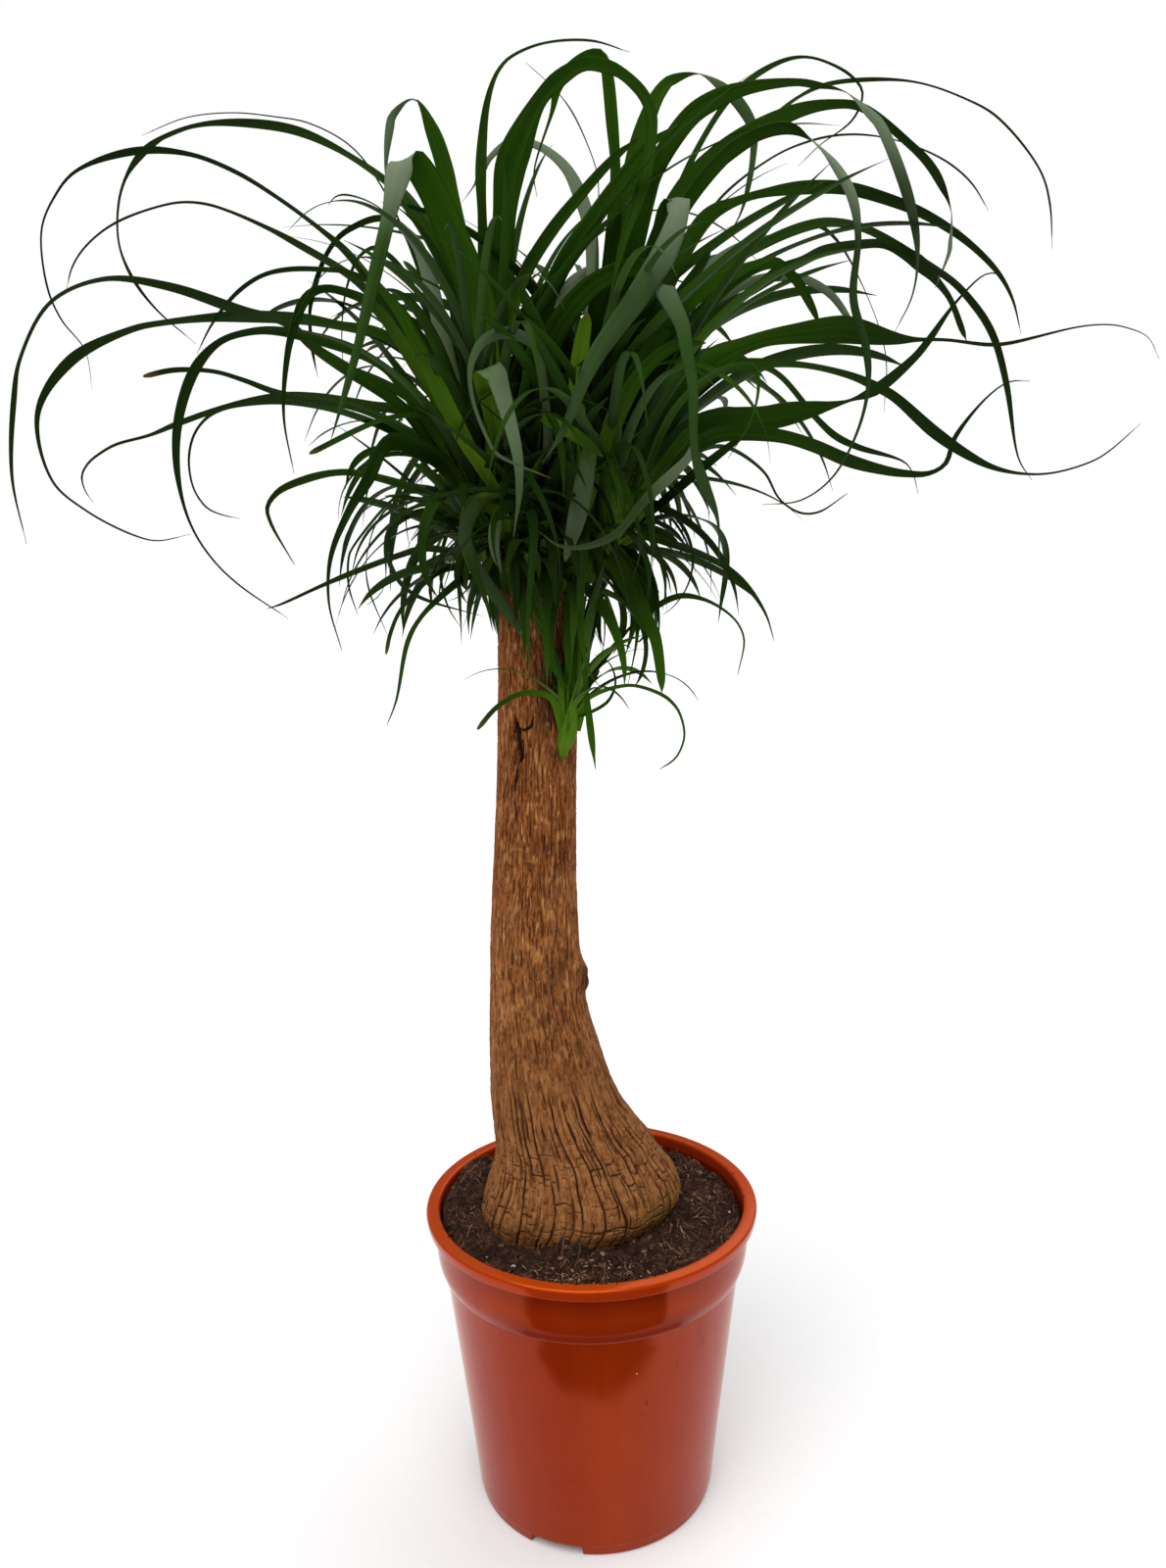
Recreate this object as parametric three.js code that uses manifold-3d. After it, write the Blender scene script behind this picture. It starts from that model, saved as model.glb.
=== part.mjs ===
// Potted ponytail palm: a young Beaucarnea with a swollen caudex, a sawn-off stem with five leafy
// shoots, potting soil and a round nursery pot. Millimetres, +Z up, origin on the floor at the
// centre line of the pot. -Y is the front of the plant.
import * as THREE from "three";
import { mergeVertices } from "three/addons/utils/BufferGeometryUtils.js";
import Module from "manifold-3d";

const wasm = await Module();
wasm.setup();

// ---------------------------------------------------------------- driving dimensions
const GAP = 0.3; // clearance between pieces that touch

const POT_HEIGHT = 221.5;
const RIM_RADIUS = 120; // outer edge of the rolled rim
const RIM_INNER_RADIUS = 109.4;
const RIM_LIP_HEIGHT = 8.5;
const COLLAR_RADIUS = 113.2; // band between the rim and the shoulder step
const COLLAR_BOTTOM = 186;
const SHOULDER_BOTTOM = 175;
const BODY_TOP_RADIUS = 106.6;
const BODY_BOTTOM_RADIUS = 87.6;
const POT_WALL = 1.9;
const BASE_UNDERSIDE = 7; // the base plate stands this far above the floor
const BASE_THICKNESS = 2.4;
const FOOT_WIDTH = 5.5;
const FOOT_NOTCHES = 3;
const FOOT_NOTCH_FIRST_DEG = -109.5;
const FOOT_NOTCH_SPAN_DEG = 25;
const DRAIN_HOLES = 6;
const DRAIN_HOLE_RADIUS = 6;
const DRAIN_HOLE_CIRCLE = 52;

const SOIL_LEVEL = 204; // mean height of the soil; the rim is about 17 mm higher
const SOIL_HUMP = 9; // the soil is heaped at the back left

const STEM_TOP = 668; // the sawn top of the old stem
const LEAF_THICKNESS_BASE = 1.5;
const LEAF_THICKNESS_TIP = 0.7;
const MAX_TWIST = Math.PI / 6; // between two stations of a blade

// Outline of the stem and caudex: height, centre x, radius in x, radius in y.
const TRUNK = [
  [668, -29.6, 24.6, 24.2], [664, -29.6, 26.2, 25.8], [651, -29.5, 26.6, 26.2], [620, -29.6, 27.0, 26.6],
  [575, -30.6, 27.4, 27.0], [535, -32.3, 27.6, 27.4], [493, -34.3, 28.2, 28.0], [451, -36.0, 29.8, 29.4],
  [409, -36.7, 31.8, 31.2], [387, -36.5, 32.6, 32.2], [365, -34.6, 35.2, 34.4], [343, -32.0, 38.5, 37.2],
  [321, -29.0, 41.5, 40.0], [298, -24.5, 45.9, 43.4], [287, -20.9, 49.2, 45.6], [277, -17.2, 52.5, 48.0],
  [268, -13.2, 55.9, 50.2], [259, -11.0, 58.7, 52.4], [249, -8.7, 63.2, 55.6], [240, -7.2, 67.4, 58.4],
  [231, -7.4, 70.6, 60.6], [224, -8.8, 71.2, 60.4], [215, -12.2, 69.0, 57.0], [206, -14.6, 65.0, 51.5],
  [197, -15.2, 57.0, 45.0], [189, -15.2, 44.0, 36.0], [183, -15.2, 24.0, 20.0],
];
const KNOB = { z: 392, angleDeg: 6, height: 4.6, sizeZ: 15, sizeDeg: 22 }; // healed bud on the right of the stem

// Centre lines of the shoots that break from the old stem: x, y, z, radius.
const SHOOTS = {
  shoot_center: [
    [-31, -2, 657, 10], [-40, -4, 677, 10.5], [-48, -6, 700, 10],
    [-52, -7, 731, 9], [-54, -8, 762, 7],
  ],
  shoot_left: [
    [-41, 6, 657, 8.5], [-53, 8, 674, 9], [-62, 9, 694, 8.5],
    [-71, 10, 720, 7.5], [-76, 10, 742, 6],
  ],
  shoot_right: [
    [-18, 8, 655, 9.5], [-7, 9, 677, 10], [4, 9, 702, 9.5],
    [11, 8, 731, 8.5], [16, 8, 756, 6.5],
  ],
  shoot_lower_right: [
    [-15, -10, 653, 7], [-2, -12, 666, 8.5], [13, -14, 683, 8.5],
    [25, -15, 701, 7.5], [31, -16, 720, 6],
  ],
  shoot_side: [
    [-15, -22, 547, 6], [-13, -27, 557, 7], [-10, -29, 569, 6],
    [-8, -31, 584, 4],
  ],
};

// Long leaves. Each station is x, y, z of the midrib and the half-width vector of the blade.
const LEAVES = {
  leaf_left_01: [
    [-53.9, -8.0, 761.8, -1.8, -3.32, -0.62], [-76.6, -0.5, 851.1, -2.49, -3.38, -0.63], [-112.7, 7.6, 912.0, -2.26, -3.0, -1.59],
    [-142.6, 13.2, 935.7, -1.15, -0.73, -1.51], [-174.1, 18.8, 952.5, -0.93, 0.57, -2.59], [-239.5, 29.8, 962.3, 0.11, -0.03, -1.77],
    [-265.8, 34.0, 957.3, 0.5, -0.19, -1.57], [-283.3, 36.9, 948.0, 1.51, 0.35, -2.0], [-296.2, 39.1, 934.1, 1.24, -0.06, -0.81],
    [-305.4, 41.9, 892.7, 1.08, -0.1, 0.09], [-286.2, 47.0, 852.8, 0.7, 0.53, 0.7], [-261.6, 52.0, 830.1, 0.27, 0.02, 0.36],
  ],
  leaf_left_02: [
    [-75.2, 10.0, 739.1, 2.21, -3.24, 0.12], [-99.4, 6.8, 806.1, 2.38, -3.47, 1.02], [-145.8, 1.8, 875.8, 1.67, -2.68, 1.42],
    [-212.7, -4.5, 922.6, 0.59, -1.15, 1.08], [-240.1, -7.0, 932.5, 0.34, -1.03, 1.3], [-272.7, -9.9, 933.8, -0.02, -1.17, 2.02],
    [-309.6, -13.2, 921.5, -0.56, -0.82, 0.86], [-323.9, -14.5, 906.0, -0.47, -0.93, 0.37], [-332.8, -15.5, 887.1, -0.64, -0.73, 0.19],
    [-331.7, -16.7, 852.4, -0.96, -0.23, -0.24], [-310.4, -19.2, 814.2, -0.48, 0.31, -0.17], [-307.8, -20.0, 790.5, -0.15, 0.42, -0.03],
  ],
  leaf_left_03: [
    [-76.0, 10.0, 742.2, -1.56, -3.1, -0.57], [-92.2, 13.7, 773.7, -1.88, -3.38, -0.49], [-110.5, 18.2, 818.1, -2.12, -3.16, -0.79],
    [-138.9, 23.9, 857.2, -1.91, -3.1, -1.21], [-151.2, 26.2, 868.0, -1.6, -2.38, -1.68], [-182.1, 31.6, 887.5, -1.21, -0.36, -1.94],
    [-230.1, 39.7, 911.9, -0.5, -0.1, -1.2], [-263.5, 45.1, 919.4, 0.03, 0.17, -1.16], [-307.9, 51.9, 910.2, 0.43, 0.27, -1.08],
    [-337.1, 56.5, 892.1, 0.72, 0.24, -0.69], [-345.1, 57.8, 881.5, 0.76, 0.3, -0.36], [-349.8, 58.8, 869.2, 0.39, 0.18, -0.12],
  ],
  leaf_left_04: [
    [-61.0, 8.8, 691.0, 1.82, -4.44, -2.21], [-68.1, 7.7, 690.5, -1.16, -4.97, -1.83], [-97.0, 1.2, 750.0, -2.47, -4.91, -1.85],
    [-111.6, -1.9, 773.4, -2.16, -4.55, -2.75], [-184.3, -15.4, 829.5, -1.17, -2.83, -2.41], [-252.8, -27.8, 849.8, -0.6, 0.1, -2.55],
    [-289.3, -34.5, 853.0, 0.37, -0.77, -1.62], [-321.0, -40.2, 838.7, 1.04, -0.6, -1.05], [-340.8, -44.3, 805.7, 1.38, -0.13, -0.49],
    [-346.2, -45.8, 782.6, 1.64, 0.69, -0.27], [-351.0, -48.2, 735.2, 1.27, 0.29, -0.05], [-344.7, -51.1, 694.1, 0.24, 0.38, 0.04],
  ],
  leaf_left_05: [
    [-72.4, 10.0, 726.8, -2.04, -4.49, -1.01], [-101.5, 11.1, 803.7, -2.76, -4.57, -1.55], [-128.1, 11.8, 825.0, -1.4, -3.84, -3.62],
    [-181.6, 13.1, 837.1, -0.53, -2.7, -3.47], [-220.5, 14.0, 839.4, -0.06, -2.42, -3.68], [-292.3, 15.7, 833.1, 0.45, -1.16, -1.95],
    [-334.6, 16.7, 814.5, 2.06, 0.9, -2.66], [-359.9, 17.3, 780.9, 1.77, 0.34, -0.45], [-354.4, 17.8, 737.9, 1.07, -0.33, 0.63],
    [-334.2, 18.3, 718.2, 0.61, 0.05, 0.88], [-287.5, 19.5, 697.0, 0.04, 0.2, 0.72], [-264.4, 20.0, 701.0, -0.08, 0.28, 0.34],
  ],
  leaf_left_06: [
    [-73.8, 10.0, 733.0, 2.73, -4.37, 1.01], [-105.6, -5.4, 784.0, 3.49, -4.34, 1.07], [-118.6, -11.4, 799.4, 2.27, -3.8, 0.57],
    [-145.7, -22.9, 813.9, 2.26, -4.01, 1.98], [-183.8, -38.8, 820.4, 1.28, -2.61, 1.86], [-215.6, -52.4, 812.1, -0.23, -1.98, 1.48],
    [-229.0, -58.6, 796.9, -1.87, -2.03, 1.72], [-239.2, -64.5, 769.5, -2.36, -1.53, 0.83], [-242.3, -67.9, 743.5, -1.98, -1.11, 0.13],
    [-231.8, -75.9, 698.1, -0.73, -0.92, -0.15], [-203.7, -87.9, 666.7, -0.53, -0.05, -0.7], [-172.8, -100.0, 646.9, -0.29, -0.08, -0.34],
  ],
  leaf_left_07: [
    [-69.2, 9.8, 714.7, -1.82, -3.87, -1.16], [-77.6, 11.5, 724.6, -2.13, -4.11, -0.7], [-96.1, 15.8, 759.1, -2.54, -4.05, -1.11],
    [-112.3, 19.0, 775.3, -2.13, -3.77, -2.32], [-124.8, 21.2, 780.0, -1.22, -3.67, -3.04], [-199.7, 33.8, 791.7, -0.55, -3.12, -2.67],
    [-231.2, 39.0, 788.6, 0.22, -0.89, -1.77], [-322.1, 53.4, 764.6, 0.41, 0.1, -1.27], [-344.6, 57.0, 752.4, 0.77, 0.29, -0.83],
    [-350.2, 57.9, 743.8, 1.02, 0.31, -0.21], [-349.2, 58.6, 734.2, 0.64, 0.27, 0.28], [-344.5, 59.8, 725.7, 0.36, 0.14, 0.24],
  ],
  leaf_left_08: [
    [-72.8, 10.0, 728.4, -0.08, -3.26, 1.43], [-80.7, 9.3, 729.3, 1.5, -3.24, 1.07], [-94.3, 7.7, 750.9, 2.01, -3.1, 1.22],
    [-103.1, 6.8, 760.1, 1.55, -3.14, 1.69], [-140.2, 3.2, 778.4, 0.87, -3.38, 1.59], [-165.0, 0.8, 784.2, 0.57, -3.22, 1.39],
    [-193.2, -1.8, 788.8, 0.53, -2.4, 1.29], [-216.4, -4.1, 797.3, 0.6, -0.71, 1.49], [-234.2, -5.9, 802.5, 0.33, -1.05, 1.34],
    [-259.1, -8.2, 803.3, -0.04, -1.08, 1.59], [-277.7, -10.0, 799.5, -0.31, -0.84, 1.55],
  ],
  leaf_left_09: [
    [-64.8, 9.3, 701.3, -1.85, -3.02, -0.31], [-93.8, 24.7, 746.6, -2.34, -3.06, -1.01], [-136.6, 43.1, 772.2, -2.08, -3.07, -1.62],
    [-171.2, 57.1, 785.6, -1.83, -3.09, -1.85], [-200.9, 68.7, 792.8, -1.36, -2.65, -2.09], [-255.9, 89.0, 792.4, 0.39, -0.15, -1.87],
    [-270.3, 94.2, 786.3, 0.72, -0.28, -1.27], [-281.1, 98.3, 775.9, 1.07, -0.02, -0.73], [-286.8, 101.0, 762.7, 1.2, 0.22, -0.26],
    [-285.9, 105.5, 734.9, 0.92, 0.43, 0.41], [-279.2, 109.6, 723.5, 0.67, 0.22, 0.81], [-257.9, 119.3, 715.6, 0.02, 0.18, 0.41],
  ],
  leaf_left_10: [
    [-74.5, 10.0, 736.0, 2.01, 3.1, -1.27], [-63.7, 3.6, 739.6, 2.14, 3.19, 0.81], [-65.5, 1.7, 744.6, 1.56, 3.01, 2.17],
    [-74.7, -6.3, 760.2, 0.98, 3.13, 2.75], [-81.0, -11.2, 766.4, -0.01, 2.97, 3.05], [-88.8, -16.8, 770.2, -1.11, 2.75, 2.92],
    [-100.5, -24.9, 770.6, -2.01, 2.43, 2.25], [-123.3, -41.2, 765.2, -1.82, 1.78, 1.4], [-160.9, -70.0, 743.9, -0.37, -0.59, 1.71],
  ],
  leaf_left_11: [
    [-60.3, 8.8, 689.6, 1.51, -3.01, 1.24], [-68.5, 6.3, 694.5, 1.89, -3.08, 1.01], [-86.6, 0.1, 716.7, 2.16, -2.97, 1.27],
    [-97.1, -3.1, 723.3, 1.59, -3.03, 1.77], [-141.4, -16.6, 736.2, 0.8, -1.99, 1.69], [-156.6, -21.3, 736.4, 0.04, -0.93, 2.0],
    [-174.3, -26.7, 732.1, -0.65, -0.42, 2.34], [-190.8, -31.9, 724.4, -0.91, -0.87, 1.57], [-197.7, -34.3, 714.7, -1.24, -0.97, 0.35],
    [-196.1, -35.4, 705.8, -1.24, -0.5, -0.44], [-180.8, -41.2, 678.4, -0.4, -0.06, -0.2],
  ],
  leaf_left_12: [
    [-68.7, 9.8, 713.2, 3.82, -2.73, 0.01], [-80.2, -7.5, 734.3, 4.65, -3.2, -0.04], [-89.6, -20.3, 744.7, 5.29, -3.53, 0.93],
    [-103.8, -38.5, 751.7, 4.82, -3.31, 2.23], [-111.3, -48.2, 752.8, 3.39, -2.81, 3.42], [-116.2, -54.5, 751.2, 0.85, -2.82, 3.93],
    [-120.9, -61.4, 744.0, -1.94, -2.71, 2.62], [-126.0, -70.7, 729.8, -1.54, -2.67, 2.72], [-136.1, -87.5, 708.8, -1.6, -1.08, 1.43],
    [-144.8, -105.3, 681.6, -0.99, -1.11, 0.74], [-145.2, -115.1, 656.1, -0.84, -0.7, 0.15], [-136.1, -130.2, 629.1, -0.33, -0.3, 0.05],
  ],
  leaf_left_13: [
    [-52.8, 8.0, 674.0, -1.39, -2.73, 0.82], [-61.1, 10.4, 669.5, -0.76, -2.81, 1.63], [-76.4, 15.1, 681.3, 0.75, -2.67, 2.11],
    [-85.4, 17.7, 686.2, 0.06, -2.62, 2.25], [-99.1, 21.5, 689.0, -0.5, -2.48, 1.93], [-109.7, 24.4, 688.9, -0.89, -2.45, 1.58],
    [-123.5, 28.2, 685.2, -1.19, -2.58, 1.36], [-165.0, 39.3, 671.3, -0.71, -0.3, 1.81], [-185.9, 44.8, 663.4, -0.64, -0.45, 1.33],
    [-214.1, 52.0, 652.1, -0.43, -0.28, 1.06], [-225.2, 54.8, 648.9, -0.12, -0.06, 0.43],
  ],
  leaf_left_14: [
    [-53.9, -8.0, 761.8, 5.19, -1.7, -0.06], [-56.3, -18.9, 811.9, 6.48, -1.95, -0.07], [-59.6, -25.7, 836.9, 7.08, -5.26, 0.18],
    [-65.4, -32.1, 851.8, 6.8, -6.09, 0.02], [-83.1, -51.7, 893.7, 5.71, -5.36, -0.05], [-90.4, -59.1, 905.8, 5.5, -5.61, 0.07],
    [-95.2, -63.4, 910.0, 4.87, -5.97, 2.1], [-98.8, -66.2, 907.6, 0.51, -7.16, 3.53], [-101.5, -69.1, 899.4, -2.49, -6.65, 2.51],
    [-105.7, -74.9, 879.4, -2.8, -4.7, 2.15], [-124.4, -99.6, 798.3, -2.2, -2.37, 1.28], [-139.2, -118.0, 744.3, -0.34, -0.2, 0.22],
  ],
  leaf_left_15: [
    [-53.9, -8.0, 761.8, 3.34, -2.48, -0.16], [-56.9, -12.1, 798.0, 4.18, -3.81, 0.0], [-61.3, -16.2, 830.1, 4.41, -5.3, 0.13],
    [-70.4, -21.7, 863.0, 3.94, -5.0, 0.05], [-78.2, -29.0, 914.7, 4.08, -1.31, 0.74], [-86.3, -33.9, 939.8, 3.3, -0.34, 1.4],
    [-91.4, -36.3, 948.6, 2.32, -1.18, 1.52], [-95.2, -37.8, 951.7, 1.24, -1.64, 1.77], [-102.2, -40.2, 949.5, -0.86, -1.66, 1.47],
    [-107.5, -42.5, 939.3, -1.86, -0.89, 0.72], [-111.5, -45.6, 913.8, -1.01, -0.94, 0.17], [-111.1, -48.0, 891.0, -0.13, -0.43, 0.04],
  ],
  leaf_left_16: [
    [-76.0, 10.0, 742.2, -2.35, 2.97, 0.03], [-72.5, 13.5, 767.6, -2.35, 2.75, -0.82], [-100.0, 31.9, 874.7, -2.01, 3.31, -1.27],
    [-110.3, 36.8, 895.4, -0.8, 3.45, -1.77], [-117.6, 39.6, 902.5, -0.01, 3.31, -1.72], [-127.0, 43.0, 906.8, 0.64, 2.85, -1.48],
    [-137.3, 46.5, 906.9, 0.97, 2.07, -1.37], [-156.7, 53.0, 900.4, 1.08, 1.88, -0.86], [-172.5, 58.7, 884.4, 1.07, 1.78, -0.2],
    [-184.9, 64.5, 851.5, 0.97, 1.21, -0.01], [-185.2, 67.1, 829.0, 1.09, 1.27, 0.29], [-182.9, 70.0, 809.8, 0.36, 0.26, 0.09],
  ],
  leaf_left_17: [
    [-76.0, 10.0, 742.2, 2.76, -2.9, -0.19], [-80.5, 6.2, 760.1, 3.42, -4.31, 0.14], [-89.4, 0.2, 782.6, 3.69, -4.38, 0.47],
    [-118.3, -16.9, 828.7, 3.3, -4.45, 0.54], [-125.5, -21.0, 837.0, 3.08, -4.34, 0.76], [-132.1, -24.4, 841.5, 2.54, -3.97, 1.26],
    [-153.5, -35.0, 845.4, 0.71, -2.0, 1.96], [-161.2, -38.8, 842.2, -0.85, -1.78, 2.18], [-166.8, -41.7, 835.2, -1.89, -2.1, 1.75],
    [-175.9, -48.2, 806.7, -1.37, -1.85, 0.61], [-179.4, -53.6, 768.3, -0.97, -0.92, 0.11], [-173.6, -60.0, 732.9, -0.44, -0.09, -0.05],
  ],
  leaf_left_18: [
    [-53.5, 8.1, 675.4, 1.83, -1.89, -0.73], [-62.4, 1.4, 672.0, 1.52, -1.94, -1.43], [-84.3, -15.3, 674.5, 1.58, -1.84, -1.49],
    [-95.6, -24.3, 669.6, 1.83, -1.63, -0.6], [-114.8, -41.1, 649.0, 1.44, -0.7, -0.5], [-121.0, -48.0, 634.6, 1.49, -0.04, -0.47],
    [-123.7, -51.9, 622.2, 1.53, 0.11, -0.24],
  ],
  leaf_left_19: [
    [-51.1, 7.7, 671.4, 2.48, -1.84, -0.7], [-56.8, 1.1, 668.8, 2.41, -1.84, -1.18], [-72.0, -16.5, 668.3, 2.37, -1.79, -1.57],
    [-77.6, -23.2, 666.4, 2.69, -1.7, -0.99], [-99.3, -52.2, 646.1, 1.64, -0.83, -0.35], [-107.6, -65.7, 630.5, 1.69, -0.13, -0.42],
    [-113.9, -83.0, 595.2, 1.05, -0.05, -0.2], [-118.5, -92.3, 581.9, 0.41, 0.0, -0.19],
  ],
  leaf_left_20: [
    [-62.8, 9.1, 695.3, -0.83, -2.69, -1.44], [-72.2, 11.1, 698.5, -1.36, -2.8, -1.16], [-89.1, 14.8, 709.5, -1.26, -2.75, -1.69],
    [-106.0, 18.2, 712.4, -0.39, -2.67, -2.21], [-122.2, 21.6, 706.8, 0.88, -2.6, -2.06], [-127.2, 22.6, 702.2, 1.43, -2.47, -1.64],
    [-131.9, 23.8, 693.3, 1.84, -2.17, -0.69], [-132.5, 24.3, 686.7, 1.85, -2.04, 0.01], [-125.6, 26.6, 668.1, 1.53, -1.93, 0.65],
    [-119.1, 28.2, 660.6, 1.14, -1.64, 0.86], [-107.6, 30.8, 653.9, 0.64, -1.26, 1.02], [-68.4, 39.0, 641.3, 0.13, -0.39, 0.17],
  ],
  leaf_top_01: [
    [-53.9, -8.0, 761.8, -2.5, 3.08, -0.0], [-54.2, -7.2, 783.5, -2.38, 1.48, -0.17], [-57.6, -4.1, 859.9, -2.78, 2.1, -0.17],
    [-58.2, -2.8, 895.8, -2.33, 0.76, -0.01], [-58.2, -1.8, 922.5, -2.9, 0.76, 0.09], [-54.2, -0.2, 957.5, -1.92, 0.01, 0.34],
    [-49.0, 0.8, 974.4, -1.31, 0.3, 0.58], [-44.5, 1.5, 982.1, -1.01, 0.37, 0.73], [-38.0, 2.4, 988.4, -0.68, 0.34, 0.91],
    [-18.1, 5.0, 996.9, -0.25, 0.05, 1.02], [12.8, 8.9, 999.6, 0.13, -0.38, 0.96], [36.7, 12.0, 993.8, 0.14, -0.16, 0.4],
  ],
  leaf_top_02: [
    [-53.6, -7.8, 756.3, 3.51, 6.26, -0.46], [-50.1, -11.5, 795.3, 4.35, 1.56, 0.02], [-43.5, -19.8, 888.0, 4.21, 3.95, 0.03],
    [-39.0, -22.9, 915.4, 3.57, 6.75, -0.1], [-20.0, -30.5, 951.0, 2.72, 1.94, -1.72], [-7.7, -34.6, 961.5, 2.31, 1.97, -2.53],
    [7.4, -39.4, 967.5, 0.85, 2.5, -1.51], [21.7, -43.9, 964.1, -0.11, 2.47, -2.1], [41.6, -50.8, 946.8, -0.45, 2.7, -1.11],
    [46.0, -52.7, 936.4, -1.99, 2.5, -0.62], [40.8, -57.6, 894.8, -1.97, 3.1, 0.05], [20.0, -67.8, 829.7, -0.22, 0.39, 0.02],
  ],
  leaf_top_03: [
    [16.2, 8.0, 756.1, 2.98, -3.69, 0.01], [14.9, 6.5, 778.0, 3.19, -3.2, -0.42], [24.9, -0.7, 879.8, 3.47, -4.14, -0.56],
    [26.6, -3.3, 920.2, 2.93, -1.5, -0.1], [22.3, -7.4, 973.1, 3.58, -0.9, 0.36], [20.6, -8.2, 981.0, 2.45, -1.77, 0.81],
    [17.4, -9.1, 985.0, 1.21, -2.26, 1.28], [9.7, -10.8, 983.7, -0.57, -2.21, 1.53], [-7.8, -15.0, 966.8, -2.57, -1.76, 1.84],
    [-12.3, -16.7, 950.1, -1.04, -1.23, 0.39], [-24.3, -20.8, 913.7, -0.54, -0.64, 0.15], [-22.7, -22.0, 899.4, -0.19, -0.41, -0.0],
  ],
  leaf_top_04: [
    [16.2, 8.0, 756.1, -2.73, -3.41, -0.16], [7.1, 14.6, 773.7, -2.76, -2.77, -0.18], [6.0, 15.9, 779.9, -2.63, -2.26, 0.36],
    [11.1, 27.6, 851.1, -2.64, -0.7, 0.2], [10.9, 34.1, 893.1, -2.35, -1.58, 0.04], [4.0, 40.8, 918.8, -2.52, -2.81, -0.07],
    [-4.8, 47.1, 937.1, -2.37, -2.03, -0.8], [-19.6, 55.8, 952.2, -1.63, -1.23, -1.41], [-32.2, 62.6, 959.0, -1.33, -1.27, -1.62],
    [-42.2, 67.8, 961.1, -0.52, -1.33, -1.91], [-58.5, 76.5, 952.4, 0.76, -1.11, -1.47], [-78.3, 88.0, 928.8, 0.07, -0.35, -0.27],
  ],
  leaf_right_01: [
    [16.2, 8.0, 756.1, -2.94, 5.07, -0.13], [18.4, 9.2, 784.7, -3.49, 5.68, 0.18], [42.0, 16.9, 937.8, -3.22, 5.21, 0.46],
    [53.9, 19.3, 969.0, -3.57, 1.58, 1.95], [69.4, 21.6, 983.8, -0.96, 0.77, 2.42], [82.0, 23.3, 984.8, 0.25, 0.84, 2.25],
    [96.2, 25.3, 978.6, 1.42, 1.54, 2.56], [109.8, 27.3, 966.4, 2.05, 2.47, 1.99], [117.4, 28.6, 953.5, 2.14, 2.18, 0.79],
    [118.0, 29.3, 938.8, 1.67, 1.3, -0.09], [109.4, 31.6, 901.1, 0.88, -0.08, -0.43], [101.4, 33.0, 888.1, 0.19, -0.37, -0.16],
  ],
  leaf_right_02: [
    [16.2, 8.0, 756.1, -1.55, 2.62, 0.11], [42.0, 19.9, 855.3, -2.07, 2.66, 0.35], [80.2, 33.5, 940.1, -1.7, 2.38, 0.44],
    [103.4, 40.8, 975.4, -1.57, 2.08, 0.93], [120.9, 45.7, 991.1, -1.36, 0.95, 1.53], [141.8, 51.2, 1002.6, -0.52, -0.04, 1.53],
    [155.3, 54.6, 1005.5, -0.08, 0.07, 1.33], [187.4, 62.6, 996.8, 0.7, -0.12, 1.14], [196.0, 65.0, 988.1, 1.19, 0.28, 0.45],
    [195.4, 66.0, 979.6, 1.05, 0.6, -0.29], [189.5, 68.1, 969.7, 0.83, 0.23, -0.64], [155.8, 78.0, 945.0, 0.25, -0.16, -0.33],
  ],
  leaf_right_03: [
    [16.2, 8.0, 756.1, 2.96, 5.28, -0.39], [28.5, 1.7, 838.0, 3.91, 5.35, -0.37], [51.0, -6.7, 918.9, 3.07, 5.63, -0.65],
    [72.8, -12.4, 947.4, 2.06, 5.83, -0.88], [107.0, -20.3, 960.0, 0.95, 3.23, -2.01], [135.8, -26.8, 960.3, 0.38, 2.01, -0.89],
    [168.7, -34.5, 949.5, -0.43, 1.93, -1.06], [184.2, -38.5, 931.7, -2.25, 1.2, -1.58], [201.8, -44.4, 885.7, -2.09, 2.41, -0.8],
    [206.7, -47.0, 854.5, -0.77, 1.21, -0.14], [203.6, -48.9, 831.8, -0.77, 0.17, 0.22], [193.0, -52.0, 810.9, -0.21, -0.35, 0.19],
  ],
  leaf_right_04: [
    [16.2, 8.0, 756.1, 2.18, 6.67, -2.31], [22.1, 7.5, 762.9, 3.48, 6.71, -0.97], [42.3, 5.0, 849.6, 4.56, 6.54, -1.28],
    [66.3, 2.6, 903.7, 3.25, 7.07, -1.67], [101.3, -0.1, 934.7, 1.71, 6.93, -1.79], [138.8, -2.9, 952.0, 0.85, 3.67, -2.59],
    [162.6, -4.6, 955.4, 0.19, 2.21, -1.86], [180.4, -5.9, 952.8, -0.54, 2.08, -1.45], [222.5, -9.1, 918.1, -1.88, 1.23, -1.58],
    [237.9, -10.6, 886.3, -1.88, 1.25, -0.16], [236.4, -11.1, 865.9, -1.48, 0.16, 0.32], [227.8, -12.0, 843.9, -0.22, -0.37, 0.12],
  ],
  leaf_right_05: [
    [16.2, 8.0, 756.1, -1.13, 1.78, 0.53], [23.7, 10.7, 766.4, -1.21, 1.91, 0.1], [36.4, 18.0, 819.6, -1.41, 1.97, 0.11],
    [75.2, 34.5, 908.7, -1.47, 1.87, 0.51], [109.9, 46.5, 949.5, -1.36, 1.8, 0.88], [169.5, 65.0, 991.6, -0.68, 0.38, 1.54],
    [201.3, 74.2, 998.2, -0.1, -0.35, 1.6], [237.7, 84.4, 999.7, 0.09, -0.08, 1.07], [300.4, 101.6, 982.1, 0.62, -0.41, 0.94],
    [336.1, 111.9, 949.3, 0.91, -0.29, 0.49], [345.2, 115.2, 927.7, 0.99, -0.4, 0.22], [349.4, 118.0, 897.9, 0.42, -0.16, 0.01],
  ],
  leaf_right_06: [
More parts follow.
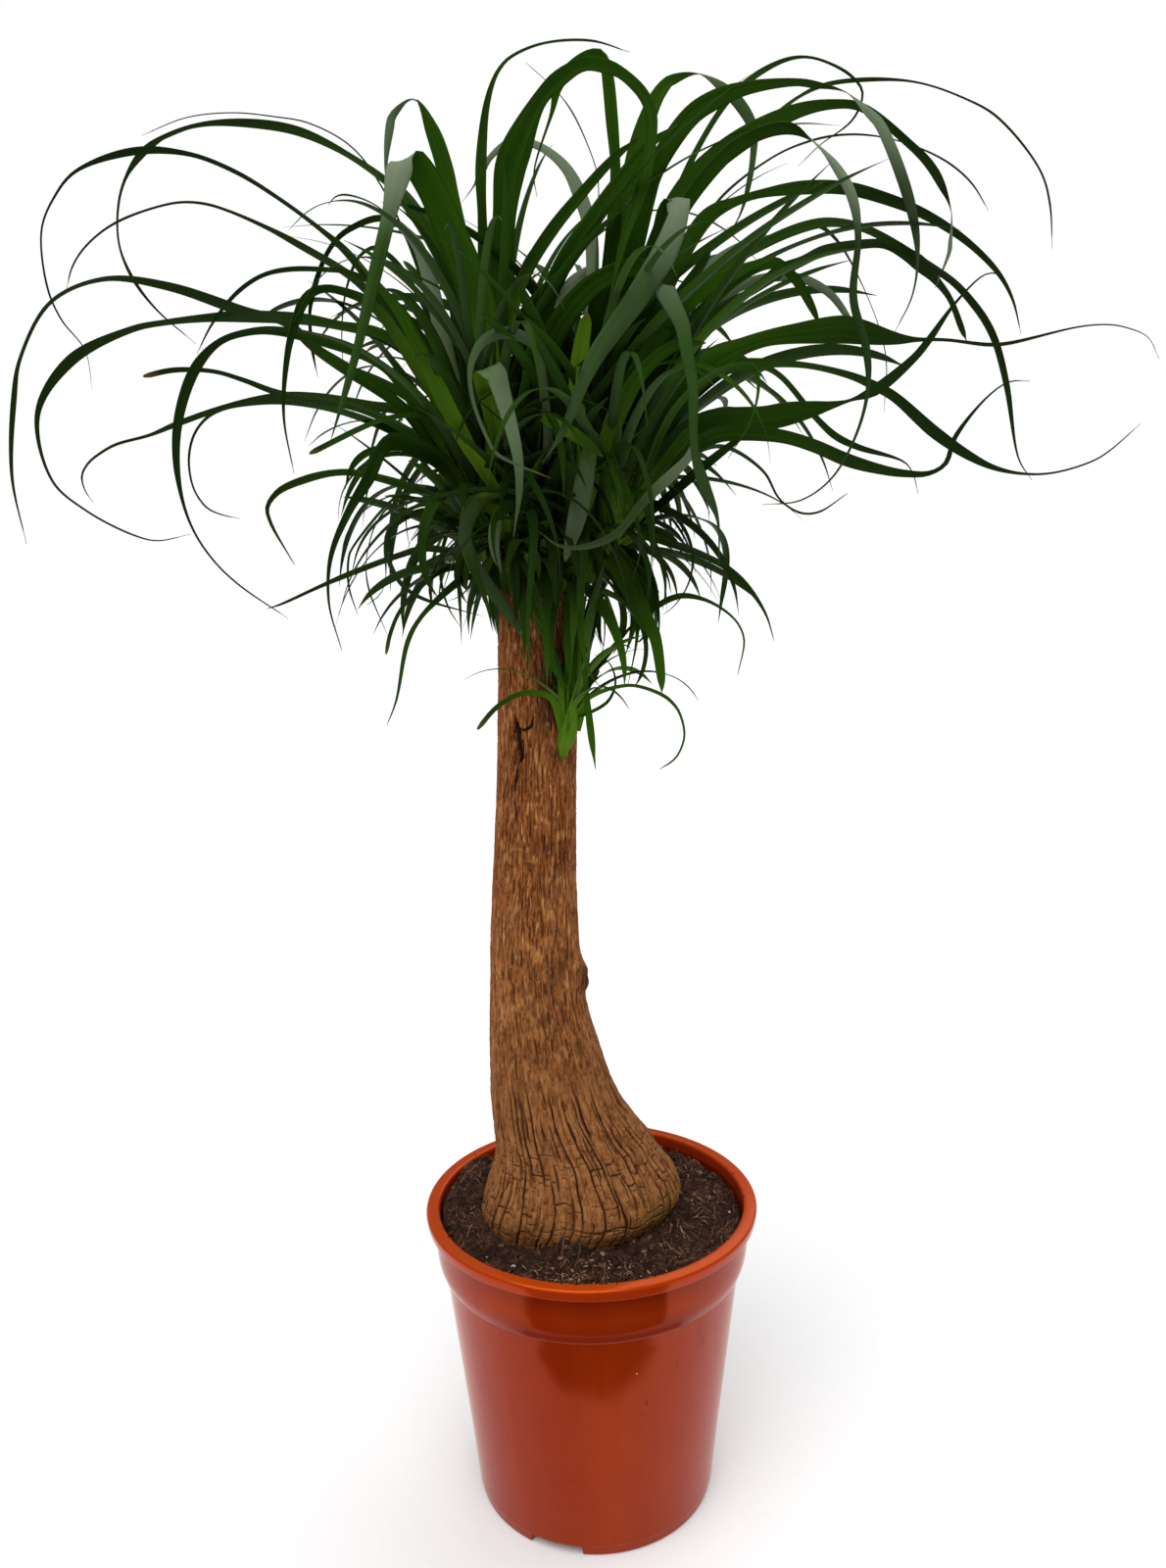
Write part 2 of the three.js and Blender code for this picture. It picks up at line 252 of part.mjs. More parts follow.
    [16.2, 8.0, 756.1, -0.68, 1.4, -0.75], [27.1, 13.6, 759.9, 0.4, 1.52, -0.76], [50.9, 31.7, 828.8, 0.93, 1.54, -0.81],
    [81.5, 51.7, 893.4, 0.52, 1.68, -0.94], [101.5, 63.1, 922.4, 0.18, 1.43, -0.88], [139.0, 81.7, 952.6, 0.16, 0.77, -0.89],
    [162.8, 92.7, 965.1, -0.23, 1.17, -0.69], [208.3, 112.8, 976.1, -0.26, 0.72, -0.77], [235.9, 124.5, 975.6, -0.4, 0.93, -0.16],
    [266.6, 137.3, 969.5, -0.46, 0.72, -0.6], [300.3, 151.5, 952.2, -0.7, 0.42, -0.57], [314.6, 158.0, 935.8, -0.31, 0.3, -0.13],
  ],
  leaf_right_07: [
    [14.1, 8.0, 745.5, -1.08, 5.14, -2.16], [23.5, 9.2, 748.0, 2.23, 5.38, -1.24], [32.9, 11.4, 788.4, 3.33, 5.22, -1.21],
    [58.4, 16.1, 853.1, 2.85, 5.25, -1.86], [76.8, 19.0, 886.1, 2.18, 5.48, -1.99], [92.3, 21.2, 901.9, 0.62, 4.62, -2.1],
    [119.9, 24.7, 912.0, 0.13, 2.34, -1.52], [149.4, 28.4, 916.7, 0.13, 1.85, -3.83], [179.5, 32.1, 917.2, -0.66, 4.25, -1.36],
    [234.4, 38.8, 901.5, -1.25, 2.13, -2.15], [286.8, 45.3, 865.0, -1.21, 0.82, -1.02], [304.5, 48.0, 826.6, -0.41, 0.16, -0.09],
  ],
  leaf_right_08: [
    [16.2, 8.0, 756.1, 2.13, 3.75, -0.28], [45.3, -7.8, 844.3, 2.78, 3.75, -0.32], [71.1, -20.4, 896.8, 2.42, 3.82, -0.45],
    [99.9, -32.6, 923.8, 1.94, 3.96, -0.61], [128.1, -43.7, 929.3, 1.0, 3.69, -1.23], [149.3, -52.3, 914.5, -1.05, 1.53, -1.32],
    [163.5, -59.6, 885.9, -0.88, 3.0, -0.82], [164.0, -67.3, 826.9, -1.98, 1.35, -0.3], [172.1, -74.9, 776.2, -1.04, 1.2, -0.03],
    [165.9, -79.0, 751.1, -0.92, 0.78, 0.22], [149.9, -86.2, 723.5, -0.67, 0.5, 0.46], [130.1, -93.5, 710.0, -0.26, -0.01, 0.72],
    [106.0, -102.0, 707.3, 0.01, -0.02, 0.45],
  ],
  leaf_right_09: [
    [31.1, -16.0, 719.6, 2.03, -4.12, 0.58], [27.1, -16.2, 737.5, 2.31, -4.03, -0.34], [36.5, -16.8, 773.1, 2.69, -4.3, -0.99],
    [51.5, -17.4, 806.2, 2.79, -3.99, -1.61], [84.7, -18.7, 851.8, 1.75, -3.85, -2.79], [121.5, -19.9, 872.0, 1.21, -1.31, -2.93],
    [159.4, -21.2, 881.4, -0.04, -2.52, -2.98], [180.3, -21.9, 877.4, -1.21, -1.75, -2.56], [236.2, -23.7, 844.8, -0.37, 3.22, -0.58],
    [263.6, -24.7, 808.1, -1.32, 1.84, -0.57], [280.7, -25.7, 736.7, -0.74, 0.33, -0.26], [289.4, -26.0, 723.7, -0.32, 0.14, -0.29],
  ],
  leaf_right_10: [
    [31.1, -16.0, 719.6, -3.46, -5.1, -0.31], [30.1, -14.8, 731.7, -3.16, -5.33, 1.5], [46.4, -9.6, 769.3, -3.34, -5.74, 2.56],
    [73.2, -1.9, 812.4, -2.46, -5.83, 3.14], [88.2, 2.2, 833.0, -1.01, -3.88, 1.86], [132.0, 12.8, 861.3, -0.68, -4.07, 2.67],
    [162.4, 19.8, 875.4, 0.03, -3.82, 2.25], [199.5, 28.0, 881.5, 0.53, -2.54, 1.82], [209.7, 30.2, 880.3, 1.1, -2.04, 2.35],
    [230.6, 34.9, 869.4, 2.89, 0.16, 3.98], [252.3, 40.0, 848.7, 1.31, 1.49, 1.28], [267.2, 44.0, 819.6, 0.39, -0.07, 0.2],
  ],
  leaf_right_11: [
    [31.1, -16.0, 719.6, 4.38, 7.29, -0.5], [47.2, -20.4, 756.0, 4.91, 7.84, -1.55], [67.0, -25.3, 785.7, 4.62, 7.51, -2.85],
    [88.0, -29.9, 801.8, 3.37, 6.66, -3.55], [115.8, -35.8, 811.0, 1.33, 2.54, -3.54], [162.2, -45.6, 814.1, 1.23, 7.4, -3.13],
    [196.2, -53.0, 806.3, -0.36, 1.93, -4.85], [221.6, -58.6, 804.4, 0.35, 2.67, -1.72], [246.4, -64.1, 800.2, 0.49, 2.28, -2.31],
    [312.1, -79.5, 807.4, 0.14, 1.04, -0.71], [332.0, -84.2, 799.2, -0.13, 0.55, -0.3], [338.3, -86.0, 786.9, -0.28, 0.33, -0.12],
  ],
  leaf_right_12: [
    [28.3, -15.6, 711.7, 1.7, 6.46, -2.94], [36.6, -16.8, 715.3, 3.14, 6.59, -2.09], [56.5, -20.5, 746.4, 3.97, 6.53, -2.37],
    [75.6, -23.7, 761.6, 2.77, 6.58, -3.48], [118.1, -30.3, 764.8, 1.27, 6.99, -3.36], [159.8, -36.9, 770.9, 0.82, 2.82, -1.86],
    [184.8, -41.0, 778.9, 1.75, 3.8, -2.33], [206.9, -45.0, 796.6, 1.94, 0.77, -1.77], [230.0, -49.7, 827.6, 1.66, 1.79, -1.12],
    [245.8, -52.7, 842.3, 0.62, 0.83, -0.97], [253.4, -54.0, 842.4, -0.43, 0.72, -1.01], [261.3, -55.6, 830.5, -0.37, 0.18, -0.19],
  ],
  leaf_right_13: [
    [25.1, -15.1, 702.5, 2.26, 4.67, -2.06], [33.4, -18.4, 705.6, 3.07, 4.78, -1.16], [58.8, -30.5, 739.2, 3.48, 4.69, -1.56],
    [83.9, -41.5, 753.6, 2.75, 4.67, -2.44], [123.8, -58.9, 750.3, 0.51, 3.02, -3.07], [178.0, -84.1, 727.5, -0.48, 0.9, -2.76],
    [203.6, -96.6, 723.8, 0.72, 1.08, -1.15], [211.6, -100.9, 728.6, 1.3, 1.09, -0.32], [215.7, -104.6, 743.2, 1.39, 0.93, -0.38],
    [231.2, -114.7, 764.6, 0.66, 0.18, -0.54], [240.5, -120.1, 770.7, 0.23, 0.2, -0.6], [249.6, -125.1, 770.0, -0.02, 0.11, -0.43],
  ],
  leaf_right_14: [
    [31.1, -16.0, 719.6, -1.87, 3.38, 0.34], [51.3, -11.3, 751.9, -2.28, 3.45, 1.1], [76.4, -5.8, 781.1, -2.16, 3.4, 1.46],
    [94.0, -2.3, 795.3, -1.76, 3.38, 1.94], [112.8, 1.3, 801.0, -0.68, 2.84, 2.62], [122.6, 3.1, 800.2, 0.27, 2.03, 2.45],
    [134.1, 5.3, 794.0, 1.16, 1.07, 1.78], [158.5, 10.3, 767.6, 1.53, 1.81, 1.75], [171.4, 12.8, 757.0, 1.17, 0.79, 2.26],
    [220.6, 21.7, 739.9, 0.47, 0.4, 0.86], [226.7, 22.9, 732.2, 0.58, 0.25, 0.27], [230.7, 24.0, 719.4, 0.43, 0.02, 0.13],
  ],
  leaf_right_15: [
    [30.2, -15.9, 717.0, -2.0, 4.43, 1.6], [67.5, -14.5, 777.6, -2.68, 4.43, 2.26], [83.8, -14.0, 791.9, -1.96, 4.24, 3.15],
    [101.6, -13.5, 797.8, -0.62, 3.94, 3.84], [142.9, -12.3, 798.8, 0.14, 1.28, 2.24], [174.1, -11.4, 792.1, 0.83, 1.01, 2.4],
    [203.4, -10.6, 778.6, 1.69, 1.52, 3.01], [230.8, -9.8, 756.1, 2.34, -0.96, 2.93], [270.5, -8.6, 733.2, 0.57, 0.63, 1.74],
    [309.4, -7.6, 729.2, -0.15, 0.73, 0.88], [334.1, -6.8, 735.8, -0.33, 0.37, 0.8], [366.2, -5.9, 759.9, -0.12, 0.4, 0.16],
  ],
  leaf_right_16: [
    [28.3, -15.6, 711.7, 2.77, 2.34, -0.23], [36.3, -24.9, 720.2, 2.55, 2.03, 0.13], [51.0, -47.5, 754.6, 2.68, 1.8, 0.03],
    [61.2, -62.0, 770.0, 2.71, 2.01, -0.01], [78.9, -85.4, 783.2, 2.69, 1.94, -0.31], [92.9, -103.8, 784.8, 1.89, 1.58, -1.27],
    [99.2, -112.4, 781.6, 0.16, 1.56, -1.62], [101.0, -115.9, 776.5, -0.95, 1.4, -0.77], [100.9, -118.7, 768.1, -1.06, 0.88, -0.19],
    [95.8, -127.1, 751.7, -0.79, 0.54, 0.03], [80.8, -145.6, 729.6, -0.25, 0.35, -0.13],
  ],
  leaf_front_01: [
    [15.9, 8.0, 754.4, 4.13, -3.81, 2.06], [6.7, -2.1, 758.8, 3.79, -2.71, -0.54], [8.3, -17.2, 805.8, 4.19, -0.75, -0.59],
    [12.9, -30.3, 835.5, 3.36, -2.17, -2.48], [21.8, -43.0, 847.2, -0.62, -2.41, -5.49], [37.9, -62.4, 846.6, -4.76, -2.66, -3.48],
    [50.8, -79.7, 833.8, -4.76, -2.89, -0.22], [60.3, -97.4, 808.1, -3.07, -1.38, 0.07], [64.8, -113.3, 773.6, -2.33, -0.4, 0.01],
    [64.5, -126.7, 737.3, -1.8, -0.67, 0.12], [74.5, -151.5, 697.7, -0.82, -0.8, 0.3], [74.4, -160.8, 673.9, 0.34, -0.28, 0.1],
  ],
  leaf_front_02: [
    [-52.9, -7.4, 743.5, 4.26, 1.76, 0.07], [-51.2, -13.2, 752.2, 4.54, 1.52, 0.83], [-51.9, -19.4, 760.8, 4.84, 1.26, 1.61],
    [-57.0, -44.2, 787.1, 4.71, 2.11, 2.86], [-57.3, -48.0, 792.1, 5.35, 2.92, 1.13], [-51.6, -58.0, 793.8, 1.41, 3.16, -5.28],
    [-48.4, -64.7, 788.4, -2.91, 3.04, -4.02], [-46.3, -70.2, 782.0, -3.6, 2.19, -2.93], [-42.8, -80.6, 769.5, -3.51, 1.29, -1.95],
    [-34.7, -107.4, 736.1, -2.66, 0.46, -0.82], [-33.8, -119.6, 715.8, -1.89, 0.1, 0.07], [-36.7, -137.4, 690.4, -0.28, 0.31, -0.18],
  ],
  leaf_front_03: [
    [-52.8, -7.3, 741.6, 2.31, 2.68, -1.6], [-23.0, -34.7, 740.3, 2.44, 2.44, -1.32], [-19.2, -38.6, 742.5, 2.63, 1.93, 0.04],
    [-19.6, -49.5, 776.4, 2.3, 0.51, 0.32], [-22.6, -59.6, 800.6, 1.62, 1.53, 1.6], [-29.4, -68.2, 807.6, -0.55, 1.54, 2.97],
    [-39.7, -79.8, 809.1, -2.15, 1.62, 2.3], [-55.8, -98.8, 798.0, -2.27, 1.44, 0.14], [-60.2, -106.5, 784.2, -1.54, 0.83, -0.11],
    [-58.8, -112.9, 767.3, -1.13, 0.56, -0.58], [-44.9, -133.2, 735.6, -0.07, 0.82, -1.01], [-14.7, -167.3, 719.3, 0.25, 0.31, -0.21],
  ],
  leaf_front_04: [
    [13.8, 8.0, 743.7, 5.25, 7.02, -0.52], [20.6, 3.1, 753.7, 5.15, 6.09, 0.13], [37.0, -14.4, 814.1, 6.17, 5.5, -0.02],
    [58.4, -38.5, 887.2, 4.88, 5.08, -0.01], [62.5, -41.8, 892.3, 4.06, 5.62, -0.65], [62.9, -45.2, 880.8, 3.74, 4.31, -2.11],
    [54.1, -53.0, 857.9, 1.98, 5.9, -3.6], [35.7, -66.7, 829.0, 0.95, 5.36, -3.33], [12.8, -83.8, 796.7, 0.93, 4.02, -2.48],
    [4.5, -90.7, 781.0, 1.18, 3.1, -1.79], [-7.8, -102.0, 751.6, 0.79, 1.64, -1.1], [-20.2, -112.0, 732.3, 0.04, 0.38, -0.24],
  ],
  leaf_front_05: [
    [30.7, -15.9, 718.3, 3.94, 2.87, 2.53], [36.3, -22.2, 717.2, 2.57, 3.0, 3.78], [40.5, -27.2, 720.3, 0.04, 3.58, 4.03],
    [67.1, -63.9, 752.3, 0.91, 3.01, 4.2], [70.5, -68.2, 753.2, 4.15, 2.1, 1.16], [69.5, -73.1, 742.7, 2.15, 2.64, -2.62],
    [64.0, -79.8, 735.0, 0.71, 2.86, -3.62], [18.3, -135.3, 690.2, -0.68, 1.83, -2.31], [8.1, -147.8, 685.4, -1.3, 1.44, -1.67],
    [-5.3, -164.7, 683.5, -1.28, 0.95, -0.76], [-12.7, -174.5, 685.6, -1.02, 0.65, -0.22], [-20.4, -185.9, 691.6, -0.33, 0.28, 0.11],
  ],
  leaf_front_06: [
    [-42.2, -4.5, 682.3, 4.16, -2.47, 0.29], [-46.7, -12.1, 690.3, 4.03, -2.23, -0.4], [-49.1, -20.4, 705.9, 4.7, -2.53, -0.3],
    [-53.4, -28.1, 713.5, 5.4, -2.87, 1.02], [-61.0, -39.0, 715.9, 3.69, -3.1, 4.08], [-65.9, -46.1, 713.3, 0.47, -3.43, 4.6],
    [-69.8, -53.2, 705.0, -2.45, -2.9, 2.29], [-70.3, -58.6, 692.6, -2.74, -1.64, 0.38], [-66.3, -67.3, 677.5, -2.41, -1.19, -0.07],
    [-57.0, -84.2, 654.5, -1.39, -0.67, -0.01], [-52.7, -94.5, 637.0, -0.38, -0.23, 0.05],
  ],
  leaf_front_07: [
    [-38.9, -3.7, 673.8, 4.7, -2.98, -1.66], [-51.4, -21.2, 668.1, 4.63, -2.63, -1.06], [-54.9, -27.6, 661.8, 3.5, -2.29, 1.5],
    [-48.7, -38.1, 649.1, 1.66, -1.37, 2.46], [-32.1, -63.7, 626.8, -0.01, -0.29, 0.34],
  ],
  leaf_low_01: [
    [14.2, -14.1, 684.7, 8.06, 6.17, 1.74], [19.9, -20.6, 681.2, 8.13, 6.1, 1.09], [23.9, -25.8, 676.3, 8.13, 5.66, 0.04],
    [33.3, -39.5, 659.2, 7.06, 2.96, 1.31], [39.7, -51.0, 641.2, 5.23, 2.53, 0.61], [45.6, -60.1, 630.4, 3.56, 2.16, -0.16],
    [49.0, -72.0, 602.7, 2.48, 0.54, -0.07], [49.0, -74.1, 596.4, 0.44, 0.07, -0.02],
  ],
  leaf_low_02: [
    [10.0, -13.6, 679.2, 1.38, 2.2, 0.53], [16.7, -16.3, 672.0, 1.54, 2.26, 0.47], [33.2, -23.3, 647.7, 1.77, 2.17, 0.52],
    [37.5, -25.0, 643.9, 1.12, 2.17, 1.31], [43.3, -27.1, 644.9, 0.03, 1.99, 1.7], [57.3, -32.3, 652.7, -0.6, 0.79, 1.94],
    [66.4, -35.6, 654.8, 0.13, 0.38, 1.92], [81.5, -41.2, 651.0, 0.73, 0.42, 1.2], [94.5, -46.3, 642.4, 0.82, 0.27, 0.79],
    [100.3, -48.8, 635.1, 0.95, 0.25, 0.44], [102.9, -50.4, 626.1, 1.01, 0.17, 0.06], [98.4, -53.6, 604.5, 0.43, -0.08, -0.1],
  ],
  leaf_low_03: [
    [16.4, -14.3, 688.2, 0.53, 3.46, -1.86], [22.9, -15.4, 688.5, 1.02, 3.51, -1.83], [34.0, -17.3, 694.2, 1.35, 3.51, -2.01],
    [43.4, -18.9, 694.7, 0.11, 3.55, -2.4], [61.7, -22.1, 687.9, -0.34, 3.55, -2.24], [91.1, -27.3, 674.4, -0.64, 2.2, -1.7],
    [103.6, -29.6, 664.2, -1.21, 1.11, -1.38], [113.7, -31.6, 651.6, -1.23, 0.41, -0.86], [119.9, -33.0, 640.3, -0.96, 0.35, -0.44],
    [124.4, -34.3, 624.7, -0.42, 0.11, -0.1],
  ],
  leaf_side_01: [
    [-11.3, -28.2, 563.8, 2.04, -2.87, 0.05], [-17.1, -32.3, 587.0, 2.46, -2.81, 0.54], [-21.4, -34.2, 591.8, 2.09, -2.78, 1.4],
    [-27.4, -36.6, 594.2, 1.5, -2.69, 1.9], [-37.1, -40.4, 594.8, 0.77, -2.45, 2.0], [-46.2, -44.0, 592.3, 0.03, -2.1, 1.76],
    [-56.8, -48.5, 585.3, -0.73, -1.29, 1.5], [-67.2, -53.2, 573.5, -1.31, -0.46, 1.15],
  ],
  leaf_side_02: [
    [-10.9, -28.6, 566.4, 1.15, 1.89, -0.14], [-7.0, -29.8, 579.2, 1.34, 1.88, -0.38], [-3.6, -30.5, 584.9, 1.3, 1.75, -0.79],
    [10.3, -33.3, 593.5, 0.79, 1.13, -1.28], [29.1, -36.9, 598.1, 0.1, 0.48, -1.38], [38.7, -38.7, 596.9, -0.29, 0.25, -1.36],
    [55.9, -42.2, 588.8, -0.93, 0.17, -1.12], [61.9, -43.5, 581.3, -1.06, 0.35, -0.62], [65.4, -44.9, 565.8, -1.09, 0.21, 0.06],
    [61.3, -46.0, 553.8, -0.86, 0.02, 0.58], [57.0, -47.0, 549.2, -0.62, 0.06, 0.79], [48.6, -48.6, 544.4, -0.2, 0.05, 0.4],
  ],
};

// Finer leaves that stay joined to their shoot, given the same way.
const SHOOT_LEAVES = {
  shoot_center: [
    [
      [-53.9, -8.0, 761.8, -0.82, -0.72, 0.01], [-77.9, 16.1, 858.8, -1.17, -1.45, -0.01], [-98.9, 31.2, 904.5, -1.16, -1.53, -0.1],
      [-116.2, 41.5, 926.4, -1.14, -1.22, -0.58], [-167.2, 67.8, 963.3, -0.89, -0.97, -0.64], [-209.8, 88.0, 981.8, -0.55, -0.72, -0.77],
      [-272.8, 115.8, 990.6, 0.1, 0.2, -1.55], [-311.2, 132.0, 982.8, 0.03, -0.23, -0.39],
    ],
    [
      [-53.9, -8.0, 761.8, -0.76, -0.94, 0.01], [-70.7, 6.0, 790.8, -0.89, -0.95, 0.01], [-100.3, 35.9, 877.2, -0.69, -0.82, -0.01],
      [-126.4, 54.8, 912.1, -0.58, -0.61, -0.16], [-141.5, 64.3, 923.8, -0.54, -0.26, -0.68], [-159.5, 74.9, 931.1, 0.03, 0.28, -1.01],
      [-166.5, 78.9, 930.5, 0.36, 0.23, -0.62], [-171.6, 82.0, 926.7, 0.34, 0.13, -0.27],
    ],
    [
      [-53.9, -8.0, 761.8, -3.94, -4.21, 2.94], [-67.7, 6.1, 763.9, -2.26, -3.75, 4.52], [-72.1, 10.9, 767.8, 2.07, -4.03, 3.67],
      [-116.3, 80.5, 905.0, 1.43, -2.46, 2.2], [-123.2, 87.9, 914.5, -0.8, -2.61, 2.24], [-130.0, 94.0, 916.7, -2.06, -2.19, 0.81],
      [-135.3, 99.0, 913.6, -1.75, -1.78, -0.06], [-144.9, 112.0, 887.3, -0.17, -0.4, -0.12],
    ],
    [
      [-38.1, -3.5, 672.1, 2.75, 1.12, -0.12], [-34.1, -14.2, 680.9, 2.82, 0.97, 0.38], [-35.8, -32.4, 702.7, 2.27, 1.28, 2.1],
      [-39.3, -45.1, 710.4, 0.81, 0.9, 3.46], [-43.5, -56.9, 711.9, 0.71, -0.56, 3.52], [-51.4, -81.7, 700.3, -1.33, -1.1, 1.48],
      [-50.7, -94.0, 685.3, -1.15, -0.43, 0.16], [-45.4, -113.5, 668.0, -0.27, -0.27, 0.24],
    ],
  ],
  shoot_left: [
    [
      [-76.0, 10.0, 742.2, -1.25, -0.63, 0.03], [-79.3, 17.3, 768.6, -1.55, -0.98, -0.04], [-102.1, 45.8, 848.2, -1.62, -1.65, 0.01],
      [-123.0, 64.0, 883.0, -1.76, -1.9, -0.23], [-141.4, 77.1, 896.5, -0.96, -1.15, -1.54], [-153.5, 85.2, 891.2, 0.73, -0.79, -1.24],
      [-165.6, 95.3, 868.2, 0.99, -0.3, -0.44], [-170.3, 110.0, 808.6, 0.09, -0.43, -0.11],
    ],
    [
      [-65.3, 9.3, 702.8, -1.06, -1.27, -0.74], [-75.0, 16.8, 706.0, -1.32, -1.36, -0.29], [-103.1, 39.1, 728.3, -1.23, -1.33, -0.93],
      [-118.3, 49.7, 729.1, -0.67, -1.31, -1.42], [-141.4, 65.9, 716.6, 0.35, -1.17, -1.29], [-170.0, 86.4, 686.0, 1.08, -0.39, -0.58],
      [-172.4, 91.6, 664.1, 1.17, -0.33, -0.02], [-168.2, 99.3, 642.4, 0.41, 0.11, 0.14],
    ],
    [
      [-63.3, 9.1, 696.8, -0.93, -0.86, 0.45], [-76.3, 21.7, 697.1, -0.19, -0.94, 1.02], [-92.8, 39.8, 715.9, 0.06, -0.93, 1.18],
      [-126.0, 70.0, 724.9, -0.99, -1.05, 0.51], [-140.3, 82.4, 718.8, -0.91, -0.97, 0.07], [-154.3, 95.7, 701.1, -0.61, -0.63, -0.02],
      [-160.9, 110.1, 661.6, -0.93, -0.44, -0.37], [-151.3, 129.1, 625.5, -0.33, 0.3, 0.07],
    ],
  ],
  shoot_right: [
    [
      [16.2, 8.0, 756.1, -0.74, -0.81, -0.01], [10.4, 13.7, 778.2, -0.78, -0.53, 0.05], [16.5, 34.8, 917.2, -0.56, -0.28, 0.06],
      [15.8, 37.0, 930.1, -0.58, -0.46, -0.01], [8.7, 43.2, 952.5, -0.75, -0.43, -0.15], [-1.1, 50.4, 974.4, -0.83, -0.18, -0.4],
      [-11.1, 56.7, 988.9, -0.44, -0.39, -0.17], [-30.6, 68.0, 1010.3, -0.32, 0.04, -0.32],
    ],
    [
      [12.7, 8.0, 738.4, -1.13, 2.12, -1.05], [23.6, 13.5, 740.9, 0.53, 2.36, -1.19], [50.0, 31.9, 808.7, 1.26, 2.33, -1.36],
      [81.8, 50.1, 857.5, 0.39, 2.54, -1.57], [127.8, 72.5, 892.8, -0.33, 2.4, -1.32], [169.3, 91.1, 910.6, -0.8, 1.97, -0.67],
      [187.7, 99.4, 902.1, -0.81, 1.51, -0.08], [216.8, 114.2, 860.3, -0.17, 0.85, 0.15], [230.7, 122.5, 824.8, -0.5, 0.47, -0.03],
      [231.7, 128.0, 786.5, -0.23, 0.38, 0.06],
    ],
  ],
  shoot_lower_right: [
    [
      [24.6, -15.0, 701.2, -1.23, 1.7, -0.62], [32.6, -10.6, 700.5, -0.18, 1.9, -1.28], [69.5, 11.7, 743.3, 0.08, 1.9, -1.54],
      [95.5, 25.2, 753.4, -0.92, 1.95, -1.0], [129.2, 42.6, 736.3, -0.91, 1.29, -0.26], [140.3, 49.2, 719.3, -0.85, 0.53, -0.56],
      [155.9, 56.9, 709.9, -0.4, 0.21, -1.12], [171.0, 63.9, 710.3, 0.25, 0.2, -1.09], [193.9, 75.0, 723.8, 0.25, 0.0, -0.38],
    ],
    [
      [15.0, -14.2, 685.9, 1.78, 2.8, 1.25], [23.8, -18.1, 681.6, 2.08, 2.86, 1.11], [28.3, -20.3, 677.1, 2.39, 2.8, 0.68],
      [34.8, -24.7, 659.0, 2.21, 2.06, 0.04], [36.1, -28.6, 629.8, 1.43, 0.64, -0.19], [29.7, -34.2, 598.0, 0.23, 0.36, -0.13],
    ],
    [
      [20.2, -14.6, 694.1, -1.29, 0.96, -0.78], [36.9, 6.3, 695.1, -1.36, 0.96, -0.72], [41.6, 12.3, 692.2, -1.39, 0.93, -0.15],
      [60.0, 37.5, 669.4, -1.11, 0.41, -0.34], [63.9, 45.4, 655.2, -0.44, 0.04, -0.06],
    ],
  ],
  shoot_side: [
    [
      [-10.4, -29.1, 568.9, 2.05, 1.73, -0.01], [-2.6, -39.9, 618.9, 2.51, 2.16, -0.02], [0.3, -42.2, 623.9, 2.03, 2.33, 0.31],
      [1.7, -43.7, 619.0, 2.12, 1.65, -0.14], [2.1, -47.2, 599.9, 1.62, 0.82, -0.03], [5.0, -54.0, 568.2, 2.22, 1.02, 0.03],
      [7.6, -59.0, 546.3, 0.44, 0.07, 0.0],
    ],
    [
      [-11.1, -28.4, 565.1, 1.91, -0.88, 0.04], [-13.0, -32.7, 575.8, 2.1, -0.61, -0.05], [-14.0, -40.4, 600.5, 1.98, -0.56, 0.01],
      [-16.2, -46.1, 614.2, 1.67, -0.73, 0.03], [-22.5, -57.1, 633.6, 1.05, -0.66, 0.0], [-30.1, -68.4, 648.0, 0.28, -0.33, -0.11],
    ],
    [
      [-10.4, -29.1, 568.9, 4.29, 6.79, -0.31], [-5.1, -31.8, 592.3, 5.1, 6.9, -0.27], [-1.1, -34.0, 612.2, 4.23, 6.57, -0.08],
      [3.6, -36.9, 638.3, 2.42, 3.8, -0.01], [7.1, -39.0, 657.6, 0.14, 0.43, 0.02],
    ],
    [
      [-10.1, -29.2, 570.2, 3.57, -1.31, -0.16], [-9.2, -35.8, 594.7, 4.42, -1.09, -0.93], [-4.5, -48.7, 638.5, 2.52, -0.56, -0.19],
      [-5.5, -53.5, 654.8, 1.45, -0.66, -0.02], [-8.8, -59.2, 667.2, 0.26, -0.35, -0.1],
    ],
    [
      [-9.1, -29.9, 575.3, -0.46, 1.6, 0.65], [2.4, -27.6, 578.2, -0.59, 1.64, 0.75], [17.4, -24.6, 587.2, -0.8, 1.56, 0.38],
      [21.4, -23.5, 595.0, -0.85, 1.26, 0.11], [21.9, -23.2, 600.8, -0.87, 0.94, -0.13], [19.6, -22.4, 609.2, -0.66, 0.68, -0.45],
      [15.9, -21.5, 613.7, -0.22, 0.59, -0.44], [7.9, -19.9, 617.3, 0.03, 0.42, -0.17],
    ],
    [
      [-7.5, -31.0, 583.6, -1.44, 2.21, 0.01], [5.7, -23.0, 603.2, -1.68, 2.3, 0.32], [28.1, -10.3, 629.2, -1.13, 1.23, 0.42],
      [45.3, -1.0, 646.7, -0.18, 0.41, -0.05],
    ],
  ],
};

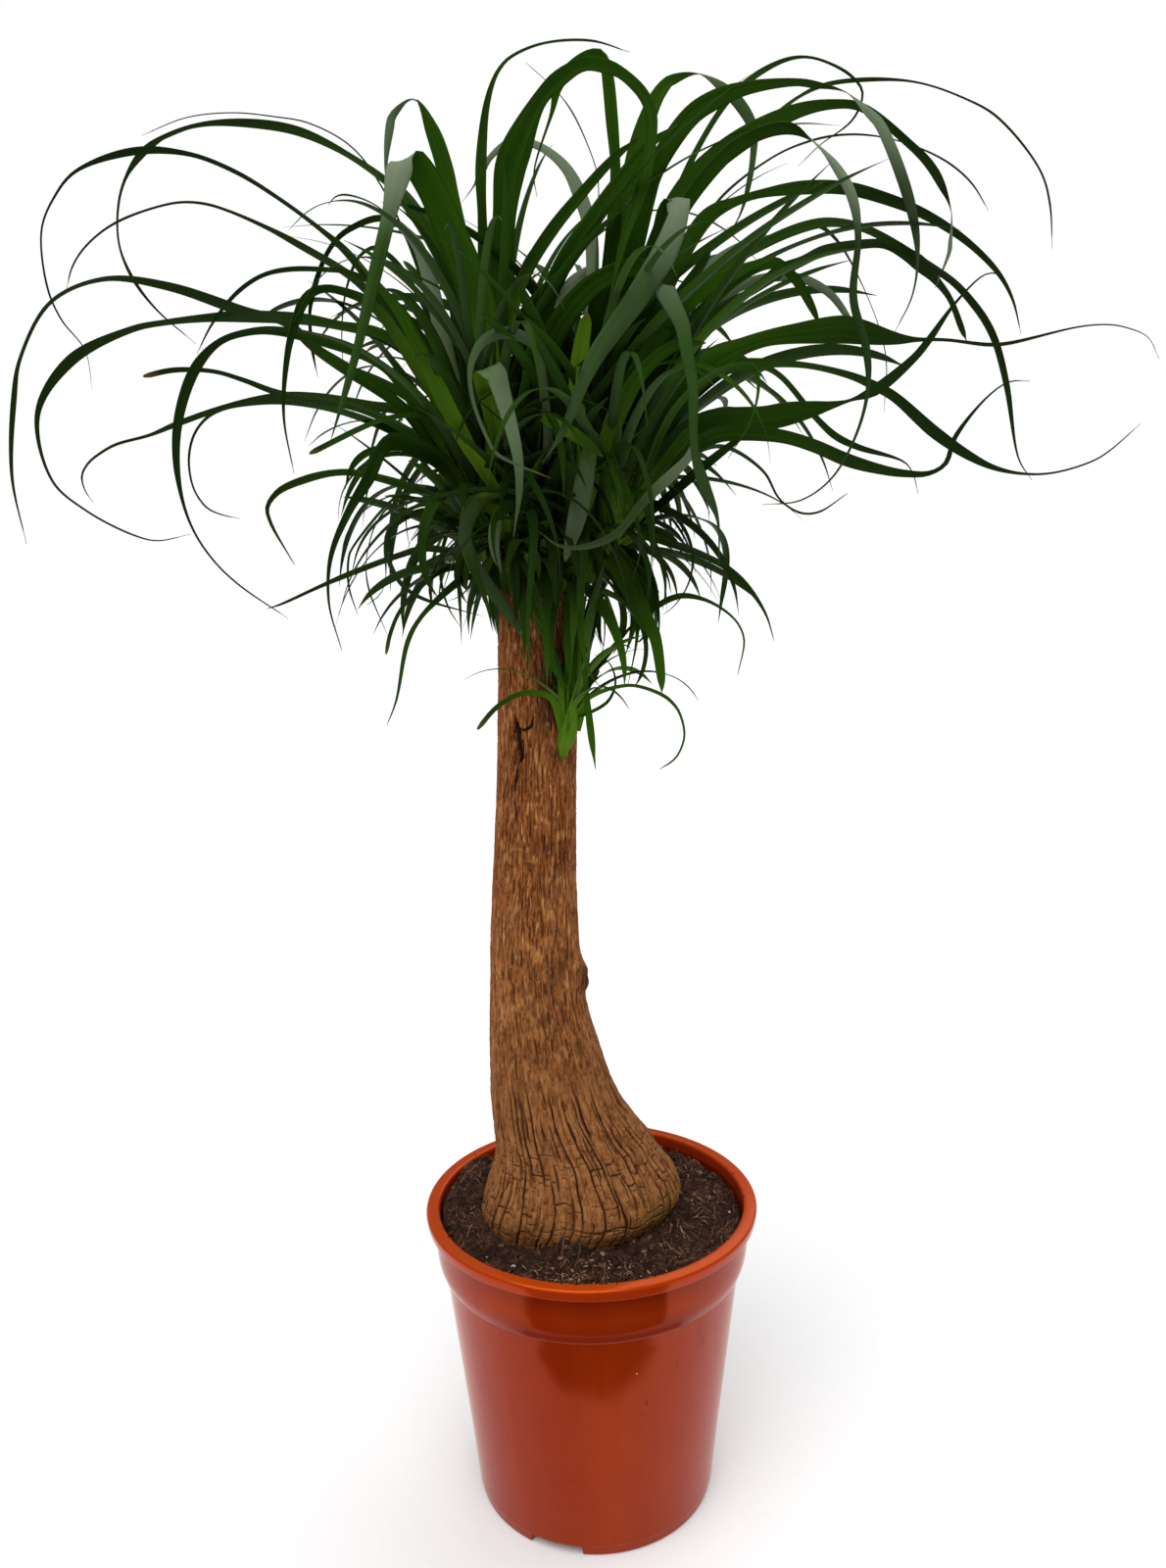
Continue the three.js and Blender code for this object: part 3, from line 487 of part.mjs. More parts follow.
// Plain short leaves of each shoot: the root's x, y, z, then compass angle, start elevation and
// droop in degrees, and length and width.
const TUFTS = {
  shoot_center: [
    [-51.8, -6.9, 729.3, 190, 85, 82, 212, 6.6], [-52.7, -7.3, 741.3, 73, 83, 52, 279, 7.6], [-51.9, -7.0, 730.4, 57, 80, 60, 266, 7.7],
    [-49.3, -6.3, 709.8, 121, 65, 138, 325, 8.6], [-52.6, -7.3, 740.7, 51, 64, 133, 309, 8.4], [-52.7, -7.4, 742.4, 47, 66, 95, 325, 7.0],
    [-52.7, -7.3, 741.3, 46, 76, 108, 394, 7.0], [-52.3, -7.2, 736.4, -113, 75, 119, 287, 8.7], [-52.7, -7.3, 741.8, -114, 68, 127, 269, 6.7],
    [-52.7, -7.3, 741.8, -78, 66, 142, 217, 8.4], [-52.6, -7.3, 740.2, 294, 32, 88, 164, 7.4], [-48.2, -6.1, 701.6, 360, 12, 78, 165, 9.2],
  ],
  shoot_left: [
    [-70.9, 10.0, 719.7, 101, 83, 57, 232, 7.0], [-70.4, 9.9, 718.4, 106, 78, 57, 298, 7.7], [-73.9, 10.0, 732.9, 57, 83, 84, 244, 6.9],
    [-68.1, 9.7, 711.8, 50, 62, 130, 320, 7.4], [-65.5, 9.4, 704.3, 56, 75, 137, 297, 6.5], [-72.1, 10.0, 724.7, 127, 75, 111, 312, 9.1],
    [-64.6, 9.3, 701.6, 133, 74, 130, 298, 8.0], [-67.8, 9.6, 710.9, -81, 74, 101, 284, 8.1], [-66.8, 9.5, 707.8, -89, 78, 107, 280, 7.7],
    [-72.9, 10.0, 728.3, -72, 64, 109, 269, 6.5], [-64.9, 9.3, 702.5, 329, 35, 71, 163, 9.4], [-60.9, 8.9, 691.6, 290, 3, 87, 167, 7.3],
  ],
  shoot_right: [
    [7.4, 8.5, 716.0, 53, 76, 96, 190, 9.3], [9.1, 8.3, 723.3, 78, 78, 52, 196, 9.2], [9.0, 8.3, 722.8, 107, 81, 79, 269, 8.9],
    [9.6, 8.2, 725.4, 116, 75, 101, 292, 7.8], [12.3, 8.0, 737.5, 127, 55, 128, 297, 7.8], [14.0, 8.0, 746.0, 130, 62, 125, 313, 7.8],
    [12.0, 8.0, 735.9, 132, 69, 104, 337, 9.5], [6.2, 8.7, 711.3, -78, 78, 123, 286, 8.6], [6.7, 8.6, 713.3, -93, 70, 110, 177, 7.6],
    [9.3, 8.2, 723.8, -68, 77, 97, 243, 7.9], [11.5, 8.0, 733.3, 276, 26, 95, 120, 7.5], [10.3, 8.1, 728.0, 191, 19, 91, 152, 9.0],
  ],
  shoot_lower_right: [
    [25.7, -15.1, 703.3, 123, 80, 66, 286, 8.0], [24.1, -14.9, 699.6, 131, 82, 60, 231, 7.3], [18.1, -14.4, 690.6, 135, 80, 99, 262, 8.3],
    [21.1, -14.7, 695.1, 73, 69, 116, 304, 7.4], [25.1, -15.0, 701.4, 88, 71, 129, 298, 8.1], [26.9, -15.3, 706.9, 78, 75, 97, 300, 7.6],
    [19.0, -14.5, 692.0, 129, 73, 102, 330, 7.0], [17.8, -14.4, 690.2, -85, 74, 139, 256, 8.0], [16.9, -14.3, 688.9, -73, 64, 99, 222, 8.8],
    [24.1, -14.9, 699.6, -110, 57, 123, 250, 9.2], [10.8, -13.7, 680.5, 178, 9, 85, 112, 9.4], [9.7, -13.6, 679.2, 198, 26, 96, 146, 6.6],
  ],
  shoot_side: [
    [-9.0, -30.0, 576.3, -150, 60, 90, 90, 6], [-9.0, -30.0, 576.3, 20, 70, 80, 80, 6], [-9.0, -30.0, 576.3, -60, 50, 95, 85, 6],
    [-9.0, -30.0, 576.3, 160, 75, 70, 60, 6],
  ],
};

// ---------------------------------------------------------------- materials
const material = (color, roughness) => new THREE.MeshStandardMaterial({ color, roughness, metalness: 0 });
const LEAF_COLORS = [0x2c4a17, 0x34561b, 0x27421a, 0x3a5f22, 0x45692c];

// ---------------------------------------------------------------- helpers
const V = (x, y, z) => new THREE.Vector3(x, y, z);

// A geometry or a list of points and faces as a manifold solid, faces turned out.
function solidFrom(points, faces) {
  const make = (f) => {
    const g = new THREE.BufferGeometry();
    g.setAttribute("position", new THREE.BufferAttribute(new Float32Array(points.flat()), 3));
    g.setIndex(f.flat());
    const m = mergeVertices(g, 1e-3);
    return new wasm.Manifold(
      new wasm.Mesh({ numProp: 3, vertProperties: m.attributes.position.array, triVerts: new Uint32Array(m.index.array) }),
    );
  };
  const s = make(faces);
  return s.volume() > 0 ? s : make(faces.map(([a, b, c]) => [a, c, b]));
}

function solidFromGeometry(geometry) {
  const g = geometry.clone();
  g.deleteAttribute("normal");
  g.deleteAttribute("uv");
  const m = mergeVertices(g, 1e-3);
  return new wasm.Manifold(
    new wasm.Mesh({ numProp: 3, vertProperties: m.attributes.position.array, triVerts: new Uint32Array(m.index.array) }),
  );
}

function meshFrom(name, solid, mat) {
  const m = solid.getMesh();
  const g = new THREE.BufferGeometry();
  const p = new Float32Array(m.numVert * 3);
  for (let i = 0; i < m.numVert; i++) p.set(m.vertProperties.subarray(i * m.numProp, i * m.numProp + 3), i * 3);
  g.setAttribute("position", new THREE.BufferAttribute(p, 3));
  g.setIndex(new THREE.BufferAttribute(new Uint32Array(m.triVerts), 1));
  g.computeVertexNormals();
  const mesh = new THREE.Mesh(g, mat);
  mesh.name = name;
  return mesh;
}

// The biggest separate body of a solid, for when a cut leaves slivers behind.
function mainBody(solid) {
  const bodies = solid.decompose();
  let best = bodies[0];
  for (const b of bodies) if (b.volume() > best.volume()) best = b;
  return best;
}

// A closed skin over rings of equal point count, with a fan on each end.
function loft(rings) {
  const points = rings.flat();
  const n = rings[0].length;
  const faces = [];
  for (let i = 0; i < rings.length - 1; i++)
    for (let j = 0; j < n; j++) {
      const a = i * n + j, b = i * n + ((j + 1) % n);
      faces.push([a, b, b + n], [a, b + n, a + n]);
    }
  for (const [start, flip] of [[0, true], [(rings.length - 1) * n, false]]) {
    const centre = [0, 1, 2].map((k) => points.slice(start, start + n).reduce((s, p) => s + p[k], 0) / n);
    const c = points.push(centre) - 1;
    for (let j = 0; j < n; j++) {
      const a = start + j, b = start + ((j + 1) % n);
      faces.push(flip ? [c, b, a] : [c, a, b]);
    }
  }
  return solidFrom(points, faces);
}

// ---------------------------------------------------------------- pot
function pot() {
  const inner = (outer) => outer - POT_WALL;
  const lipBottom = POT_HEIGHT - RIM_LIP_HEIGHT;
  const footTop = BASE_UNDERSIDE;
  const profile = [
    [0, footTop + 0.001], // centre of the base, underside
    [BODY_BOTTOM_RADIUS - FOOT_WIDTH, footTop],
    [BODY_BOTTOM_RADIUS - FOOT_WIDTH + 0.6, 0],
    [BODY_BOTTOM_RADIUS - 2.2, 0],
    [BODY_BOTTOM_RADIUS - 0.8, 2.2],
    [BODY_BOTTOM_RADIUS + 0.4, 9],
    [BODY_TOP_RADIUS, SHOULDER_BOTTOM],
    [BODY_TOP_RADIUS + 1.6, SHOULDER_BOTTOM + 2.4],
    [COLLAR_RADIUS - 1.8, COLLAR_BOTTOM - 3],
    [COLLAR_RADIUS - 0.2, COLLAR_BOTTOM],
    [COLLAR_RADIUS + 0.8, lipBottom - 1.5],
    [RIM_RADIUS - 1.4, lipBottom],
    [RIM_RADIUS - 0.2, lipBottom + 1.6],
    [RIM_RADIUS, POT_HEIGHT - 2.2],
    [RIM_RADIUS - 1.6, POT_HEIGHT - 0.5],
    [RIM_RADIUS - 4, POT_HEIGHT],
    [RIM_INNER_RADIUS + 2.5, POT_HEIGHT - 0.2],
    [RIM_INNER_RADIUS + 0.4, POT_HEIGHT - 1.8],
    [RIM_INNER_RADIUS, POT_HEIGHT - 5],
    [inner(COLLAR_RADIUS) - 2.2, COLLAR_BOTTOM + 4],
    [inner(BODY_TOP_RADIUS), SHOULDER_BOTTOM - 1],
    [inner(BODY_BOTTOM_RADIUS) - 0.6, footTop + BASE_THICKNESS + 4],
    [inner(BODY_BOTTOM_RADIUS) - 4.5, footTop + BASE_THICKNESS],
    [0, footTop + BASE_THICKNESS],
  ].map(([r, z]) => new THREE.Vector2(r, z));
  const lathe = new THREE.LatheGeometry(profile, 36);
  lathe.rotateX(Math.PI / 2);
  let body = solidFromGeometry(lathe);
  if (body.volume() < 0) {
    lathe.index.array.reverse();
    body = solidFromGeometry(lathe);
  }
  // notches in the foot ring let water run out from under the base
  for (let i = 0; i < FOOT_NOTCHES; i++) {
    const mid = THREE.MathUtils.degToRad(FOOT_NOTCH_FIRST_DEG + (i * 360) / FOOT_NOTCHES);
    const width = 2 * BODY_BOTTOM_RADIUS * Math.sin(THREE.MathUtils.degToRad(FOOT_NOTCH_SPAN_DEG / 2));
    const box = new THREE.BoxGeometry(FOOT_WIDTH * 4, width, 2 * (BASE_UNDERSIDE - 0.6));
    box.translate(BODY_BOTTOM_RADIUS - 1, 0, 0);
    box.rotateZ(mid);
    body = body.subtract(solidFromGeometry(box));
  }
  for (let i = 0; i < DRAIN_HOLES; i++) {
    const a = ((i + 0.5) / DRAIN_HOLES) * Math.PI * 2;
    const hole = new THREE.CylinderGeometry(DRAIN_HOLE_RADIUS, DRAIN_HOLE_RADIUS, 30, 16);
    hole.rotateX(Math.PI / 2);
    hole.translate(DRAIN_HOLE_CIRCLE * Math.cos(a), DRAIN_HOLE_CIRCLE * Math.sin(a), BASE_UNDERSIDE);
    body = body.subtract(solidFromGeometry(hole));
  }
  return body;
}

// ---------------------------------------------------------------- stem and caudex
function trunk(grow = 0) {
  const sides = 20;
  const rings = [...TRUNK].reverse().map(([z, cx, rx, ry], level) => {
    const ring = [];
    for (let j = 0; j < sides; j++) {
      const a = (j / sides) * Math.PI * 2;
      // shallow flutes that grow towards the base, and the healed bud
      const low = THREE.MathUtils.smoothstep(360 - z, 0, 130);
      let k = 1 + low * (0.018 * Math.sin(3 * a + 0.7) + 0.012 * Math.sin(5 * a + 1.9));
      const da = THREE.MathUtils.radToDeg(Math.atan2(Math.sin(a - THREE.MathUtils.degToRad(KNOB.angleDeg)), Math.cos(a - THREE.MathUtils.degToRad(KNOB.angleDeg))));
      const bump = KNOB.height * Math.exp(-((da / KNOB.sizeDeg) ** 2) - ((z - KNOB.z) / KNOB.sizeZ) ** 2);
      ring.push([cx + (rx * k + bump + grow) * Math.cos(a), (ry * k + bump + grow) * Math.sin(a), z + (level === 0 ? -grow : 0) + (level === TRUNK.length - 1 ? grow : 0)]);
    }
    return ring;
  });
  return loft(rings);
}

// ---------------------------------------------------------------- soil
function soil() {
  const floor = BASE_UNDERSIDE + BASE_THICKNESS + GAP;
  const top = (r, a) => {
    const x = r * Math.cos(a), y = r * Math.sin(a);
    const heap = SOIL_HUMP * Math.exp(-((x + 78) ** 2 + (y - 34) ** 2) / 2600);
    return SOIL_LEVEL + heap + 1.3 * Math.sin(0.11 * x + 0.6) * Math.cos(0.09 * y) + 0.9 * Math.sin(0.23 * x - 0.19 * y) - 2.2 * (r / 106) ** 4;
  };
  const wallRadius = (z) => {
    const t = (z - 13) / (SHOULDER_BOTTOM - 14 - 13);
    const r = THREE.MathUtils.lerp(BODY_BOTTOM_RADIUS - POT_WALL - 0.6, BODY_TOP_RADIUS - POT_WALL, Math.min(t, 1));
    return r - 1.4;
  };
  const sides = 36;
  const ringAt = (radius, z) => {
    const ring = [];
    for (let j = 0; j < sides; j++) {
      const a = (j / sides) * Math.PI * 2;
      ring.push([radius * Math.cos(a), radius * Math.sin(a), typeof z === "function" ? z(radius, a) : z]);
    }
    return ring;
  };
  const shoulder = BODY_TOP_RADIUS - POT_WALL - 1.4;
  const rings = [
    ringAt(wallRadius(20) - 5, floor),
    ringAt(wallRadius(20), floor + 6),
    ringAt(shoulder, SHOULDER_BOTTOM - 3),
    ringAt(shoulder + 3.4, COLLAR_BOTTOM + 3),
    ringAt(shoulder + 3.4, (r, a) => top(r, a) - 1.5),
    ringAt(shoulder, top),
    ringAt(86, top),
    ringAt(64, top),
    ringAt(40, top),
    ringAt(18, top),
  ];
  return loft(rings);
}

// ---------------------------------------------------------------- shoots and leaves
function tube(path, grow = 0) {
  const curve = new THREE.CatmullRomCurve3(path.map(([x, y, z]) => V(x, y, z)), false, "centripetal");
  const steps = 6, sides = 9, rings = [];
  for (let i = 0; i <= steps; i++) {
    const t = i / steps;
    const c = curve.getPoint(t), d = curve.getTangent(t);
    const k = t * (path.length - 1), lo = Math.min(Math.floor(k), path.length - 2);
    const r = THREE.MathUtils.lerp(path[lo][3], path[lo + 1][3], k - lo) + grow;
    const u = V(0, 1, 0).cross(d).normalize(), v = d.clone().cross(u).normalize();
    if (i === 0) c.addScaledVector(d, -grow);
    if (i === steps) c.addScaledVector(d, grow);
    const ring = [];
    for (let j = 0; j < sides; j++) {
      const a = (j / sides) * Math.PI * 2;
      const p = c.clone().addScaledVector(u, r * Math.cos(a)).addScaledVector(v, r * Math.sin(a));
      ring.push([p.x, p.y, p.z]);
    }
    rings.push(ring);
  }
  return loft(rings);
}

// Stations with more of them where the blade twists fast. They lie on the same line.
function eased(stations) {
  const out = [stations[0]];
  for (let i = 1; i < stations.length; i++) {
    const a = stations[i - 1], b = stations[i];
    const ha = V(a[3], a[4], a[5]), hb = V(b[3], b[4], b[5]);
    const wa = ha.length(), wb = hb.length();
    ha.normalize();
    hb.normalize();
    const n = Math.max(1, Math.ceil(ha.angleTo(hb) / MAX_TWIST));
    const turn = new THREE.Quaternion().setFromUnitVectors(ha, hb);
    for (let k = 1; k <= n; k++) {
      const t = k / n;
      const h = ha.clone().applyQuaternion(new THREE.Quaternion().slerp(turn, t)).multiplyScalar(THREE.MathUtils.lerp(wa, wb, t));
      out.push([0, 1, 2].map((j) => THREE.MathUtils.lerp(a[j], b[j], t)).concat([h.x, h.y, h.z]));
    }
  }
  return out;
}

// A blade with a flat upper face and a keel along the midrib, from stations of centre and half-width vector.
function blade(rough, grow = 0) {
  const stations = eased(rough);
  const n = stations.length;
  const centres = stations.map((s) => V(s[0], s[1], s[2]));
  const corners = [], faces = [];
  for (let i = 0; i < n; i++) {
    const d = centres[Math.min(i + 1, n - 1)].clone().sub(centres[Math.max(i - 1, 0)]).normalize();
    const h = V(stations[i][3], stations[i][4], stations[i][5]);
    const w = h.length();
    h.normalize();
    const up = d.clone().cross(h).normalize();
    const thick = THREE.MathUtils.lerp(LEAF_THICKNESS_BASE, LEAF_THICKNESS_TIP, i / (n - 1));
    const top = 0.3 + 1.2 * grow;
    const c = centres[i].clone();
    if (i === 0) c.addScaledVector(d, -grow);
    if (i === n - 1) c.addScaledVector(d, grow);
    corners.push(
      c.clone().addScaledVector(h, -(w + 2 * grow)).addScaledVector(up, top),
      c.clone().addScaledVector(h, w + 2 * grow).addScaledVector(up, top),
      c.clone().addScaledVector(up, -(thick + 1.2 * grow)),
    );
  }
  for (let i = 0; i < n - 1; i++) {
    const middle = V(0, 0, 0);
    for (let j = 0; j < 6; j++) middle.addScaledVector(corners[3 * i + j], 1 / 6);
    for (const [a, b] of [[0, 1], [1, 2], [2, 0]]) {
      const p = 3 * i, q = p + 3;
      const [A, B, C, D] = [p + a, p + b, q + b, q + a].map((j) => corners[j]);
      // a twisted strip is split along the diagonal that bulges outwards
      const normal = C.clone().sub(A).cross(D.clone().sub(B));
      const mean = A.clone().add(B).add(C).add(D).multiplyScalar(0.25).sub(middle);
      if (normal.dot(mean) < 0) normal.negate();
      if (A.clone().add(C).dot(normal) >= B.clone().add(D).dot(normal)) faces.push([p + a, p + b, q + b], [p + a, q + b, q + a]);
      else faces.push([p + a, p + b, q + a], [p + b, q + b, q + a]);
    }
  }
  faces.push([0, 2, 1], [3 * n - 3, 3 * n - 2, 3 * n - 1]);
  return solidFrom(corners.map((p) => [p.x, p.y, p.z]), faces);
}

// Stations of a plain leaf that leaves its shoot at a compass angle and droops under its own weight.
function tuftStations([x, y, z, compass, elevation, droop, length, width], steps = 6) {
  const p = V(x, y, z);
  const a = THREE.MathUtils.degToRad(compass);
  const out = V(Math.cos(a), Math.sin(a), 0), side = V(-Math.sin(a), Math.cos(a), 0);
  const list = [];
  const fine = 4;
  for (let i = 0; i <= steps * fine; i++) {
    const t = i / (steps * fine);
    if (i % fine === 0) {
      const w = (width / 2) * Math.min(1, 0.62 + 1.9 * t) * Math.pow(Math.max(1 - t, 0.004), 0.62);
      const h = side.clone().multiplyScalar(Math.max(w, 0.45));
      list.push([p.x, p.y, p.z, h.x, h.y, h.z]);
    }
    const e = THREE.MathUtils.degToRad(elevation - droop * Math.pow(t, 1.25));
    const step = length / (steps * fine);
    p.addScaledVector(out, Math.cos(e) * step);
    p.z += Math.sin(e) * step;
  }
  return list;
}

// ---------------------------------------------------------------- assembly
const plant = new THREE.Group();
const nursery = new THREE.Group();
plant.add(nursery);

const trunkSolid = trunk();
const trunkGrown = trunk(GAP);
nursery.add(meshFrom("nursery_pot", pot(), material(0x9c3d1c, 0.38)));
nursery.add(meshFrom("potting_soil", mainBody(soil().subtract(trunkGrown)), material(0x31180e, 0.95)));
nursery.add(meshFrom("trunk", trunkSolid, material(0x744420, 0.85)));

const foliage = new THREE.Group();
plant.add(foliage);

const names = Object.keys(SHOOTS);
const stem = {}, stemGrown = {};
for (const name of names) {
  let s = tube(SHOOTS[name]).subtract(trunkGrown);
  for (const other of names) if (stemGrown[other]) s = s.subtract(stemGrown[other]);
  stem[name] = mainBody(s);
  stemGrown[name] = tube(SHOOTS[name], GAP);
}

const boxOf = (stations) => new THREE.Box3().setFromPoints(stations.map((s) => V(s[0], s[1], s[2]))).expandByScalar(14);
const placed = [];
let k = 0;
for (const [name, stations] of Object.entries(LEAVES)) {
  let s = blade(stations).subtract(trunkGrown);
  for (const other of names) s = s.subtract(stemGrown[other]);
  const box = boxOf(stations);
  for (const p of placed) if (p.box.intersectsBox(box)) s = s.subtract(p.grown);
  foliage.add(meshFrom(name, mainBody(s), material(LEAF_COLORS[k++ % LEAF_COLORS.length], 0.5)));
  placed.push({ box, grown: blade(stations, GAP).add(blade(stations)) });
}

// Each shoot keeps its short and fine leaves; they part where a long leaf passes.
const shootPlaced = [];
for (const name of names) {
  let s = stem[name];
  const own = [];
  const short = [
    ...(SHOOT_LEAVES[name] || []),
    ...(TUFTS[name] || []).map((t) => tuftStations(t)),
  ];
  for (const stations of short) {
    let b = blade(stations).subtract(trunkGrown);
    for (const other of names) if (other !== name) b = b.subtract(stemGrown[other]);
    const box = boxOf(stations);
    for (const p of [...placed, ...shootPlaced]) if (p.box.intersectsBox(box)) b = b.subtract(p.grown);
    s = mainBody(s.add(b));
    own.push({ box, grown: blade(stations, GAP).add(blade(stations)) });
  }
  shootPlaced.push(...own);
  foliage.add(meshFrom(name, s, material(0x3f6a24, 0.55)));
}

export default plant;
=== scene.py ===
"""Potted ponytail palm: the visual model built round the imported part."""
import math

import bpy
import numpy as np
from mathutils import Matrix, Vector


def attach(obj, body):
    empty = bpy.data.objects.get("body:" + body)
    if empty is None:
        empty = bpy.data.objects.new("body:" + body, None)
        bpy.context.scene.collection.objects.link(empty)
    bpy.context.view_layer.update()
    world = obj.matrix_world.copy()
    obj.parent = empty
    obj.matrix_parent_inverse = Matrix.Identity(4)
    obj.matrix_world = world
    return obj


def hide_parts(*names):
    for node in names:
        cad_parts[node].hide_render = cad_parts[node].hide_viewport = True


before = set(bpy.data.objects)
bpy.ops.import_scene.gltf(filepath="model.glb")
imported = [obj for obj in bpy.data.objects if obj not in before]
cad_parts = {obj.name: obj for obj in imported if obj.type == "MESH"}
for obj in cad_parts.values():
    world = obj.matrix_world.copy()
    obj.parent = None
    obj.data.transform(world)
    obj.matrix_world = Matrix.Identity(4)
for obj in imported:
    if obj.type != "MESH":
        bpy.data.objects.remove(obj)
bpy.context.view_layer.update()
MM = 0.001
BODY = "root"

# ------------------------------------------------------------------ measurements (mm), as in the part
TRUNK = np.array([
    [668, -29.6, 24.6, 24.2], [664, -29.6, 26.2, 25.8], [651, -29.5, 26.6, 26.2], [620, -29.6, 27.0, 26.6],
    [575, -30.6, 27.4, 27.0], [535, -32.3, 27.6, 27.4], [493, -34.3, 28.2, 28.0], [451, -36.0, 29.8, 29.4],
    [409, -36.7, 31.8, 31.2], [387, -36.5, 32.6, 32.2], [365, -34.6, 35.2, 34.4], [343, -32.0, 38.5, 37.2],
    [321, -29.0, 41.5, 40.0], [298, -24.5, 45.9, 43.4], [287, -20.9, 49.2, 45.6], [277, -17.2, 52.5, 48.0],
    [268, -13.2, 55.9, 50.2], [259, -11.0, 58.7, 52.4], [249, -8.7, 63.2, 55.6], [240, -7.2, 67.4, 58.4],
    [231, -7.4, 70.6, 60.6], [224, -8.8, 71.2, 60.4], [215, -12.2, 69.0, 57.0], [206, -14.6, 65.0, 51.5],
    [197, -15.2, 57.0, 45.0], [189, -15.2, 44.0, 36.0], [183, -15.2, 24.0, 20.0],
])[::-1]
SHOOTS = {
    "shoot_center": [
        [-31, -2, 657, 10], [-40, -4, 677, 10.5], [-48, -6, 700, 10], [-52, -7, 731, 9],
        [-54, -8, 762, 7],
    ],
    "shoot_left": [
        [-41, 6, 657, 8.5], [-53, 8, 674, 9], [-62, 9, 694, 8.5], [-71, 10, 720, 7.5],
        [-76, 10, 742, 6],
    ],
    "shoot_right": [
        [-18, 8, 655, 9.5], [-7, 9, 677, 10], [4, 9, 702, 9.5], [11, 8, 731, 8.5],
        [16, 8, 756, 6.5],
    ],
    "shoot_lower_right": [
        [-15, -10, 653, 7], [-2, -12, 666, 8.5], [13, -14, 683, 8.5], [25, -15, 701, 7.5],
        [31, -16, 720, 6],
    ],
    "shoot_side": [
        [-15, -22, 547, 6], [-13, -27, 557, 7], [-10, -29, 569, 6], [-8, -31, 584, 4],
    ],
}
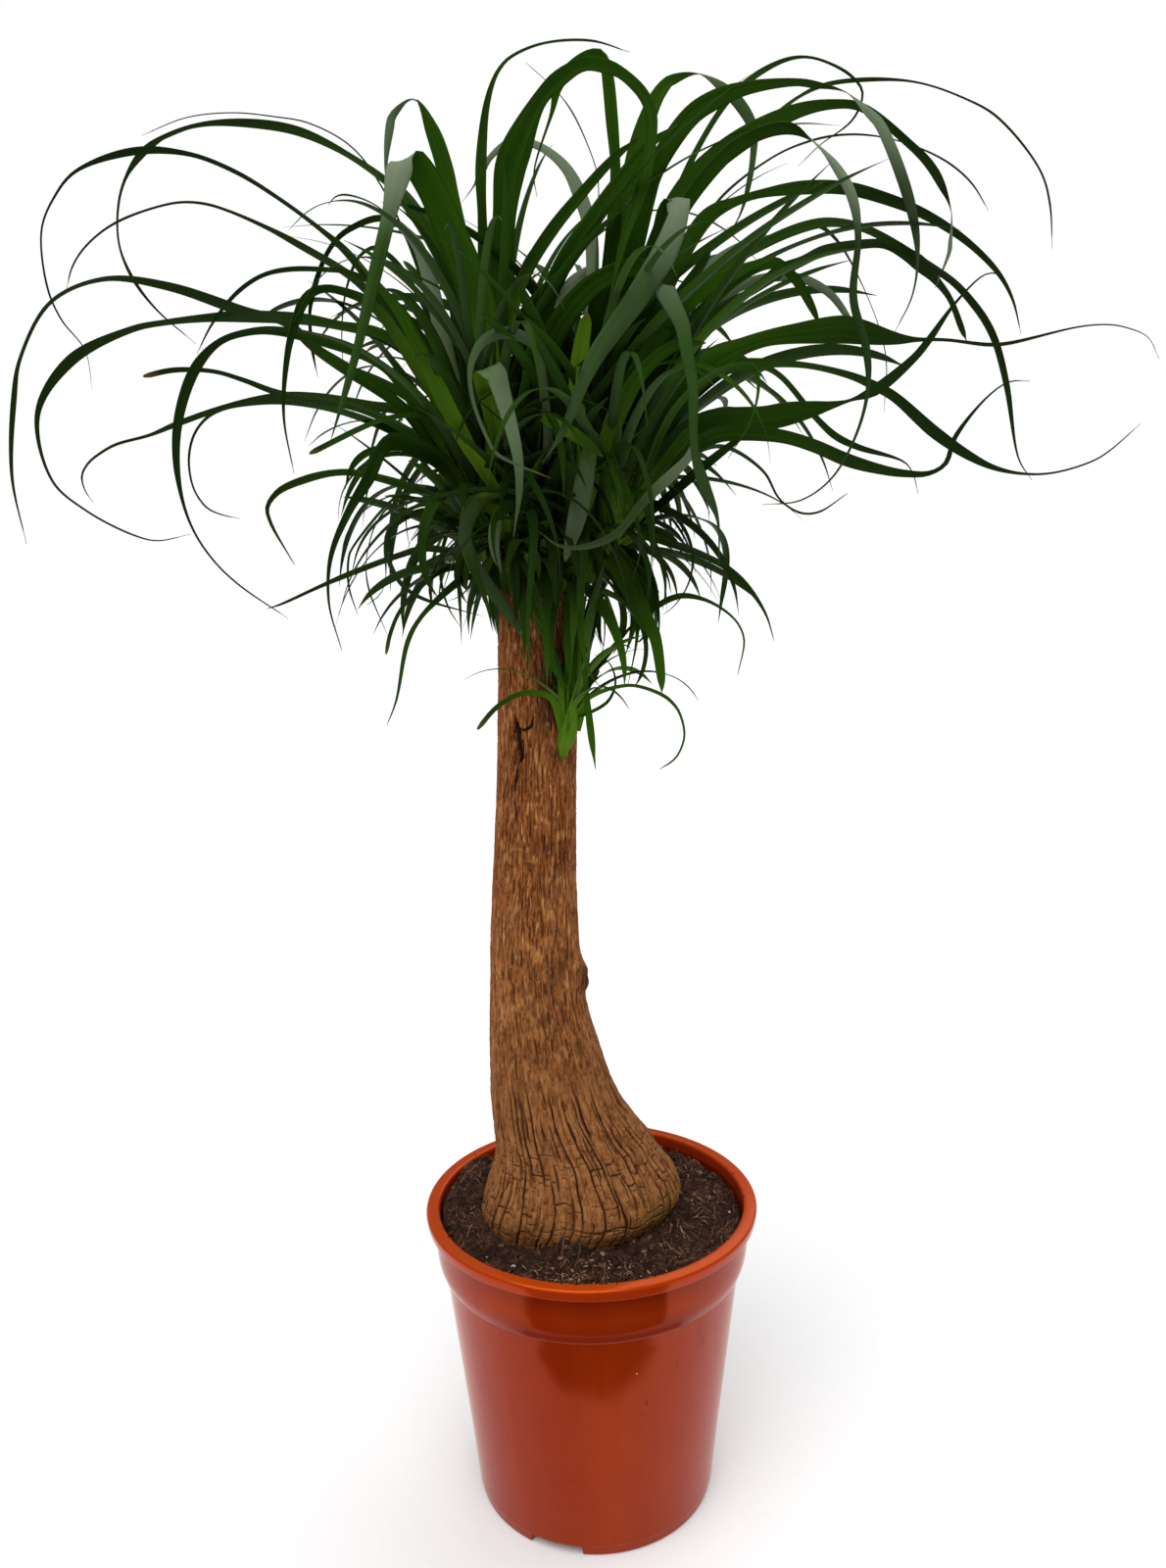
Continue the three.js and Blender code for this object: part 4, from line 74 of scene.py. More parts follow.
LEAVES = {
    "leaf_left_01": [
        [-53.9, -8, 761.8, -2.11, -3.09, -0.8], [-58.1, -7, 770.1, -2.21, -3.24, -0.37], [-66.6, -3.5, 818.8, -2.58, -3.37, -0.32], [-76.6, -0.5, 851.1, -2.78, -3.11, -0.78],
        [-94.2, 3.7, 887, -2.69, -3.05, -1.19], [-112.7, 7.6, 912, -2.44, -2.71, -1.83], [-142.6, 13.2, 935.7, -1.16, -0.61, -1.56], [-174.1, 18.8, 952.5, -0.93, 0.58, -2.59],
        [-202.8, 23.7, 959.7, -0.26, 0.84, -2.69], [-239.5, 29.8, 962.3, 0.12, 0.05, -1.77], [-265.8, 34, 957.3, 0.52, -0.09, -1.57], [-283.3, 36.9, 948, 1.52, 0.44, -1.98],
        [-296.2, 39.1, 934.1, 1.25, 0.02, -0.8], [-303.4, 40.6, 917, 1.14, 0.19, -0.23], [-305.4, 41.9, 892.7, 1.08, -0.05, 0.09], [-299.4, 44, 872.7, 1.2, 0.55, 0.65],
        [-286.2, 47, 852.8, 0.72, 0.48, 0.71], [-261.6, 52, 830.1, 0.27, 0.02, 0.36],
    ],
    "leaf_left_02": [
        [-75.2, 10, 739.1, -2.54, 2.98, -0.24], [-83.5, 8.8, 769.3, -2.66, 3.3, -0.8], [-99.4, 6.8, 806.1, -2.69, 3.18, -1.17], [-108.4, 5.8, 822, -2.63, 3.12, -1.38],
        [-128.8, 3.5, 855.2, -2.46, 3.15, -1.46], [-145.8, 1.8, 875.8, -1.83, 2.47, -1.59], [-161.6, 0.3, 889, -0.92, 1.73, -1.04], [-187.7, -2.2, 907.9, -0.71, 1.46, -0.81],
        [-212.7, -4.5, 922.6, -0.62, 1.06, -1.15], [-240.1, -7, 932.5, -0.34, 0.97, -1.35], [-272.7, -9.9, 933.8, 0.05, 1.13, -2.04], [-309.6, -13.2, 921.5, 0.56, 0.79, -0.89],
        [-323.9, -14.5, 906, 0.52, 0.89, -0.4], [-332.8, -15.5, 887.1, 0.68, 0.7, -0.19], [-331.7, -16.7, 852.4, 0.96, 0.25, 0.23], [-324.3, -17.7, 833.2, 0.78, 0.04, 0.42],
        [-310.4, -19.2, 814.2, 0.5, -0.26, 0.18], [-307.8, -20, 790.5, -0.09, 0.44, -0.02],
    ],
    "leaf_left_03": [
        [-76, 10, 742.2, -1.85, -2.9, -0.73], [-92.2, 13.7, 773.7, -2.19, -3.16, -0.66], [-110.5, 18.2, 818.1, -2.39, -2.92, -0.94], [-122.8, 20.8, 837, -2.26, -2.93, -1.21],
        [-138.9, 23.9, 857.2, -2.12, -2.85, -1.45], [-151.2, 26.2, 868, -1.7, -2.15, -1.88], [-182.1, 31.6, 887.5, -1.21, -0.29, -1.95], [-202.5, 35.1, 899, -0.8, -0.25, -1.48],
        [-230.1, 39.7, 911.9, -0.5, -0.06, -1.2], [-246.3, 42.4, 917.4, -0.27, 0.16, -1.23], [-263.5, 45.1, 919.4, 0.04, 0.19, -1.16], [-284.2, 48.3, 916.7, 0.25, 0.16, -1.08],
        [-307.9, 51.9, 910.2, 0.43, 0.29, -1.07], [-323.6, 54.4, 902.6, 0.58, 0.22, -0.86], [-337.1, 56.5, 892.1, 0.72, 0.26, -0.68], [-345.1, 57.8, 881.5, 0.76, 0.31, -0.36],
        [-349.8, 58.8, 869.2, 0.39, 0.18, -0.12],
    ],
    "leaf_left_04": [
        [-61, 8.8, 691, 1.75, -4.15, -2.75], [-68.1, 7.7, 690.5, -1.48, -4.69, -2.29], [-72.3, 6.8, 698.8, -2.56, -4.71, -1.66], [-83.1, 4.3, 722, -2.76, -4.82, -1.84],
        [-97, 1.2, 750, -2.91, -4.57, -2.06], [-111.6, -1.9, 773.4, -2.55, -4.2, -2.96], [-122.8, -4, 783.6, -1.98, -3.5, -3.49], [-150, -8.9, 802.4, -1.95, -3.37, -3.32],
        [-166.9, -12, 814.2, -1.51, -1.95, -2.65], [-184.3, -15.4, 829.5, -1.3, -2.56, -2.64], [-206.7, -19.4, 835, -0.63, -1.96, -3.29], [-252.8, -27.8, 849.8, -0.6, 0.13, -2.55],
        [-289.3, -34.5, 853, 0.36, -0.64, -1.68], [-321, -40.2, 838.7, 1.06, -0.47, -1.1], [-340.8, -44.3, 805.7, 1.38, -0.04, -0.51], [-346.2, -45.8, 782.6, 1.64, 0.7, -0.27],
        [-351, -48.2, 735.2, 1.26, 0.32, -0.05], [-344.7, -51.1, 694.1, 0.27, 0.36, 0.04],
    ],
    "leaf_left_05": [
        [-72.4, 10, 726.8, -3.15, -3.62, -1.52], [-76.5, 10.1, 735.5, -3.37, -3.75, -1.15], [-91.4, 10.7, 780.7, -3.79, -3.87, -1.35], [-101.5, 11.1, 803.7, -3.57, -3.53, -2.38],
        [-128.1, 11.8, 825, -1.89, -2.75, -4.32], [-156.1, 12.4, 832.4, -0.65, -1.08, -3.08], [-181.6, 13.1, 837.1, -0.55, -1.78, -4.02], [-220.5, 14, 839.4, -0.09, -1.54, -4.13],
        [-240.1, 14.4, 839.3, 0.14, -0.71, -2.91], [-269.5, 15.1, 837, 0.2, -0.96, -1.99], [-292.3, 15.7, 833.1, 0.58, -0.66, -2.14], [-334.6, 16.7, 814.5, 2.05, 1.01, -2.63],
        [-359.9, 17.3, 780.9, 1.74, 0.47, -0.44], [-354.4, 17.8, 737.9, 1.13, -0.1, 0.6], [-334.2, 18.3, 718.2, 0.61, 0.09, 0.88], [-303.3, 19.1, 701.1, 0.38, 0.13, 0.92],
        [-287.5, 19.5, 697, 0.03, 0.13, 0.74], [-264.4, 20, 701, -0.08, 0.2, 0.39],
    ],
    "leaf_left_06": [
        [-73.8, 10, 733, -3.04, 4.05, -1.38], [-81.9, 6.5, 742.1, -3.5, 4.15, -0.82], [-92.6, 0.9, 764.1, -3.78, 4.26, -0.91], [-105.6, -5.4, 784, -3.78, 3.98, -1.41],
        [-118.6, -11.4, 799.4, -2.53, 3.56, -0.93], [-127.7, -15.3, 806.2, -2.37, 3.68, -1.51], [-145.7, -22.9, 813.9, -2.26, 3.76, -2.42], [-183.8, -38.8, 820.4, -1.23, 2.44, -2.11],
        [-200.1, -45.7, 818.5, -0.4, 2.04, -1.77], [-215.6, -52.4, 812.1, 0.36, 1.88, -1.59], [-229, -58.6, 796.9, 1.97, 1.93, -1.73], [-239.2, -64.5, 769.5, 2.4, 1.46, -0.83],
        [-242.3, -67.9, 743.5, 2.01, 1.06, -0.13], [-239.1, -71.7, 717.5, 1.13, 0.93, 0.12], [-231.8, -75.9, 698.1, 0.78, 0.87, 0.19], [-219.6, -81.4, 681, 0.7, 0.57, 0.42],
        [-203.7, -87.9, 666.7, 0.53, 0.06, 0.7], [-172.8, -100, 646.9, 0.29, 0.08, 0.34],
    ],
    "leaf_left_07": [
        [-69.2, 9.8, 714.7, -2.12, -3.61, -1.44], [-77.6, 11.5, 724.6, -2.49, -3.85, -0.96], [-96.1, 15.8, 759.1, -2.87, -3.75, -1.34], [-104.5, 17.5, 769.1, -2.69, -3.57, -2.05],
        [-112.3, 19, 775.3, -2.25, -3.44, -2.68], [-124.8, 21.2, 780, -1.27, -3.32, -3.4], [-138.3, 23.5, 782.1, -1.2, -3.36, -3.41], [-178.9, 30.4, 789.8, -1.07, -3.49, -3.26],
        [-199.7, 33.8, 791.7, -0.49, -2.82, -3], [-231.2, 39, 788.6, 0.25, -0.75, -1.83], [-276.2, 46.2, 776.7, 0.45, -1.08, -2.08], [-296.9, 49.5, 769.9, 0.32, -0.48, -1.46],
        [-322.1, 53.4, 764.6, 0.41, 0.12, -1.27], [-332.3, 55, 760.3, 0.6, 0.27, -1.07], [-344.6, 57, 752.4, 0.77, 0.3, -0.82], [-350.2, 57.9, 743.8, 1.02, 0.32, -0.21],
        [-349.2, 58.6, 734.2, 0.64, 0.27, 0.27], [-344.5, 59.8, 725.7, 0.36, 0.14, 0.24],
    ],
    "leaf_left_08": [
        [-72.8, 10, 728.4, 0.02, 3.08, -1.79], [-80.7, 9.3, 729.3, -1.74, 3.02, -1.33], [-94.3, 7.7, 750.9, -2.25, 2.84, -1.41], [-103.1, 6.8, 760.1, -1.68, 2.9, -1.97],
        [-140.2, 3.2, 778.4, -0.99, 3.17, -1.93], [-165, 0.8, 784.2, -0.62, 3.04, -1.73], [-193.2, -1.8, 788.8, -0.58, 2.24, -1.53], [-216.4, -4.1, 797.3, -0.6, 0.64, -1.52],
        [-234.2, -5.9, 802.5, -0.33, 0.96, -1.4], [-259.1, -8.2, 803.3, 0.05, 1, -1.64], [-277.7, -10, 799.5, 0.31, 0.79, -1.58],
    ],
    "leaf_left_09": [
        [-64.8, 9.3, 701.3, -2.08, -2.83, -0.56], [-70.9, 12.4, 709.3, -2.2, -2.98, -0.34], [-85.2, 20.4, 736, -2.51, -3.01, -0.57], [-93.8, 24.7, 746.6, -2.5, -2.82, -1.28],
        [-102.2, 28.5, 752.8, -2.28, -2.7, -1.87], [-136.6, 43.1, 772.2, -2.14, -2.82, -1.96], [-171.2, 57.1, 785.6, -1.84, -2.84, -2.21], [-200.9, 68.7, 792.8, -1.31, -2.41, -2.39],
        [-228.2, 78.9, 794.5, -0.31, -0.87, -2.12], [-255.9, 89, 792.4, 0.4, -0.09, -1.87], [-270.3, 94.2, 786.3, 0.75, -0.2, -1.27], [-281.1, 98.3, 775.9, 1.08, 0.03, -0.72],
        [-286.8, 101, 762.7, 1.2, 0.24, -0.26], [-288.1, 102.8, 748.6, 1.11, 0.3, 0.08], [-285.9, 105.5, 734.9, 0.93, 0.41, 0.41], [-279.2, 109.6, 723.5, 0.68, 0.21, 0.81],
        [-270.8, 113.5, 718.8, 0.21, 0.13, 0.82], [-257.9, 119.3, 715.6, 0.03, 0.16, 0.42],
    ],
    "leaf_left_10": [
        [-74.5, 10, 736, -2.04, -2.91, 1.62], [-63.7, 3.6, 739.6, -2.4, -3.08, -0.43], [-65.5, 1.7, 744.6, -1.87, -2.78, -2.23], [-74.7, -6.3, 760.2, -1.34, -2.89, -2.85],
        [-81, -11.2, 766.4, -0.31, -2.73, -3.25], [-88.8, -16.8, 770.2, 0.88, -2.5, -3.21], [-100.5, -24.9, 770.6, 1.89, -2.19, -2.57], [-123.3, -41.2, 765.2, 1.79, -1.59, -1.64],
        [-160.9, -70, 743.9, 0.41, 0.56, -1.71],
    ],
    "leaf_left_11": [
        [-60.3, 8.8, 689.6, -1.64, 2.79, -1.55], [-68.5, 6.3, 694.5, -2.09, 2.84, -1.27], [-86.6, 0.1, 716.7, -2.33, 2.72, -1.51], [-97.1, -3.1, 723.3, -1.63, 2.8, -2.08],
        [-141.4, -16.6, 736.2, -0.8, 1.82, -1.87], [-156.6, -21.3, 736.4, -0.01, 0.85, -2.04], [-174.3, -26.7, 732.1, 0.66, 0.41, -2.34], [-190.8, -31.9, 724.4, 0.94, 0.81, -1.58],
        [-197.7, -34.3, 714.7, 1.28, 0.91, -0.37], [-196.1, -35.4, 705.8, 1.25, 0.48, 0.45], [-180.8, -41.2, 678.4, 0.4, 0.06, 0.2],
    ],
    "leaf_left_12": [
        [-68.7, 9.8, 713.2, -4.3, 1.38, -1.3], [-80.2, -7.5, 734.3, -5.1, 1.65, -1.77], [-89.6, -20.3, 744.7, -5.09, 1.99, -3.38], [-103.8, -38.5, 751.7, -4.01, 1.97, -4.38],
        [-111.3, -48.2, 752.8, -2.08, 1.81, -4.85], [-116.2, -54.5, 751.2, 0.96, 2, -4.38], [-120.9, -61.4, 744, 2.86, 1.83, -2.53], [-126, -70.7, 729.8, 2.67, 1.82, -2.54],
        [-136.1, -87.5, 708.8, 1.87, 0.78, -1.3], [-144.8, -105.3, 681.6, 1.34, 0.75, -0.62], [-145.2, -115.1, 656.1, 0.99, 0.48, -0.04], [-136.1, -130.2, 629.1, 0.4, 0.21, 0.02],
    ],
    "leaf_left_13": [
        [-52.8, 8, 674, 1.49, 2.56, -1.12], [-61.1, 10.4, 669.5, 0.59, 2.64, -1.95], [-76.4, 15.1, 681.3, -0.94, 2.44, -2.3], [-85.4, 17.7, 686.2, -0.2, 2.4, -2.48],
        [-99.1, 21.5, 689, 0.42, 2.29, -2.17], [-109.7, 24.4, 688.9, 0.88, 2.27, -1.83], [-123.5, 28.2, 685.2, 1.22, 2.4, -1.63], [-165, 39.3, 671.3, 0.71, 0.28, -1.81],
        [-185.9, 44.8, 663.4, 0.64, 0.41, -1.34], [-214.1, 52, 652.1, 0.43, 0.26, -1.07], [-225.2, 54.8, 648.9, 0.12, 0.06, -0.43],
    ],
    "leaf_left_14": [
        [-53.9, -8, 761.8, -6.55, 0.1, -0.31], [-56.3, -18.9, 811.9, -8.1, 0.12, -0.56], [-59.6, -25.7, 836.9, -10.32, 1.1, -2.07], [-65.4, -32.1, 851.8, -10.25, 1.64, -3.5],
        [-83.1, -51.7, 893.7, -7.94, 1.4, -2.97], [-90.4, -59.1, 905.8, -7.21, 1.7, -3.72], [-92.6, -61.1, 907.7, -5.12, 2.59, -5.87], [-98.2, -67.1, 907.5, -7.94, -0.39, -2.04],
        [-101.1, -71.5, 898.7, -6.29, -2.88, 2.78], [-101.2, -71.6, 898.6, -6.58, -2.75, 2.2], [-105.4, -77.3, 878.7, -4.03, -1.56, 1.39], [-115.1, -90.1, 836.4, -3.41, -1.43, 1.23],
        [-124.1, -102, 797.5, -2.23, -0.79, 0.79], [-129.8, -109.2, 775.7, -1.71, -0.72, 0.71], [-138.9, -120.5, 743.5, -0.32, -0.1, 0.13],
    ],
    "leaf_left_15": [
        [-53.9, -8, 761.8, -5.76, 0.86, -0.31], [-56.9, -12.1, 798, -7.76, 1.4, -0.68], [-61.3, -16.2, 830.1, -9.26, 2.19, -1.6], [-70.4, -21.7, 863, -8.55, 2.07, -1.45],
        [-75.5, -26.6, 898.7, -5.66, 1.04, -0.69], [-78.2, -29, 914.7, -5.12, 0.42, -1.21], [-84.7, -32.9, 935, -3.78, 0.47, -2.1], [-94.2, -37.4, 950.9, 0.28, -2.32, -0.84],
        [-107.1, -42.4, 939.9, -1.36, -0.93, 1.7], [-107.5, -42.5, 939.3, -2.23, -0.63, 0.55], [-111.5, -45.6, 913.8, -1.36, -0.48, 0.15], [-111.1, -48, 891, -0.4, -0.2, 0.01],
    ],
    "leaf_left_16": [
        [-76, 10, 742.2, -2.65, 2.71, 0.12], [-72.3, 12.7, 761.3, -2.71, 2.55, 0.02], [-72.5, 13.5, 767.6, -2.61, 2.5, -0.85], [-80.4, 18.8, 799.1, -2.95, 2.98, -1.26],
        [-87, 23.2, 824.3, -2.86, 3.01, -1.24], [-95.7, 29.1, 859, -2.56, 2.79, -1.13], [-100, 31.9, 874.7, -2.34, 3.05, -1.36], [-110.3, 36.8, 895.4, -1.17, 3.25, -1.93],
        [-117.6, 39.6, 902.5, -0.25, 3.14, -1.99], [-127, 43, 906.8, 0.53, 2.71, -1.75], [-137.3, 46.5, 906.9, 0.97, 1.96, -1.53], [-156.7, 53, 900.4, 1.11, 1.78, -1.01],
        [-164.6, 55.8, 894.5, 1.17, 1.92, -0.49], [-172.5, 58.7, 884.4, 1.19, 1.69, -0.29], [-181.8, 62.8, 863.9, 1.57, 1.24, -0.37], [-184.9, 64.5, 851.5, 1.06, 1.13, -0.02],
        [-185.2, 67.1, 829, 1.19, 1.18, 0.28], [-182.9, 70, 809.8, 0.37, 0.24, 0.09],
    ],
    "leaf_left_17": [
        [-76, 10, 742.2, -3.02, 2.63, 0.05], [-80.5, 6.2, 760.1, -3.82, 3.95, -0.36], [-89.4, 0.2, 782.6, -4.05, 4.01, -0.74], [-96.8, -4.2, 795.3, -3.98, 3.93, -1.09],
        [-118.3, -16.9, 828.7, -3.64, 4.12, -0.9], [-125.5, -21, 837, -3.33, 4.05, -1.19], [-132.1, -24.4, 841.5, -2.61, 3.75, -1.72], [-145.3, -30.9, 845.1, -1.52, 2.43, -1.89],
        [-153.5, -35, 845.4, -0.62, 1.88, -2.11], [-161.2, -38.8, 842.2, 0.93, 1.68, -2.23], [-166.8, -41.7, 835.2, 2, 1.98, -1.77], [-171.2, -44.6, 824, 1.62, 2.67, -1.07],
        [-175.9, -48.2, 806.7, 1.51, 1.74, -0.6], [-179.4, -53.6, 768.3, 1.03, 0.86, -0.1], [-173.6, -60, 732.9, 0.44, 0.09, 0.05],
    ],
    "leaf_left_18": [
        [-53.5, 8.1, 675.4, 1.83, -1.76, -1.01], [-62.4, 1.4, 672, 1.42, -1.8, -1.69], [-84.3, -15.3, 674.5, 1.48, -1.7, -1.74], [-95.6, -24.3, 669.6, 1.88, -1.48, -0.81],
        [-114.8, -41.1, 649, 1.45, -0.61, -0.58], [-121, -48, 634.6, 1.49, -0.01, -0.48], [-123.7, -51.9, 622.2, 1.53, 0.12, -0.26],
    ],
    "leaf_left_19": [
        [-51.1, 7.7, 671.4, 2.47, -1.7, -1.02], [-56.8, 1.1, 668.8, 2.31, -1.72, -1.51], [-72, -16.5, 668.3, 2.24, -1.66, -1.88], [-77.6, -23.2, 666.4, 2.69, -1.53, -1.24],
        [-99.3, -52.2, 646.1, 1.65, -0.74, -0.48], [-107.6, -65.7, 630.5, 1.69, -0.09, -0.44], [-113.9, -83, 595.2, 1.05, -0.03, -0.21], [-118.5, -92.3, 581.9, 0.41, 0.01, -0.19],
    ],
    "leaf_left_20": [
        [-62.8, 9.1, 695.3, -0.9, -2.5, -1.72], [-72.2, 11.1, 698.5, -1.46, -2.61, -1.45], [-89.1, 14.8, 709.5, -1.33, -2.53, -1.96], [-106, 18.2, 712.4, -0.32, -2.44, -2.48],
        [-122.2, 21.6, 706.8, 1.01, -2.35, -2.29], [-127.2, 22.6, 702.2, 1.67, -2.23, -1.76], [-131.9, 23.8, 693.3, 2.05, -1.95, -0.75], [-132.5, 24.3, 686.7, 2.05, -1.84, 0.06],
        [-129.9, 25.3, 677.1, 1.94, -1.82, 0.5], [-125.6, 26.6, 668.1, 1.68, -1.75, 0.78], [-119.1, 28.2, 660.6, 1.22, -1.49, 1.01], [-107.6, 30.8, 653.9, 0.66, -1.14, 1.14],
        [-68.4, 39, 641.3, 0.14, -0.36, 0.21],
    ],
    "leaf_top_01": [
        [-53.9, -8, 761.8, -5.05, 1.07, -0.05], [-54.2, -7.2, 783.5, -3.58, 0.43, -0.15], [-55.7, -5.8, 817.4, -4.72, 0.71, -0.24], [-56.5, -5.1, 835.6, -4.81, 0.78, -0.24],
        [-57.6, -4.1, 859.9, -4.27, 0.62, -0.15], [-58.2, -2.8, 895.8, -2.97, 0.13, -0.02], [-58.2, -1.8, 922.5, -3.57, 0.04, 0.21], [-54.2, -0.2, 957.5, -2.19, -0.2, 0.4],
        [-49, 0.8, 974.4, -1.51, -0.12, 0.63], [-44.5, 1.5, 982.1, -1.12, -0.16, 0.9], [-38, 2.4, 988.4, -0.64, -0.21, 1.12], [-18.1, 5, 996.9, -0.21, -0.28, 1.07],
        [12.8, 8.9, 999.6, 0.11, -0.4, 0.99], [36.7, 12, 993.8, 0.13, -0.16, 0.4],
    ],
    "leaf_top_02": [
        [-53.6, -7.8, 756.3, -8.78, -2.47, 2.03], [-50.6, -9.3, 768, -7.44, -1.69, 0.49], [-50.1, -11.5, 795.3, -5.91, -0.73, 0.18], [-47.2, -15.8, 845.4, -8.35, -1.75, 0.47],
        [-43.5, -19.8, 888, -7.12, -1.54, 0.64], [-39, -22.9, 915.4, -9.04, -2.77, 1.76], [-34.9, -24.7, 925.5, -8.06, -3.25, 3.6], [-20, -30.5, 951, -3.74, -1.31, 2.52],
        [-7.7, -34.6, 961.5, -2.76, -1.63, 3.64], [7.4, -39.4, 967.5, -0.8, -1.68, 3.16], [21.7, -43.9, 964.1, 0.69, -1.71, 3.38], [29.4, -46.4, 959.7, 1.56, -1.44, 2.38],
        [41.6, -50.8, 946.8, 2.31, -1.43, 2.05], [46, -52.7, 936.4, 3.52, -0.96, 0.67], [45.9, -54.4, 919.8, 3.57, -0.63, -0.38], [40.8, -57.6, 894.8, 3.81, -0.62, -1.01],
        [29.1, -63, 862.7, 2.37, -0.35, -0.7], [20, -67.8, 829.7, 0.43, -0.07, -0.11],
    ],
    "leaf_top_03": [
        [16.2, 8, 756.1, -4.42, 1.7, -0.19], [14.9, 6.5, 778, -4.3, 1.42, 0.27], [17.7, 4.6, 805.5, -6.05, 2.36, 0.79], [21.9, 1.6, 847.6, -6.07, 2.38, 0.76],
        [24.9, -0.7, 879.8, -5.08, 1.86, 0.48], [26.6, -3.3, 920.2, -3.22, 0.68, 0.04], [24.7, -5.4, 948.3, -3.88, 0.58, -0.3], [22.3, -7.4, 973.1, -3.65, 0.52, -0.41],
        [20.6, -8.2, 981, -2.77, 1.03, -1.02], [17.4, -9.1, 985, -1.05, 1.59, -2.14], [9.7, -10.8, 983.7, 1.12, 1.46, -2.04], [-7.8, -15, 966.8, 2.79, 1.18, -1.97],
        [-12.3, -16.7, 950.1, 1.44, 0.65, -0.49], [-24.3, -20.8, 913.7, 0.77, 0.33, -0.18], [-22.7, -22, 899.4, 0.41, 0.19, 0.03],
    ],
    "leaf_top_04": [
        [16.2, 8, 756.1, 4.7, 1.1, 2.05], [7.1, 14.6, 773.7, 4.66, 0.94, 1.66], [6, 15.9, 779.9, 4.46, 0.94, -0.31], [9.4, 23, 822, 4.68, 0.59, -0.44],
        [11.1, 27.6, 851.1, 4.34, 0.31, -0.16], [10.9, 34.1, 893.1, 4.43, 0.65, 0.35], [4, 40.8, 918.8, 4.48, 0.77, 1.37], [-4.8, 47.1, 937.1, 2.91, 0.22, 1.97],
        [-19.6, 55.8, 952.2, 1.59, -0.08, 2.13], [-32.2, 62.6, 959, 0.89, -0.15, 2.43], [-42.2, 67.8, 961.1, -0.11, -0.15, 2.49], [-48.3, 70.9, 959.3, -1.09, -0.05, 2.06],
        [-58.5, 76.5, 952.4, -1.38, -0.02, 1.51], [-64.1, 79.8, 945.2, -2.09, -0.01, 1.5], [-69.5, 83.1, 937.8, -0.75, 0.01, 0.65], [-78.3, 88, 928.8, -0.31, 0.04, 0.32],
    ],
    "leaf_right_01": [
        [16.2, 8, 756.1, -6.7, 2.11, 0.37], [18.4, 9.2, 784.7, -7.53, 2.31, 0.63], [20, 9.8, 797.2, -7.58, 2.26, 0.87], [25.3, 11.7, 837.7, -7.44, 2.05, 0.92],
        [29.7, 13.2, 868.4, -7.27, 2.08, 0.99], [34.5, 14.8, 898.8, -7.08, 2.08, 1.14], [42, 16.9, 937.8, -6.33, 1.74, 1.6], [53.9, 19.3, 969, -4.22, 0.2, 2.11],
        [61.4, 20.5, 978.8, -2.64, -0.27, 2.44], [63.1, 20.7, 979.9, -1.04, -0.62, 3.19], [81.3, 23.2, 984.8, -0.19, -1.92, -0.72], [99.2, 25.7, 975.9, -1.63, 0.36, -3.14],
        [109.8, 27.3, 966.4, -3.06, 0.07, -2.49], [117.4, 28.6, 953.5, -3.13, -0.2, -0.94], [118, 29.3, 938.8, -2.16, -0.25, 0.18], [114.1, 30.6, 915.3, -1.72, -0.28, 0.39],
        [109.4, 31.6, 901.1, -0.9, 0.03, 0.42], [101.4, 33, 888.1, -0.36, 0.11, 0.24],
    ],
    "leaf_right_02": [
        [16.2, 8, 756.1, -1.82, 2.44, 0.2], [21.9, 10.6, 777.9, -2.02, 2.63, 0.18], [33.9, 16.3, 827.7, -2.32, 2.46, 0.3], [42, 19.9, 855.3, -2.31, 2.44, 0.47],
        [54, 24.3, 885, -2.22, 2.48, 0.6], [69, 29.6, 917, -2.12, 2.53, 0.59], [80.2, 33.5, 940.1, -1.9, 2.18, 0.6], [103.4, 40.8, 975.4, -1.72, 1.88, 1.08],
        [120.9, 45.7, 991.1, -1.37, 0.79, 1.61], [141.8, 51.2, 1002.6, -0.52, -0.09, 1.53], [155.3, 54.6, 1005.5, -0.06, 0, 1.33], [168.8, 57.9, 1004, 0.32, -0.11, 1.19],
        [187.4, 62.6, 996.8, 0.71, -0.17, 1.13], [196, 65, 988.1, 1.2, 0.2, 0.46], [195.4, 66, 979.6, 1.08, 0.52, -0.31], [189.5, 68.1, 969.7, 0.82, 0.22, -0.66],
        [169.5, 73.9, 956.9, 0.26, -0.32, -0.47], [155.8, 78, 945, 0.26, -0.14, -0.33],
    ],
    "leaf_right_03": [
        [16.2, 8, 756.1, -5.41, -2.46, 1.21], [18.6, 7.2, 765.2, -5.68, -2.43, 0.65], [24, 3.9, 811.2, -6.18, -2.48, 0.65], [28.5, 1.7, 838, -6.1, -2.41, 1.02],
        [32.7, 0, 855.3, -6, -2.42, 1.3], [45.1, -4.8, 903, -5.8, -2.57, 1.38], [51, -6.7, 918.9, -5.11, -3, 2.53], [72.8, -12.4, 947.4, -4.04, -3.41, 3.32],
        [87.5, -15.9, 955.4, -2.29, -3.62, 4.01], [107, -20.3, 960, -0.82, -2.16, 3.17], [135.8, -26.8, 960.3, -0.21, -1.37, 1.75], [145.9, -29.2, 958, 0.22, -1.37, 1.66],
        [163.9, -33.4, 952.2, -0.33, -1.59, -0.57], [178.4, -37, 938.3, -1.52, 1.19, -1.69], [184.2, -38.5, 931.7, -2.42, 1.1, -1.39], [201.8, -44.4, 885.7, -2.69, 1.64, -0.93],
        [206.7, -47, 854.5, -1.22, 0.77, -0.11], [203.6, -48.9, 831.8, -0.77, 0.16, 0.22], [193, -52, 810.9, -0.37, -0.12, 0.22],
    ],
    "leaf_right_04": [
